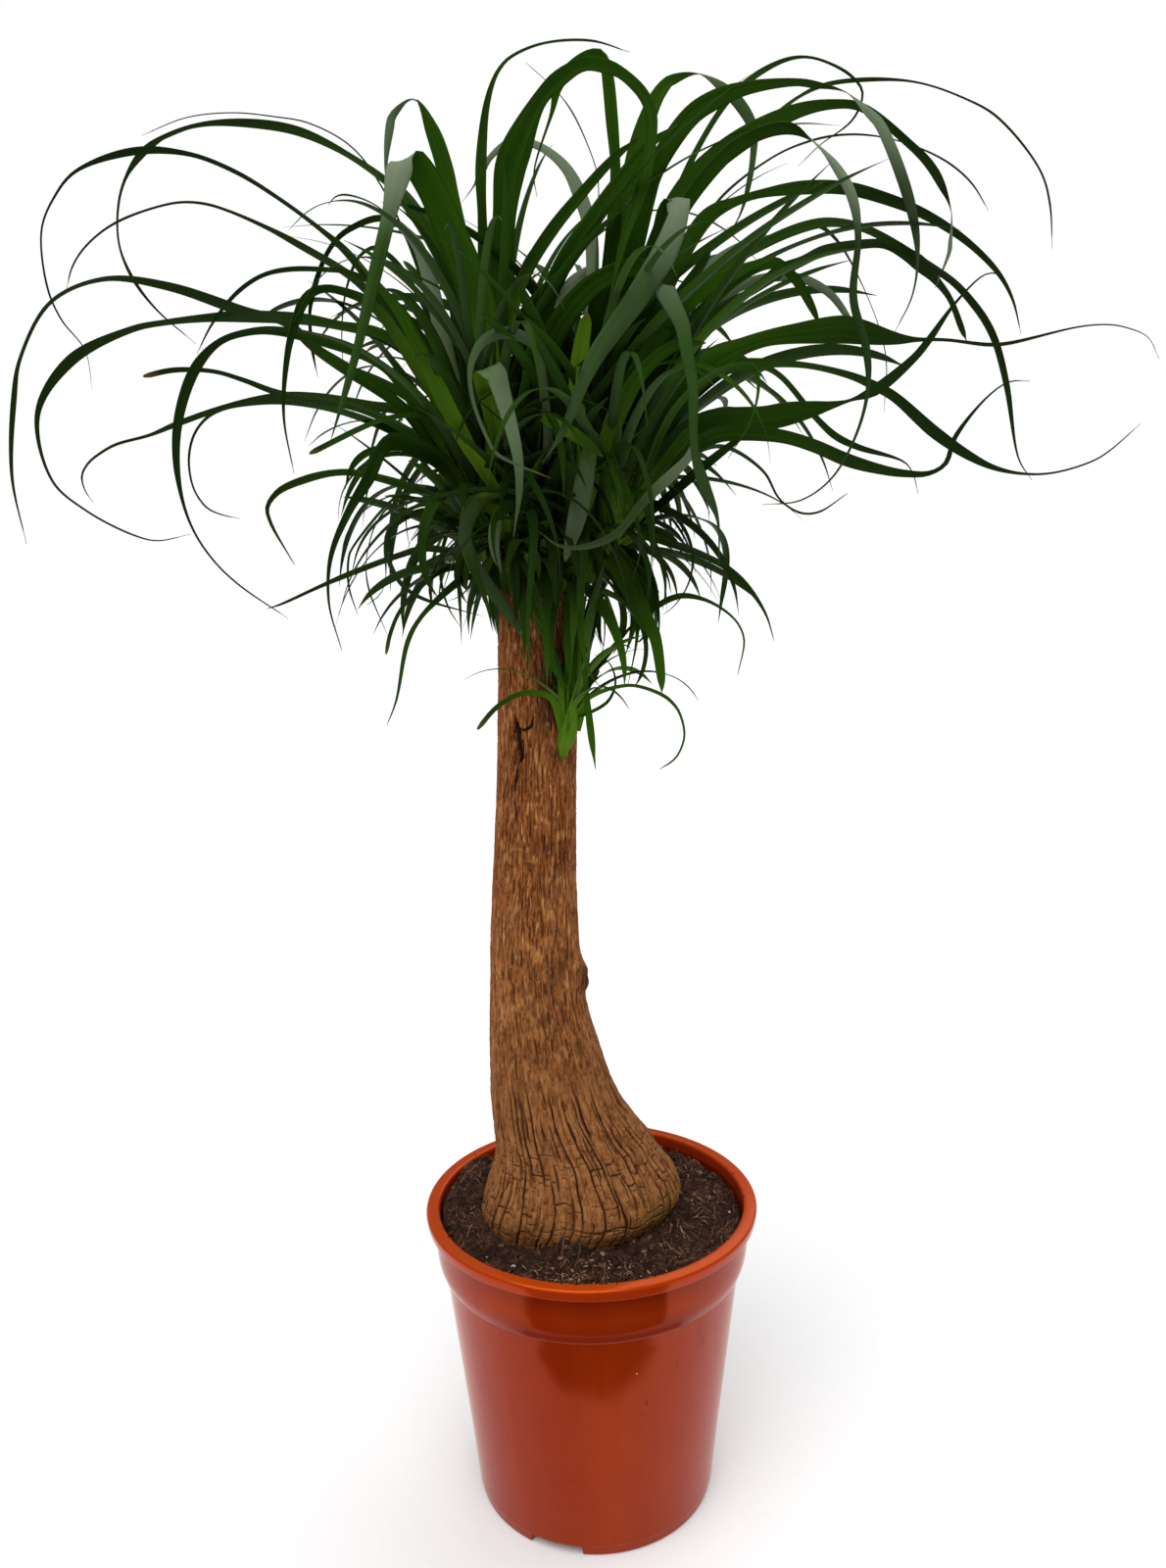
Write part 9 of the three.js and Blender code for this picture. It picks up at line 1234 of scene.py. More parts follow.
def build_trunk():
    cols = 680
    zs = np.concatenate([np.linspace(183, 205, 30, endpoint=False), np.linspace(205, 300, 200, endpoint=False), np.linspace(300, 668, 560)])
    rows = len(zs)
    a = (np.arange(cols) / cols * math.tau)[None, :]
    z = zs[:, None] * np.ones_like(a)
    cx, rx, ry = [v[:, None] for v in trunk_section(zs)]
    k = trunk_radius_factor(a, z)
    x0 = cx + rx * k * np.cos(a)
    y0 = ry * k * np.sin(a)
    u = a / math.tau * np.ones_like(z)  # 0 to 1 round the stem
    girth = math.tau * np.sqrt((rx**2 + ry**2) / 2)
    # arc length down the flank, so that the pattern isn't stretched where the base flares
    flank = np.r_[0, np.cumsum(np.hypot(np.diff(zs), np.diff(trunk_section(zs)[1])))][:, None] * np.ones_like(a)
    warp = fbm(u * 24, flank / 26, 3, 3, 24)
    uu = u + 0.0035 * warp
    front = y0 < 0
    low = smoothstep(352, 292, z + 10 * warp)
    base = smoothstep(300, 262, z)
    foot = smoothstep(232, 218, z + 3 * warp)
    # long furrows that follow the flare, and cracks across the strips between them
    f_a, col_a, in_a = furrows(uu, flank, 52, girth / 52, 21, 30, 30, -0.4, 0.2, 1.15, 0.3)
    f_b, col_b, in_b = furrows(uu, flank, 92, girth / 92, 33, 20, 14, -0.15, 0.4, 0.85, 0.34)
    belt = np.exp(-((z - 277 - 5 * vnoise(u * 9, z / 50, 41, 9)) / 13.0) ** 2)
    chance = 0.42 + 0.38 * belt + 0.45 * foot
    c_a, block = rungs(col_a, in_a, flank, 13.5, 51, chance, 0.95)
    c_b, block_b = rungs(col_b, in_b, flank, 8.0, 57, 0.24 + 0.4 * belt + 0.2 * foot, 0.75)
    # one long crack that rings the foot in arcs, strip by strip
    arc_z = 227 + 3.5 * vnoise(u * 26, u * 0, 63, 26) + 5 * vnoise(u * 11, u * 0 + 4, 64, 11)
    arcs = smoothstep(1.1, 0.0, np.abs(z - arc_z)) * smoothstep(-0.5, 0.1, vnoise(u * 24, z / 40, 65, 24))
    groove_low = np.maximum.reduce([f_a, 0.8 * f_b, 0.85 * c_a * (0.35 + 0.65 * base), 0.6 * c_b * base, 0.85 * arcs])
    # fine fissures of the upper stem: short upright dashes, and a few longer ones
    f_c, _, _ = furrows(uu, flank, 116, girth / 116, 71, 12, 6.5, -0.2, 0.3, 0.75, 0.45)
    f_d, _, _ = furrows(uu, flank, 150, girth / 150, 75, 8, 4.2, -0.1, 0.4, 0.6, 0.48)
    f_e, _, _ = furrows(uu, flank, 56, girth / 56, 79, 20, 10, 0.12, 0.5, 1.15, 0.42)
    patch = smoothstep(-0.45, 0.35, fbm(u * 8, flank / 34, 83, 3, 8))
    groove_up = np.maximum.reduce([0.9 * f_c * (0.5 + 0.5 * patch), 0.75 * f_d, 0.9 * f_e])
    groove = np.maximum(low * groove_low, groove_up * (0.86 - 0.5 * low))
    # bark scales stand a little proud between the cracks
    pillow = 1 - np.abs(2 * np.clip(in_a, 0, 1) - 1) ** 3
    lump = fbm(u * 34, flank / 12, 91, 4, 34)
    soft = fbm(u * 7, flank / 55, 95, 3, 7)
    rope = fbm(u * 60, flank / 46, 99, 3, 60)
    height = (
        -groove_low * low * (1.15 + 0.75 * base)
        - groove_up * (0.8 - 0.4 * low)
        + pillow * 0.55 * low
        + (block - 0.5) * 0.7 * low * base
        + lump * (0.22 + 0.25 * low)
        + soft * (0.55 + 0.6 * low)
        + rope * 0.45 * (1 - 0.4 * low)
        + 0.16 * fbm(u * 190, flank / 3.6, 97, 2, 190)
    )
    # the long split below the top, its side branch and the thin split under it, on the front of the stem
    deep = np.zeros_like(z)
    for pts, wide, depth in (
        ([(-45.8, 577), (-44.2, 570), (-43.2, 560), (-41.5, 551), (-42.5, 547)], 3.3, 5.5),
        ([(-43.0, 569.5), (-38.5, 568.5), (-34.5, 571), (-32.5, 577)], 1.4, 2.2),
        ([(-43.5, 547), (-44.5, 540), (-46.0, 531), (-46.5, 524)], 1.2, 2.0),
        ([(-46.5, 524), (-45.5, 512), (-45.0, 503)], 0.5, 0.8),
        ([(-21.5, 592), (-22.0, 582), (-22.5, 573)], 0.9, 1.4),
        ([(-48.0, 610), (-47.5, 602), (-47.8, 596)], 0.6, 0.9),
        ([(-41.5, 640), (-41.0, 629), (-41.8, 618)], 0.6, 0.9),
    ):
        d, s = line_distance(x0, z, pts)
        w = wide * np.sin(np.pi * np.clip(0.14 + 0.76 * s, 0, 1)) * (1 + 0.35 * vnoise(z / 2.2, x0 / 2.0, 101))
        g = smoothstep(w, w * 0.4, d) * front
        deep = np.maximum(deep, g)
        height = height - g * depth
    # a ledge of lighter bark above the split, where an old sheath came away
    ledge_z = 583 + 1.2 * np.sin(x0 / 5)
    ledge = smoothstep(ledge_z - 6, ledge_z - 1, z) * smoothstep(ledge_z + 9, ledge_z + 1, z) * smoothstep(-57, -50, x0) * smoothstep(-20, -26, x0) * front
    height = height + 0.9 * ledge
    # leaf scar rings round the upper stem
    ring = smoothstep(0.1, 0.0, np.abs(vnoise(u * 3 + 0.2, flank / 13.0, 111, 3))) * smoothstep(430, 520, z)
    height = height - 0.4 * ring
    # healed bud on the right
    da = np.degrees(np.arctan2(np.sin(a - math.radians(-14)), np.cos(a - math.radians(-14)))) * np.ones_like(z)
    bud = np.exp(-np.abs(da / 15) ** 3.2 - np.abs((z - 391) / 10.0) ** 3.2)
    collar = np.exp(-(((np.hypot(da / 25, (z - 390) / 15)) - 1.0) / 0.3) ** 2)
    cup = np.exp(-((da / 7) ** 2) - ((z - 392) / 4.5) ** 2)
    height = height + 6.6 * bud + 1.2 * collar - 2.2 * cup
    n = np.stack([np.cos(a) / rx * np.ones_like(z), np.sin(a) / ry * np.ones_like(z), np.zeros_like(z)], -1)
    dz = np.gradient(rx[:, 0], zs)[:, None]
    n = unit(n)
    n = unit(n + np.stack([0 * z, 0 * z, -np.clip(dz, -1.6, 1.6) * np.ones_like(a)], -1))
    edge = smoothstep(668, 664, z) * smoothstep(183, 190, z)
    n[..., 2] *= edge
    v = np.stack([x0, y0, z], -1) + n * (height * (0.35 + 0.65 * edge))[..., None]
    # sawn top: rings that close in over a slightly uneven cut
    top_rings = []
    for t in (0.93, 0.82, 0.66, 0.5, 0.34, 0.18):
        c = np.array([cx[-1, 0], 0.0])
        rr = v[-1, :, :2] * t + c * (1 - t)
        zz = 668.2 + 0.9 * fbm(rr[:, 0] / 9, rr[:, 1] / 9, 121, 3) - 0.5 * (1 - t)
        top_rings.append(np.column_stack([rr, zz]))
    body = np.concatenate([v.reshape(-1, 3)] + top_rings)
    total = rows + len(top_rings)
    verts = np.vstack([body, [[cx[0, 0], 0, 183]], [[cx[-1, 0], 0, 668]]])
    f = [grid_faces(total, cols), fan(0, cols, total * cols, True), fan((total - 1) * cols, cols, total * cols + 1, False)]
    # colour cues
    wx, wy, wz = v[..., 0], v[..., 1], v[..., 2]
    patchy = fbm(u * 9, flank / 22, 131, 4, 9)
    moss = smoothstep(250, 224, wz) * (smoothstep(18, 50, wx) * smoothstep(-66, -14, -np.abs(wy + 26)) + 0.5 * smoothstep(-64, -78, wx)) * smoothstep(-0.4, 0.35, patchy + 0.1)
    moss = np.maximum(moss, 0.5 * foot * smoothstep(0.1, 0.6, fbm(u * 12, flank / 14, 133, 3, 12)))
    moss = np.clip(moss, 0, 1) * (0.55 + 0.45 * groove)
    stain_and_shade = 0.0 * z
    for sx, sz, ax, az, lean, power in (
        (-43, 322, 9, 20, 0.45, 0.55), (-32, 345, 10, 16, 0.5, 0.6), (-24, 362, 8, 14, 0.4, 0.45), (-29.7, 486, 9, 17, 0.0, 0.6), (-22, 402, 8, 16, 0.0, 0.6), (-44, 398, 6, 22, 0.0, 0.35),
        (-33, 455, 14, 12, 0.3, 0.4), (-48, 540, 7, 26, 0.0, 0.3), (-20, 470, 7, 20, 0.2, 0.4), (-29, 282, 12, 9, 0.0, 0.35), (2, 330, 8, 18, -0.5, 0.3), (-52, 430, 7, 22, 0.0, 0.35),
        (-15, 556, 9, 9, 0.0, 0.55), (-30, 630, 16, 12, 0.0, 0.5), (-48, 646, 12, 14, 0.0, 0.5), (-34, 556, 9, 18, 0.0, 0.35),
    ):
        dx, dzz = wx - sx - lean * (wz - sz), wz - sz
        blot = np.exp(-((dx / ax) ** 2 + (dzz / az) ** 2) ** 1.2)
        stain_and_shade = np.maximum(stain_and_shade, power * blot * front * smoothstep(-0.75, 0.25, patchy + 0.4 * vnoise(u * 60, flank / 5, 137, 60)))
    behind = smoothstep(0.1, 0.6, fbm(u * 7, flank / 26, 139, 3, 7)) * smoothstep(-0.2, 0.3, np.sin(a) + 0.2)
    stain_and_shade = np.maximum(stain_and_shade, 0.5 * behind)
    # painted shade on the front of the stem under the side shoot, carried with the stains
    shade = smoothstep(-38, -24, wx) * smoothstep(1, -8, wy) * smoothstep(560, 575, wz) * smoothstep(650, 605, wz + 6 * patchy)
    stain_and_shade = np.maximum(stain_and_shade, 0.95 * shade)
    stain_and_shade = np.maximum(stain_and_shade, 0.4 * smoothstep(0.3, 0.7, patchy) * smoothstep(600, 380, wz))
    stain_and_shade = np.maximum(stain_and_shade, 0.95 * np.clip(1.25 * bud, 0, 1))
    warm = np.clip(smoothstep(330, 520, wz) * (0.7 + 0.5 * patchy) + 0.5 * smoothstep(0.2, 0.7, fbm(u * 6, flank / 30, 151, 3, 6)) * (1 - foot), 0, 1)
    warm = warm * (1 - 0.8 * ledge)
    scar = 0.0 * z
    for sx, sz, ax, az in ((-23, 579.5, 1.0, 3.0), (-23.2, 572.5, 1.3, 1.4), (-33.5, 518.7, 4.5, 0.8), (-31.9, 503.4, 2.5, 0.7), (-37.7, 480, 4, 0.6), (-31.5, 526, 1.4, 1.2), (-45, 488, 3, 0.7)):
        scar = np.maximum(scar, front * np.exp(-(((wx - sx) / ax) ** 2 + ((wz - sz) / az) ** 2)) * 0.5)
    dots = smoothstep(0.16, 0.06, cells(u * 60, flank / 5.5, 161, 60)[0]) * (cells(u * 60, flank / 5.5, 161, 60)[2] > 0.8)
    scar = np.maximum(scar, 0.5 * dots)
    g = np.clip(np.maximum(groove, deep), 0, 1)
    col = np.stack([g, moss, np.clip(stain_and_shade, 0, 1), warm], -1).reshape(-1, 4)
    fleck = fbm(u * 112, flank / 7.5, 171, 2, 112)
    crest = np.clip(pillow * low * 0.7 + (1 - low) * smoothstep(0.1, 0.5, fleck), 0, 1)
    col2 = np.stack([crest, np.clip(scar, 0, 1), 0 * z, 0 * z + 1], -1).reshape(-1, 4)
    cap = np.zeros((len(verts) - len(col), 4))
    cap[:, 0] = 0.1
    ob = make_mesh("stem_bark", verts, f, BARK, {"bark": np.vstack([col, cap]), "bark2": np.vstack([col2, cap * 0])})
    ob.data.materials.append(CUT)
    which = np.zeros(len(ob.data.polygons), np.int32)
    nq = (rows - 1) * cols
    which[nq + cols:(total - 1) * cols] = 1
    which[-cols:] = 1
    ob.data.polygons.foreach_set("material_index", which)
    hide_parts("trunk")
    return ob


# ------------------------------------------------------------------ soil
def soil_top(x, y):
    r = np.hypot(x, y)
    heap = 9 * np.exp(-((x + 78) ** 2 + (y - 34) ** 2) / 2600)
    d = (np.hypot((x + 12.5) / 68.5, y / 56.0) - 1) * 60
    heap = heap + 5.0 * np.exp(-(np.clip(d, 0, None) / 13) ** 2)
    # packed higher at the left and the back right, with a small mound against the front of the stem
    heap = heap + 8 * np.exp(-((x + 104) ** 2) / 700 - (y + 5) ** 2 / 2200) + 8 * np.exp(-((x - 92) ** 2) / 1500 - (y - 35) ** 2 / 2600)
    heap = heap + 8 * np.exp(-((x + 85) ** 2) / 1200 - (y - 62) ** 2 / 900)
    heap = heap + 19 * np.exp(-((x + 17) ** 2) / 150 - (y + 55) ** 2 / 130)
    return 204 + heap + 1.3 * np.sin(0.11 * x + 0.6) * np.cos(0.09 * y) + 0.9 * np.sin(0.23 * x - 0.19 * y) - 2.2 * (r / 106) ** 4


def soil_relief(x, y):
    big = fbm(x / 15, y / 15, 201, 3) * 3.0
    wx, wy = x + 2.4 * fbm(x / 5, y / 5, 203, 2), y + 2.4 * fbm(x / 5, y / 5, 204, 2)
    f1, f2, who = cells(wx / 8.5, wy / 8.5, 207, 0, 0.95)
    clod = (0.55 - f1) * 5.0 * (0.2 + 0.9 * who)
    g1, g2, w2 = cells(wx / 3.2, wy / 3.2, 211, 0, 0.95)
    crumb = (0.5 - g1) * 2.1 * (0.3 + w2)
    # loose heaps: against the wall at the left and back right, and a small one at the foot of the stem
    heap = 4.5 * np.exp(-((x + 92) ** 2 + (y - 40) ** 2) / 700) + 8.5 * np.exp(-((x - 62) ** 2 + (y - 82) ** 2) / 1300)
    heap = heap + 2.5 * np.exp(-((x - 78) ** 2 + (y - 20) ** 2) / 500)
    return big + clod + crumb + heap + 0.5 * fbm(x / 1.1, y / 1.1, 215, 2)


def wall_radius(z):
    return np.where(z < 174, 84.3 + (104.0 - 84.3) * np.clip((z - 12) / 162, 0, 1), np.where(z < 190, 104.0 + (108.4 - 104.0) * (z - 174) / 16, 108.5))


def build_soil():
    cols = 560
    a = np.arange(cols) / cols * math.tau
    cxy = np.array([-12.0, 0.0])
    # where the soil meets the stem, direction by direction
    z = np.full(cols, 206.0)
    for _ in range(30):
        cx, rx, ry = trunk_section(z)
        k = trunk_radius_factor(a, z)
        x, y = cx + (rx * k - 0.9) * np.cos(a), (ry * k - 0.9) * np.sin(a)
        z = 0.5 * z + 0.5 * (soil_top(x, y) + 2.0 * fbm(x / 9, y / 9, 221, 2))
    inner = np.column_stack([x, y])
    d = unit(inner - cxy)
    r_wall = 108.2
    b = (cxy[None, :] * d).sum(1)
    t = -b + np.sqrt(b * b - (cxy @ cxy) + r_wall**2)
    outer = cxy + d * t[:, None]
    rings = []
    steps = 120
    for i in range(steps):
        s = i / (steps - 1)
        p = inner * (1 - s) + outer * s
        h = soil_top(p[:, 0], p[:, 1]) + soil_relief(p[:, 0], p[:, 1]) * (0.25 + 0.75 * min(1, s * 10)) * (1.0 if s < 0.97 else 0.6)
        h = h + 2.2 * math.exp(-s * 14)
        rings.append(np.column_stack([p, h]))
    edge = rings[-1]
    ang = np.arctan2(edge[:, 1], edge[:, 0])
    down = []
    for zz in (196, 188, 174, 120, 60, 16, 11):
        rr = wall_radius(np.array(float(zz))) - (4.5 if zz == 11 else 0)
        down.append(np.column_stack([rr * np.cos(ang), rr * np.sin(ang), np.full(cols, float(zz))]))
    # down along the buried part of the stem to the bottom of its hollow
    into = []
    for s in np.linspace(0.15, 1, 8):
        zz = z * (1 - s) + 182.4 * s
        cx, rx, ry = trunk_section(np.maximum(zz, 183))
        k = trunk_radius_factor(a, zz)
        into.append(np.column_stack([cx + (rx * k + 0.3) * np.cos(a), (ry * k + 0.3) * np.sin(a), zz]))
    allrings = into[::-1] + rings + down
    verts = np.concatenate(allrings)
    n = len(allrings)
    verts = np.vstack([verts, [[-15.2, 0, 182.4]], [[0, 0, 11]]])
    f = [grid_faces(n, cols), fan(0, cols, n * cols, True), fan((n - 1) * cols, cols, n * cols + 1, False)]
    # rings run outward over the top, so the quads are turned to face up
    f = [q[:, ::-1] for q in f]
    ob = make_mesh("soil_bed", verts, f, SOIL)
    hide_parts("potting_soil")
    return ob


def surface_height(x, y):
    return soil_top(x, y) + soil_relief(x, y)


def free_of_stem(x, y, margin=1.0):
    cx, rx, ry = [float(v) for v in trunk_section(212.0)]
    return ((x - cx) / (rx + margin)) ** 2 + (y / (ry + margin)) ** 2 > 1


ICO = None


def blob(rng, size, squash=0.7):
    """A small irregular lump: an icosphere whose points are pushed in and out."""
    global ICO
    if ICO is None:
        import bmesh
        bm = bmesh.new()
        bmesh.ops.create_icosphere(bm, subdivisions=2, radius=1.0)
        bm.verts.ensure_lookup_table()
        ICO = (np.array([v.co[:] for v in bm.verts]), np.array([[v.index for v in f.verts] for f in bm.faces]))
        bm.free()
    p, f = ICO
    k = rng.normal(size=(4, 3))
    bulge = 1 + 0.16 * np.sin(p @ k[0] * 2.2 + k[1, 0]) + 0.14 * np.sin(p @ k[2] * 3.3 + k[1, 1]) + 0.07 * rng.normal(size=len(p))
    q = p * bulge[:, None]
    q = q * np.array([1, rng.uniform(0.55, 1.0), squash * rng.uniform(0.6, 1.0)])
    t = rng.uniform(0, math.tau)
    c, s = math.cos(t), math.sin(t)
    q = q @ np.array([[c, s, 0], [-s, c, 0], [0, 0, 1]])
    return q * size, f


def strand(points, radius, sides=5):
    """A thin closed tube along points, thinner at its ends."""
    p = np.asarray(points, float)
    t = unit(np.gradient(p, axis=0))
    ref = np.array([0.3, 0.2, 1.0]) if abs(t[0, 2]) < 0.9 else np.array([1.0, 0, 0])
    e = unit(np.cross(t, ref))
    g = np.cross(t, e)
    n = len(p)
    s = np.linspace(0, 1, n)
    r = radius * (0.35 + 0.65 * np.sin(np.pi * np.clip(0.06 + 0.88 * s, 0, 1)))
    a = np.arange(sides) / sides * math.tau
    v = p[:, None, :] + r[:, None, None] * (np.cos(a)[None, :, None] * e[:, None, :] + np.sin(a)[None, :, None] * g[:, None, :])
    v = v.reshape(-1, 3)
    v = np.vstack([v, p[:1], p[-1:]])
    f4 = grid_faces(n, sides)
    f3 = np.vstack([fan(0, sides, n * sides, True), fan((n - 1) * sides, sides, n * sides + 1, False)])
    return v, f4, f3


def join(parts):
    """Several (points, quads, triangles, tone) as one."""
    V, Q, T, C, at = [], [], [], [], 0
    for v, q, t, c in parts:
        V.append(v)
        if len(q):
            Q.append(q + at)
        if len(t):
            T.append(t + at)
        C.append(np.tile(np.asarray(c, float), (len(v), 1)))
        at += len(v)
    return np.vstack(V), [np.vstack(Q) if Q else np.zeros((0, 4), int), np.vstack(T) if T else np.zeros((0, 3), int)], np.vstack(C)


def build_litter():
    rng = np.random.default_rng(5)
    lumps = []
    while len(lumps) < 1300:
        r, t = 107 * math.sqrt(rng.uniform()), rng.uniform(0, math.tau)
        x, y = r * math.cos(t), r * math.sin(t)
        if not free_of_stem(x, y, -2):
            continue
        size = rng.gamma(2.0, 0.55) + 0.5
        size = min(size, 4.2)
        q, f = blob(rng, size)
        h = float(surface_height(np.array(x), np.array(y)))
        q = q + [x, y, h - 0.1 * size]
        if np.hypot(q[:, 0], q[:, 1]).max() > 108.6:
            continue
        tone = rng.uniform(0.0, 0.55) if rng.uniform() < 0.85 else rng.uniform(0.55, 0.8)
        lumps.append((q, np.zeros((0, 4), int), f, [tone, 0, 0, 1]))
    v, f, c = join(lumps)
    make_mesh("soil_crumbs", v, f, FIBRE, {"tone": c})
    hairs = []

    def hair(x, y, length, radius, tone, lift=1.0, heading=None):
        t = rng.uniform(0, math.tau) if heading is None else heading
        n = 8
        pts, px, py, bend = [], x, y, rng.normal() * 0.2
        arch = rng.uniform(0.1, 1.1) * lift
        for i in range(n):
            s = i / (n - 1)
            if math.hypot(px, py) > 107.6 or not free_of_stem(px, py, 1.5):
                return
            z = float(surface_height(np.array(px), np.array(py)))
            pts.append([px, py, z + radius + 0.5 + arch * math.sin(math.pi * s) + 0.4 * math.sin(7 * s + x)])
            t += bend * 0.4 + rng.normal() * 0.16
            px += math.cos(t) * length / n
            py += math.sin(t) * length / n
        v, q, f3 = strand(pts, radius)
        hairs.append((v, q, f3, [tone, 0, 0, 1]))

    while len(hairs) < 1700:
        r, t = 107 * math.sqrt(rng.uniform()), rng.uniform(0, math.tau)
        hair(r * math.cos(t), r * math.sin(t), rng.gamma(3, 2.4) + 2.5, rng.uniform(0.14, 0.38), rng.beta(1.8, 2.4), 1.2)
    # looser tufts of pale fibre where the straw shows
    for cx, cy, n, spread, light in ((-29, -70, 10, 8, 0.8), (-3, -76, 14, 10, 0.85), (15, -68, 10, 7, 0.85), (-17, -64, 14, 6, 0.66), (-94, -18, 60, 9, 0.62), (75, 62, 70, 13, 0.66), (88, 4, 45, 12, 0.72),
                                     (-92, 36, 60, 10, 0.62), (60, -52, 40, 14, 0.6), (96, -22, 30, 8, 0.66)):
        for _ in range(n):
            hair(cx + rng.normal() * spread, cy + rng.normal() * spread * 0.5, rng.uniform(3, 9), rng.uniform(0.16, 0.36), float(np.clip(rng.normal(light, 0.14), 0, 1)), lift=1.6)
    v, f, c = join(hairs)
    make_mesh("soil_fibres", v, f, FIBRE, {"tone": c})
    # flat chips of bark and straw among them
    chips = []
    for k in range(480):
        if k < 120:
            x, y = (rng.normal(-6, 22), rng.normal(-74, 6))
            tone = float(np.clip(rng.normal(0.8, 0.18), 0, 1))
        else:
            r, t = 106 * math.sqrt(rng.uniform()), rng.uniform(0, math.tau)
            x, y, tone = r * math.cos(t), r * math.sin(t), rng.beta(1.6, 2.2)
        if not free_of_stem(x, y, 1.0):
            continue
        q, f = blob(rng, rng.uniform(0.6, 1.7) + (0.6 if k < 6 else 0.0), 0.3)
        tilt = rng.uniform(-0.7, 0.7)
        c, s = math.cos(tilt), math.sin(tilt)
        q = q * [1.5, 0.7, 1.0]
        q = q @ np.array([[c, 0, -s], [0, 1, 0], [s, 0, c]])
        a = rng.uniform(0, math.tau)
        c, s = math.cos(a), math.sin(a)
        q = q @ np.array([[c, s, 0], [-s, c, 0], [0, 0, 1]])
        q = q + [x, y, float(surface_height(np.array(x), np.array(y))) + 0.5]
        if np.hypot(q[:, 0], q[:, 1]).max() > 108.4:
            continue
        chips.append((q, np.zeros((0, 4), int), f, [tone, 0, 0, 1]))
    v, f, c = join(chips)
    make_mesh("soil_chips", v, f, FIBRE, {"tone": c})
    bits = []
    for x, y, s in ((-54, -63, 1.35), (-20, -72, 0.6), (11, -71, 0.8), (60, -52, 0.7), (74, 5, 0.9), (101, -2, 1.0), (-84, 26, 0.5), (-73, -52, 0.6), (48, -70, 0.5), (22, 84, 0.9), (-30, 78, 0.8), (70, 52, 0.7)):
        q, f = blob(rng, s, 0.9)
        h = float(surface_height(np.array(float(x)), np.array(float(y))))
        bits.append((q + [x, y, h + 0.9 * s], np.zeros((0, 4), int), f, [1, 1, 1, 1]))
    v, f, c = join(bits)
    make_mesh("perlite_grains", v, f, PERLITE)
    # crumbs that lie on the rim
    rim = []
    for _ in range(90):
        t = math.radians(rng.normal(-98, 15)) if rng.uniform() < 0.75 else rng.uniform(0, math.tau)
        r = rng.uniform(110.4, 112.8)
        s = rng.uniform(0.25, 0.85)
        q, f = blob(rng, s)
        rim.append((q + [r * math.cos(t), r * math.sin(t), 221.1 + 0.35 * s], np.zeros((0, 4), int), f, [rng.uniform(0, 0.4), 0, 0, 1]))
    v, f, c = join(rim)
    make_mesh("rim_crumbs", v, f, FIBRE, {"tone": c})


# ------------------------------------------------------------------ leaves
PROFILE = np.array([-1.0, -0.72, -0.4, -0.12, 0.12, 0.4, 0.72, 1.0])


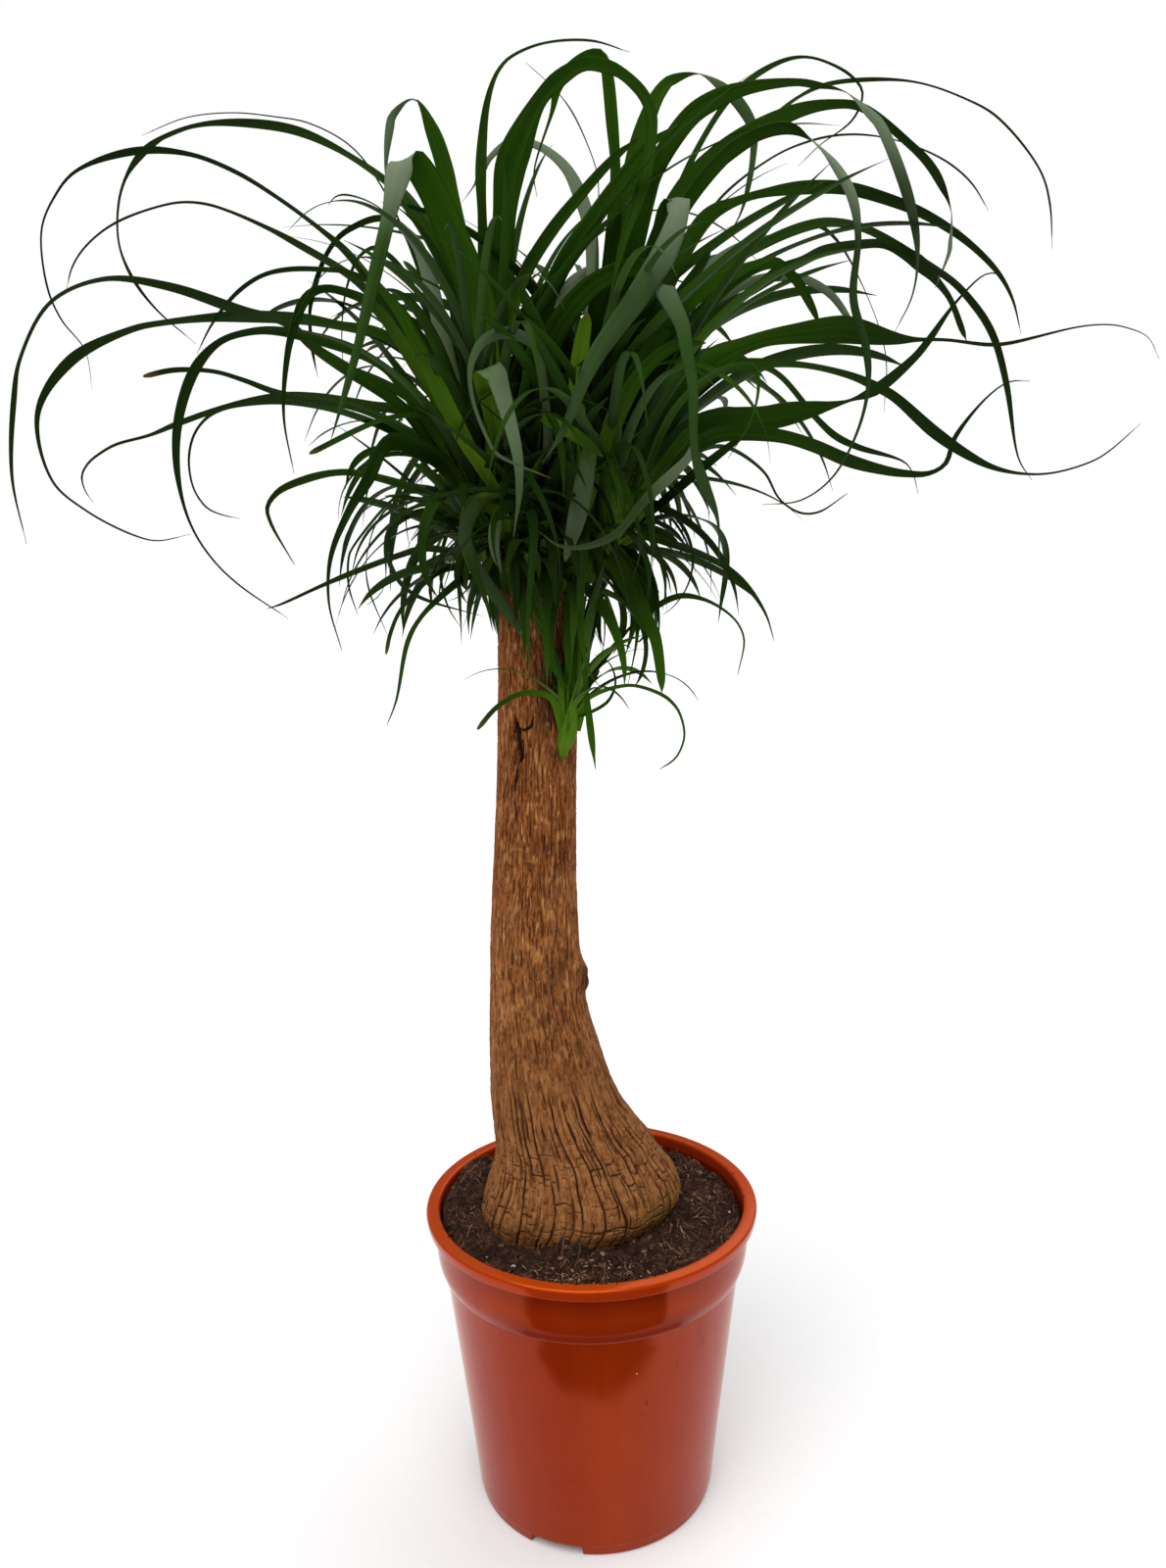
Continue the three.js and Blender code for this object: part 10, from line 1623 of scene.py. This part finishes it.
def blade(stations, seed, pale=0.0, dry=0.0, young=0.0, step=3.6, fold=(32, 9)):
    """A leaf blade with a channelled section, from stations of midrib point and half-width vector in millimetres."""
    st = np.asarray(stations, float)
    length = np.linalg.norm(np.diff(st[:, :3], axis=0), axis=1).sum()
    n = int(np.clip(length / step, 10, 170))
    c, length = spline(st, n)
    p, h = c[:, :3], c[:, 3:6]
    t = unit(np.gradient(p, axis=0))
    h = h - (h * t).sum(1, keepdims=True) * t
    w = np.linalg.norm(h, axis=1)
    hu = h / np.maximum(w, 1e-9)[:, None]
    up = unit(np.cross(t, hu))
    s = np.linspace(0, 1, n)
    # the whip-like ends are finer than the traced width
    w = np.maximum(w * (0.6 + 0.4 * smoothstep(0.7, 2.2, w)), 0.2) * np.where(s > 0.985, 0.55, 1.0)
    rng = np.random.default_rng(seed)
    ph = rng.uniform(0, math.tau, 4)
    # a little waviness of the edges and a slow roll keep the blades from looking machined
    roll = np.radians(5) * np.sin(s * length / 70 + ph[0]) * smoothstep(0.08, 0.4, s)
    hu, up = hu * np.cos(roll)[:, None] + up * np.sin(roll)[:, None], up * np.cos(roll)[:, None] - hu * np.sin(roll)[:, None]
    ang = np.radians(fold[0] * (1 - smoothstep(0.0, 0.45, s)) + fold[1])
    u = PROFILE[None, :]
    lift = np.abs(u) ** 1.25 * w[:, None] * np.sin(ang)[:, None]
    wave = 0.05 * w[:, None] * np.sin(s * length / 16 + ph[1])[:, None] * u**3 + 0.04 * w[:, None] * np.sin(s * length / 11 + ph[2])[:, None] * np.abs(u) ** 3
    reach = u * w[:, None] * (np.cos(ang) * 0.35 + 0.65)[:, None]
    top = p[:, None, :] + hu[:, None, :] * reach[..., None] + up[:, None, :] * (lift + wave)[..., None]
    thick = (0.34 * (1 - 0.55 * s) * np.clip(w / 2.5, 0.35, 1))[:, None] * (1 - 0.55 * np.abs(u) ** 3)
    rib = 0.3 * np.exp(-((u / 0.16) ** 2)) * (1 - s)[:, None] * np.clip(w / 4, 0, 1)[:, None]
    under = top - up[:, None, :] * (thick * 2 + rib)[..., None]
    k = len(PROFILE)
    ring = np.concatenate([top, under[:, ::-1]], axis=1)  # closed section
    v = ring.reshape(-1, 3)
    across = np.concatenate([PROFILE, PROFILE[::-1]])
    side = np.concatenate([np.zeros(k), np.ones(k)])
    tint = rng.uniform()
    dr = np.clip(smoothstep(1 - 0.03 - dry, 1.0, s) * (0.8 if dry else 0.35), 0, 1)
    reach_mm = 50 + 125 * max(young, 0.0)
    sheath = np.clip((1 - smoothstep(0.0, reach_mm, s * length)) * (0.42 + 0.58 * young), 0, 1)
    if not np.isscalar(pale):
        # the pale underside is a painted sheen, strongest where the light lies on it, and it fades along the leaf
        value, s0, s1, low = pale
        pale = (value * (1 - (1 - low) * smoothstep(s0, s1, s)))[:, None]
    A = np.zeros((n, 2 * k, 4))
    A[..., 0], A[..., 1], A[..., 2], A[..., 3] = (s * length / 400)[:, None], across[None, :] * 0.5 + 0.5, side[None, :], tint
    B = np.zeros((n, 2 * k, 4))
    B[..., 0], B[..., 1], B[..., 2], B[..., 3] = pale, sheath[:, None], dr[:, None], np.clip(w / 8, 0, 1)[:, None]
    m = 2 * k
    v = np.vstack([v, p[:1], p[-1:] + t[-1:] * w[-1]])
    A = np.vstack([A.reshape(-1, 4), [[0, 0.5, 0, tint]], [[length / 400, 0.5, 0, tint]]])
    B = np.vstack([B.reshape(-1, 4), [[B[0, 0, 0], sheath[0], 0, 0]], [[B[-1, 0, 0], 0, dr[-1], 0]]])
    q = grid_faces(n, m)[:, ::-1]
    f3 = np.vstack([fan(0, m, n * m, False), fan((n - 1) * m, m, n * m + 1, True)])
    return v, q, f3, A, B


def tuft_stations(base, compass, elevation, droop, length, width, curl=0.0, power=1.25, steps=12, fine=3, twist=0.0):
    """Stations of a plain leaf that leaves its shoot at a compass angle and droops under its own weight."""
    p = np.array(base, float)
    rows = []
    for i in range(steps * fine + 1):
        t = i / (steps * fine)
        a = math.radians(compass + curl * t * t)
        out = np.array([math.cos(a), math.sin(a), 0.0])
        side = np.array([-math.sin(a), math.cos(a), 0.0])
        e = math.radians(elevation - droop * t**power)
        if i % fine == 0:
            w = (width / 2) * min(1, 0.62 + 1.9 * t) * max(1 - t, 0.004) ** 0.52
            up = np.array([-math.cos(a) * math.sin(e), -math.sin(a) * math.sin(e), math.cos(e)])
            tw = math.radians(twist * t)
            h = (side * math.cos(tw) + up * math.sin(tw)) * max(w, 0.3)
            rows.append([*p, *h])
        step = length / (steps * fine)
        p = p + out * math.cos(e) * step
        p[2] += math.sin(e) * step
    return rows


def join_blades(blades):
    V, Q, T, A, B, at = [], [], [], [], [], 0
    for v, q, t, a, b in blades:
        V.append(v), Q.append(q + at), T.append(t + at), A.append(a), B.append(b)
        at += len(v)
    return np.vstack(V), [np.vstack(Q), np.vstack(T)], {"leaf": np.vstack(A), "leaf2": np.vstack(B)}


def sheath_tube(path, seed, foot=1.0):
    """The green core of a shoot, wrapped in overlapping leaf bases."""
    rng = np.random.default_rng(seed)
    c, length = spline(path, 46)
    p, r = c[:, :3], c[:, 3]
    t = unit(np.gradient(p, axis=0))
    e = unit(np.cross(np.array([0, 1.0, 0]), t))
    g = np.cross(t, e)
    cols = 72
    a = np.arange(cols) / cols * math.tau
    s = np.linspace(0, 1, len(p))[:, None]
    layer = np.zeros((len(p), cols))
    for i in range(10):
        z0, a0 = rng.uniform(0, 0.9), rng.uniform(0, math.tau)
        d = np.abs((a[None, :] - a0 + math.pi) % math.tau - math.pi)
        layer += 0.7 * smoothstep(z0 - 0.05, z0 + 0.02, s) * smoothstep(1.5, 1.3, d + 0.4 * (s - z0))
    ribs = 0.18 * np.sin(a[None, :] * 23 + 3 * s) + 0.12 * np.sin(a[None, :] * 41 + 5 * s)
    rr = r[:, None] * 0.93 * (foot + (1 - foot) * smoothstep(0.0, 0.55, s)) + 0.35 * (layer - layer.mean()) + ribs
    v = p[:, None, :] + rr[..., None] * (np.cos(a)[None, :, None] * e[:, None, :] + np.sin(a)[None, :, None] * g[:, None, :])
    n = len(p)
    v = np.vstack([v.reshape(-1, 3), p[:1], p[-1:] + t[-1:] * 3])
    tint = rng.uniform()
    A = np.zeros((n, cols, 4))
    A[..., 0], A[..., 1], A[..., 2], A[..., 3] = s * length / 400, (a / math.tau)[None, :] * 9, 0, tint
    B = np.zeros((n, cols, 4))
    B[..., 1] = np.clip(0.62 - 0.3 * s + 0.1 * layer, 0, 1)
    B[..., 2] = 0.75 * smoothstep(0.3, 0.0, s + 0.04 * layer)
    A, B = np.vstack([A.reshape(-1, 4), [[0, 0, 0, tint]] * 2]), np.vstack([B.reshape(-1, 4), [[0, 0.9, 0, 0]] * 2])
    return v, grid_faces(n, cols), np.vstack([fan(0, cols, n * cols, True), fan((n - 1) * cols, cols, n * cols + 1, False)]), A, B


PALE_SHEEN = {"leaf_left_14": [0.6, 0.5, 0.66, 0.02], "leaf_left_15": 0.2, "leaf_top_03": 0.2, "leaf_top_04": 0.5, "leaf_right_01": [0.65, 0.4, 0.8, 0.15], "leaf_front_01": [0.3, 0.4, 0.62, 0.05], "leaf_front_02": [0.45, 0.48, 0.9, 0.2], "leaf_front_03": 0.14, "leaf_front_04": [0.62, 0.45, 0.66, 0.1], "leaf_front_05": [0.3, 0.42, 0.62, 0.1], "leaf_left_17": 0.2, "leaf_right_03": [0.5, 0.7, 0.82, 0.1], "leaf_right_08": [0.6, 0.53, 0.62, 0.02], "leaf_right_04": [0.4, 0.9, 1, 0.8]}
DRY = {"leaf_left_08": 0.02, "leaf_left_10": 0.02, "leaf_left_18": 0.06, "leaf_side_01": 0.09, "leaf_front_03": 0.05, "leaf_left_04": 0.02, "leaf_right_05": 0.02}
YOUNG = {"leaf_left_14": 0.5, "leaf_left_15": 1, "leaf_front_02": 0.6, "leaf_front_06": 0.6, "leaf_front_07": 0.8, "leaf_top_01": 0.6, "leaf_top_02": 0.6, "leaf_top_04": 0.5, "leaf_side_01": 0.15, "leaf_side_02": 0.15, "leaf_left_17": 0.7, "leaf_left_01": 0.4, "leaf_left_03": 0.4, "leaf_left_05": 0.4, "leaf_front_04": 0.3, "leaf_right_03": 0.3}

# broad leaves of the inner fans, and for each the painted sheen of its pale underside and how young it is
FANS = {
    "shoot_left": [
        [
            [-53.1, -26, 723.5, -3.22, -0.08, -1.93], [-71.4, -46, 754.9, -4.26, -0.14, -2.31], [-84.4, -60, 783.3, -4.54, -0.18, -2.14], [-93.5, -66, 803.3, -3.66, -0.13, -1.8],
            [-104, -68, 823.5, -2.72, -0.04, -1.66], [-113.4, -67, 836, -1.79, 0.05, -1.46], [-128.4, -62, 853.8, -0.66, 0.03, -0.56],
        ],
        [
            [-46.8, -30, 718.2, 0.43, -0.17, 3.08], [-55.7, -44, 718.7, -1.23, -0.37, 4.41], [-64.7, -56, 711.1, -3.89, -0.48, 2.83], [-70.7, -62, 695, -4.18, -0.4, 0.3],
            [-66.5, -62, 679, -3.88, -0.32, -1.64], [-58.2, -58, 664.5, -3.55, -0.29, -2.34], [-47.7, -56, 649.8, -3.01, -0.24, -2.1], [-37.8, -54, 634.9, -2.07, -0.16, -1.32],
            [-31.4, -52, 623.6, -0.8, -0.06, -0.47],
        ],
        [
            [-42.8, -36, 713.6, -1.52, -0.21, 2.33], [-48.5, -46, 708.9, -2.98, -0.3, 2.12], [-52.6, -54, 697.3, -3.85, -0.29, 0.81], [-52.8, -56, 684.8, -3, -0.2, -0.41],
            [-49.1, -54, 671.5, -0.88, -0.06, -0.26],
        ],
        [
            [-76.8, 6, 782.4, 4.37, 0.26, 1.05], [-88.5, 12, 829.8, 5, 0.32, 1.13], [-94.7, 14, 859.5, 4.64, 0.26, 1.19], [-102.1, 14, 881.9, 3.34, -0.06, 1.85],
            [-114.5, 12, 895.3, 1.63, -0.18, 1.49],
        ],
        [
            [-57.6, 0, 762.8, -1.84, 0.02, -1.29], [-89.1, 10, 807.9, -1.82, 0.03, -1.32], [-120.4, 16, 849.4, -1.37, 0.09, -1.35], [-145.6, 18, 866.1, -0.69, 0.26, -1.6],
            [-164.7, 18, 868.9, -0.13, 0.38, -1.72], [-188, 16, 868.8, 0.13, 0.43, -1.7], [-203.7, 14, 865, 0.54, 0.47, -1.43], [-217.8, 12, 856.3, 0.89, 0.51, -1.23],
            [-228.8, 10, 845.2, 0.99, 0.47, -0.93], [-238, 8, 832.8, 0.87, 0.37, -0.6], [-247.6, 6, 815.5, 0.39, 0.16, -0.23],
        ],
        [
            [-77.4, 20, 803.2, -1.52, -0.05, -0.58], [-101.5, 24, 866.1, -1.2, -0.03, -0.48], [-122.2, 26, 915.5, -0.85, 0.01, -0.45], [-143.1, 26, 945, -0.56, 0.1, -0.6],
            [-169.9, 24, 959.6, -0.27, 0.18, -0.69], [-192.6, 22, 963.4, -0.1, 0.21, -0.66], [-218.5, 20, 965.4, 0, 0.21, -0.59], [-247.6, 18, 962.3, 0.11, 0.21, -0.51],
            [-276.1, 16, 951.6, 0.11, 0.15, -0.33],
        ],
    ],
    "shoot_center": [
        [
            [-1.9, -20, 719.9, -4.41, -0.03, 0.26], [0, -32, 749.2, -5.25, -0.02, 0.16], [-0.2, -40, 774.9, -5.47, -0.03, 0.22], [2.1, -44, 800.3, -5.36, -0.11, 0.73],
            [6.7, -46, 824.4, -3.51, -0.1, 0.66],
        ],
        [
            [-31.4, -10, 742.7, -6.34, -0.28, 0.42], [-28.9, -22, 771.8, -7.38, -0.41, 1.09], [-21.7, -32, 799.8, -7.12, -0.64, 2.67], [-7.7, -40, 824.2, -5.81, -0.89, 4.17],
            [10.6, -46, 841.9, -3.54, -1.07, 5.02], [31.3, -50, 849.5, -0.55, -1.12, 4.85], [45.2, -54, 843.9, 0.54, -0.4, 1.63],
        ],
        [
            [9.8, -50, 756, -3.53, -0.04, 0.79], [5.7, -66, 737.1, -5.22, -0.06, 1.09], [1.8, -77, 716.2, -5.72, -0.07, 1.28], [-3.3, -80, 696.1, -4.8, -0.07, 1.34],
            [-9, -76, 677.8, -1.42, -0.02, 0.44],
        ],
        [
            [-21.1, -60, 763.4, 1.24, -0.26, 2.35], [-8.7, -66, 756.2, 1.9, -0.36, 3.31], [3.5, -70, 748.1, 2.07, -0.31, 2.84], [14.5, -72, 738.7, 0.75, -0.1, 0.89],
        ],
        [
            [-23.9, 30, 816.4, 3.68, 0.34, -1.38], [-14.3, 36, 843.8, 4.38, 0.53, -2.23], [-1.4, 40, 863.2, 3.06, 0.67, -2.93], [14, 42, 874.6, 0.94, 0.3, -1.32],
        ],
        [
            [-30.9, -22, 792.2, -4.49, -0.35, 1.17], [-20.5, -30, 829.8, -5.14, -0.5, 1.8], [-6.5, -34, 858.5, -4.86, -0.74, 2.91], [11.9, -36, 882.5, -4.21, -0.81, 3.22],
            [29.5, -36, 905, -3.4, -0.71, 2.77], [44.6, -34, 923, -1.93, -0.59, 2.17], [62.7, -30, 936.1, -0.48, -0.21, 0.72],
        ],
        [
            [-44.1, -16, 820.1, -2.91, -0.35, 1.02], [-31.7, -24, 852.7, -3.54, -0.53, 1.7], [-15.2, -28, 876.6, -3.06, -0.68, 2.35], [5.1, -30, 898.8, -2.34, -0.63, 2.23],
            [25.7, -30, 919.1, -1.52, -0.51, 1.77], [42.7, -26, 932.3, -0.34, -0.14, 0.47],
        ],
        [
            [-25.6, -30, 663.7, -1.79, -0.05, 0.62], [-29.8, -44, 650.4, -2.49, -0.09, 0.07], [-25.6, -50, 637, -2.3, -0.11, -0.9], [-18.5, -50, 622.1, -2.03, -0.1, -0.77],
            [-13.9, -46, 605.5, -1.53, -0.06, -0.33], [-12.9, -44, 595.2, -0.63, -0.02, -0.07],
        ],
    ],
    "shoot_right": [
        [
            [31.9, -10, 766.2, -2.58, -0.12, 1.83], [69.7, -14, 819.1, -3.14, -0.2, 2.54], [100.4, -16, 850.5, -2.38, -0.42, 3.2], [125, -16, 860, 0.06, -0.86, 3.59],
            [138.6, -16, 849.9, 2.2, -0.83, 2], [149.1, -14, 834.3, 2.1, -0.63, 1.17], [155.9, -12, 821, 0.55, -0.15, 0.26],
        ],
        [
            [26.1, 10, 762.5, 2.08, 0.11, -1.55], [72.1, 14, 824.3, 2.36, 0.2, -2.18], [110.8, 16, 854.6, 1.34, 0.46, -2.88], [144.2, 16, 858.3, -0.3, 0.68, -2.79],
            [165.5, 16, 848.8, -1.47, 0.72, -1.98], [179.3, 16, 832.1, -1.53, 0.53, -1.06], [188.7, 16, 815.3, -0.54, 0.18, -0.3],
        ],
        [
            [37.8, 6, 780.5, 3.51, 0.06, -1.61], [58.9, 10, 826.9, 4.17, 0.15, -2.37], [82.4, 14, 859.5, 3.38, 0.44, -3.37], [108.8, 16, 877.6, 1.46, 0.59, -3.14],
            [137.4, 16, 885.5, 0.25, 0.19, -0.9],
        ],
        [
            [5.8, -22, 722.7, -4.68, -0.09, 1.85], [19.9, -30, 758, -5.36, -0.13, 2.4], [37.4, -34, 792.7, -4.94, -0.24, 3.03], [60.5, -36, 823.8, -3.7, -0.41, 3.54],
            [88.9, -36, 846.2, -1.91, -0.54, 3.36], [122.1, -34, 859.1, -0.42, -0.2, 1.11],
        ],
    ],
    "shoot_lower_right": [
        [
            [3, -30, 710.1, -4.43, -0.06, 1.54], [13.2, -44, 738.9, -5.11, -0.09, 1.98], [25.4, -54, 766.8, -4.79, -0.15, 2.45], [39.1, -60, 788.5, -3.27, -0.3, 2.97],
            [59.5, -64, 803.2, -1.25, -0.42, 2.93], [76.8, -66, 803.7, -0.05, -0.2, 1.15],
        ],
    ],
}
FAN_TONES = {
    "shoot_left": [
        [0, 0.5], [0.04, 0], [0.2, 0], [0.6, 0.2],
        [0, 0], [0, 0],
    ],
    "shoot_center": [
        [0, 0.95], [0, 0], [0.15, 0], [0, 0],
        [0.55, 0], [0, 0], [0, 0], [0, 0],
    ],
    "shoot_right": [
        [0, 0], [0.35, 0], [0.45, 0.2], [0, 0.4],
    ],
    "shoot_lower_right": [
        [0, 0.4],
    ],
}


def build_leaves():
    for i, (name, stations) in enumerate(LEAVES.items()):
        b = blade(stations, 1000 + i, PALE_SHEEN.get(name, 0.1), DRY.get(name, 0.0), YOUNG.get(name, 0.0))
        v, f, at = join_blades([b])
        ob = make_mesh("blade" + name[4:], v, f, LEAF, at)
        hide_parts(name)
    for i, (name, path) in enumerate(SHOOTS.items()):
        blades = [sheath_tube(path, 40 + i, 0.3 if name == "shoot_side" else 1.0)]
        for k, stations in enumerate(SHOOT_LEAVES.get(name, [])):
            blades.append(blade(stations, 2000 + 100 * i + k, 0.1))
        for k, stations in enumerate(FANS.get(name, [])):
            blades.append(blade(stations, 7000 + 100 * i + k, FAN_TONES[name][k][0], 0.0, FAN_TONES[name][k][1]))
        for k, (x, y, z, *rest) in enumerate(TUFTS.get(name, [])):
            blades.append(blade(tuft_stations((x, y, z), *rest), 3000 + 100 * i + k, 0.05))
        for k, (x, y, z, comp, elev, droop, length, width, curl, twist) in enumerate(EXTRAS.get(name, [])):
            youth = 0.3 if name == "shoot_side" and elev > 74 else (0.3 if elev > 74 and k % 3 == 0 else 0.0)
            blades.append(blade(tuft_stations((x, y, z), comp, elev, droop, length, width, curl, 1.15, twist=twist), 5000 + 200 * i + k, 0.0, 0.0, youth, 4.5))
        v, f, at = join_blades(blades)
        ob = make_mesh(name.replace("shoot", "tuft"), v, f, LEAF, at)
        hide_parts(name)


# ------------------------------------------------------------------ stage
def build_stage():
    n = Nodes("paper")
    grain = n.noise(n.coords(), 300, 3, 0.6)
    c = n.mix(n.range(grain, 0.3, 0.7), (246, 246, 246), (249, 249, 248))
    paper = n.surface(c, 0.75, n.bump(grain, 0.05, 0.0005), Specular_IOR_Level=0.2)
    rings, cols = [], 96
    for r in (0.05, 0.3, 0.8, 1.6, 3.0, 5.0, 9.0, 16.0, 30.0):
        a = np.arange(cols) / cols * math.tau
        rings.append(np.column_stack([r * np.cos(a), r * np.sin(a), 0 * a]))
    v = np.vstack(rings + [[[0, 0, 0]]])
    f = [grid_faces(len(rings), cols)[:, ::-1], fan(0, cols, len(rings) * cols, False)]
    me = bpy.data.meshes.new("floor")
    faces = [tuple(int(i) for i in q) for part in f for q in part]
    me.from_pydata([tuple(p) for p in v], [], faces)
    me.update()
    me.materials.append(paper)
    floor = bpy.data.objects.new("floor", me)
    floor.location = (0, 0, -0.0002)
    bpy.context.scene.collection.objects.link(floor)

    # a black flag lies before the pot: only reflections see it
    n = Nodes("flag")
    cloth = n.noise(n.coords(), 60, 2, 0.5)
    flag_black = n.surface(n.mix(cloth, (1, 1, 1), (3, 3, 3)), 1.0, None, Specular_IOR_Level=0.0)
    outline = [(-0.150, -0.196), (-0.120, -0.201), (-0.085, -0.201), (-0.055, -0.210), (0.0, -0.214), (0.045, -0.207), (0.082, -0.205), (0.105, -0.198), (0.137, -0.195), (0.187, -0.184),
               (0.279, -0.259), (0.42, -0.40), (0.75, -0.9), (0.9, -2.2), (-0.9, -2.2), (-0.75, -0.9), (-0.40, -0.40), (-0.271, -0.276), (-0.215, -0.25)]
    me = bpy.data.meshes.new("flag")
    me.from_pydata([(x, y, 0.0) for x, y in outline], [], [tuple(range(len(outline)))[::-1]])
    me.update()
    me.materials.append(flag_black)
    flag = bpy.data.objects.new("flag", me)
    flag.location = (0, 0, 0.0012)
    bpy.context.scene.collection.objects.link(flag)
    flag.visible_camera = flag.visible_diffuse = flag.visible_shadow = flag.visible_transmission = False

    world = bpy.data.worlds.new("studio")
    bpy.context.scene.world = world
    world.use_nodes = True
    wt = world.node_tree
    bg = wt.nodes["Background"]
    bg.inputs[0].default_value = (0.97, 0.985, 1.0, 1.0)
    bg.inputs[1].default_value = 0.5
    # the backdrop itself is seen as plain white
    white = wt.nodes.new("ShaderNodeBackground")
    white.inputs[0].default_value, white.inputs[1].default_value = (1.0, 1.0, 1.0, 1.0), 1.0
    dim = wt.nodes.new("ShaderNodeBackground")
    dim.inputs[0].default_value, dim.inputs[1].default_value = (1.0, 1.0, 1.0, 1.0), 0.16
    path = wt.nodes.new("ShaderNodeLightPath")
    soft = wt.nodes.new("ShaderNodeMixShader")
    wt.links.new(path.outputs["Is Glossy Ray"], soft.inputs[0])
    wt.links.new(bg.outputs[0], soft.inputs[1])
    wt.links.new(dim.outputs[0], soft.inputs[2])
    mix = wt.nodes.new("ShaderNodeMixShader")
    wt.links.new(path.outputs["Is Camera Ray"], mix.inputs[0])
    wt.links.new(soft.outputs[0], mix.inputs[1])
    wt.links.new(white.outputs[0], mix.inputs[2])
    wt.links.new(mix.outputs[0], wt.nodes["World Output"].inputs[0])

    def sun(name, toward, strength, angle, color=(1, 1, 1)):
        d = bpy.data.lights.new(name, "SUN")
        d.energy, d.angle, d.color = strength, math.radians(angle), color
        o = bpy.data.objects.new(name, d)
        o.rotation_mode = "QUATERNION"
        o.rotation_quaternion = Vector(toward).to_track_quat("-Z", "Y")
        bpy.context.scene.collection.objects.link(o)
        return o

    sun("key", (0.22, 0.62, -1.0), 1.9, 55)
    sun("fill", (-0.4, -0.5, -1.0), 0.9, 70)

    cam = bpy.data.cameras.new("camera")
    cam.sensor_fit, cam.sensor_width, cam.lens = "AUTO", 36.0, 27.69
    cam.clip_start, cam.clip_end = 0.05, 100
    ob = bpy.data.objects.new("camera", cam)
    yaw, pitch, roll = -0.0009, math.radians(9.868), -0.01775
    fwd = Vector((math.sin(yaw) * math.cos(pitch), math.cos(yaw) * math.cos(pitch), -math.sin(pitch)))
    right = Vector((math.cos(yaw), -math.sin(yaw), 0))
    up = right.cross(fwd)
    r = math.cos(roll) * right + math.sin(roll) * up
    u = -math.sin(roll) * right + math.cos(roll) * up
    m = Matrix(((r.x, u.x, -fwd.x, 0.0), (r.y, u.y, -fwd.y, -0.81762), (r.z, u.z, -fwd.z, 0.66951), (0, 0, 0, 1)))
    ob.matrix_world = m
    bpy.context.scene.collection.objects.link(ob)
    bpy.context.scene.camera = ob
    vs = bpy.context.scene.view_settings
    vs.view_transform, vs.look, vs.exposure, vs.gamma = "Standard", "None", 0.0, 1.0


build_stage()
build_pot()
build_trunk()
build_soil()
build_litter()
build_leaves()
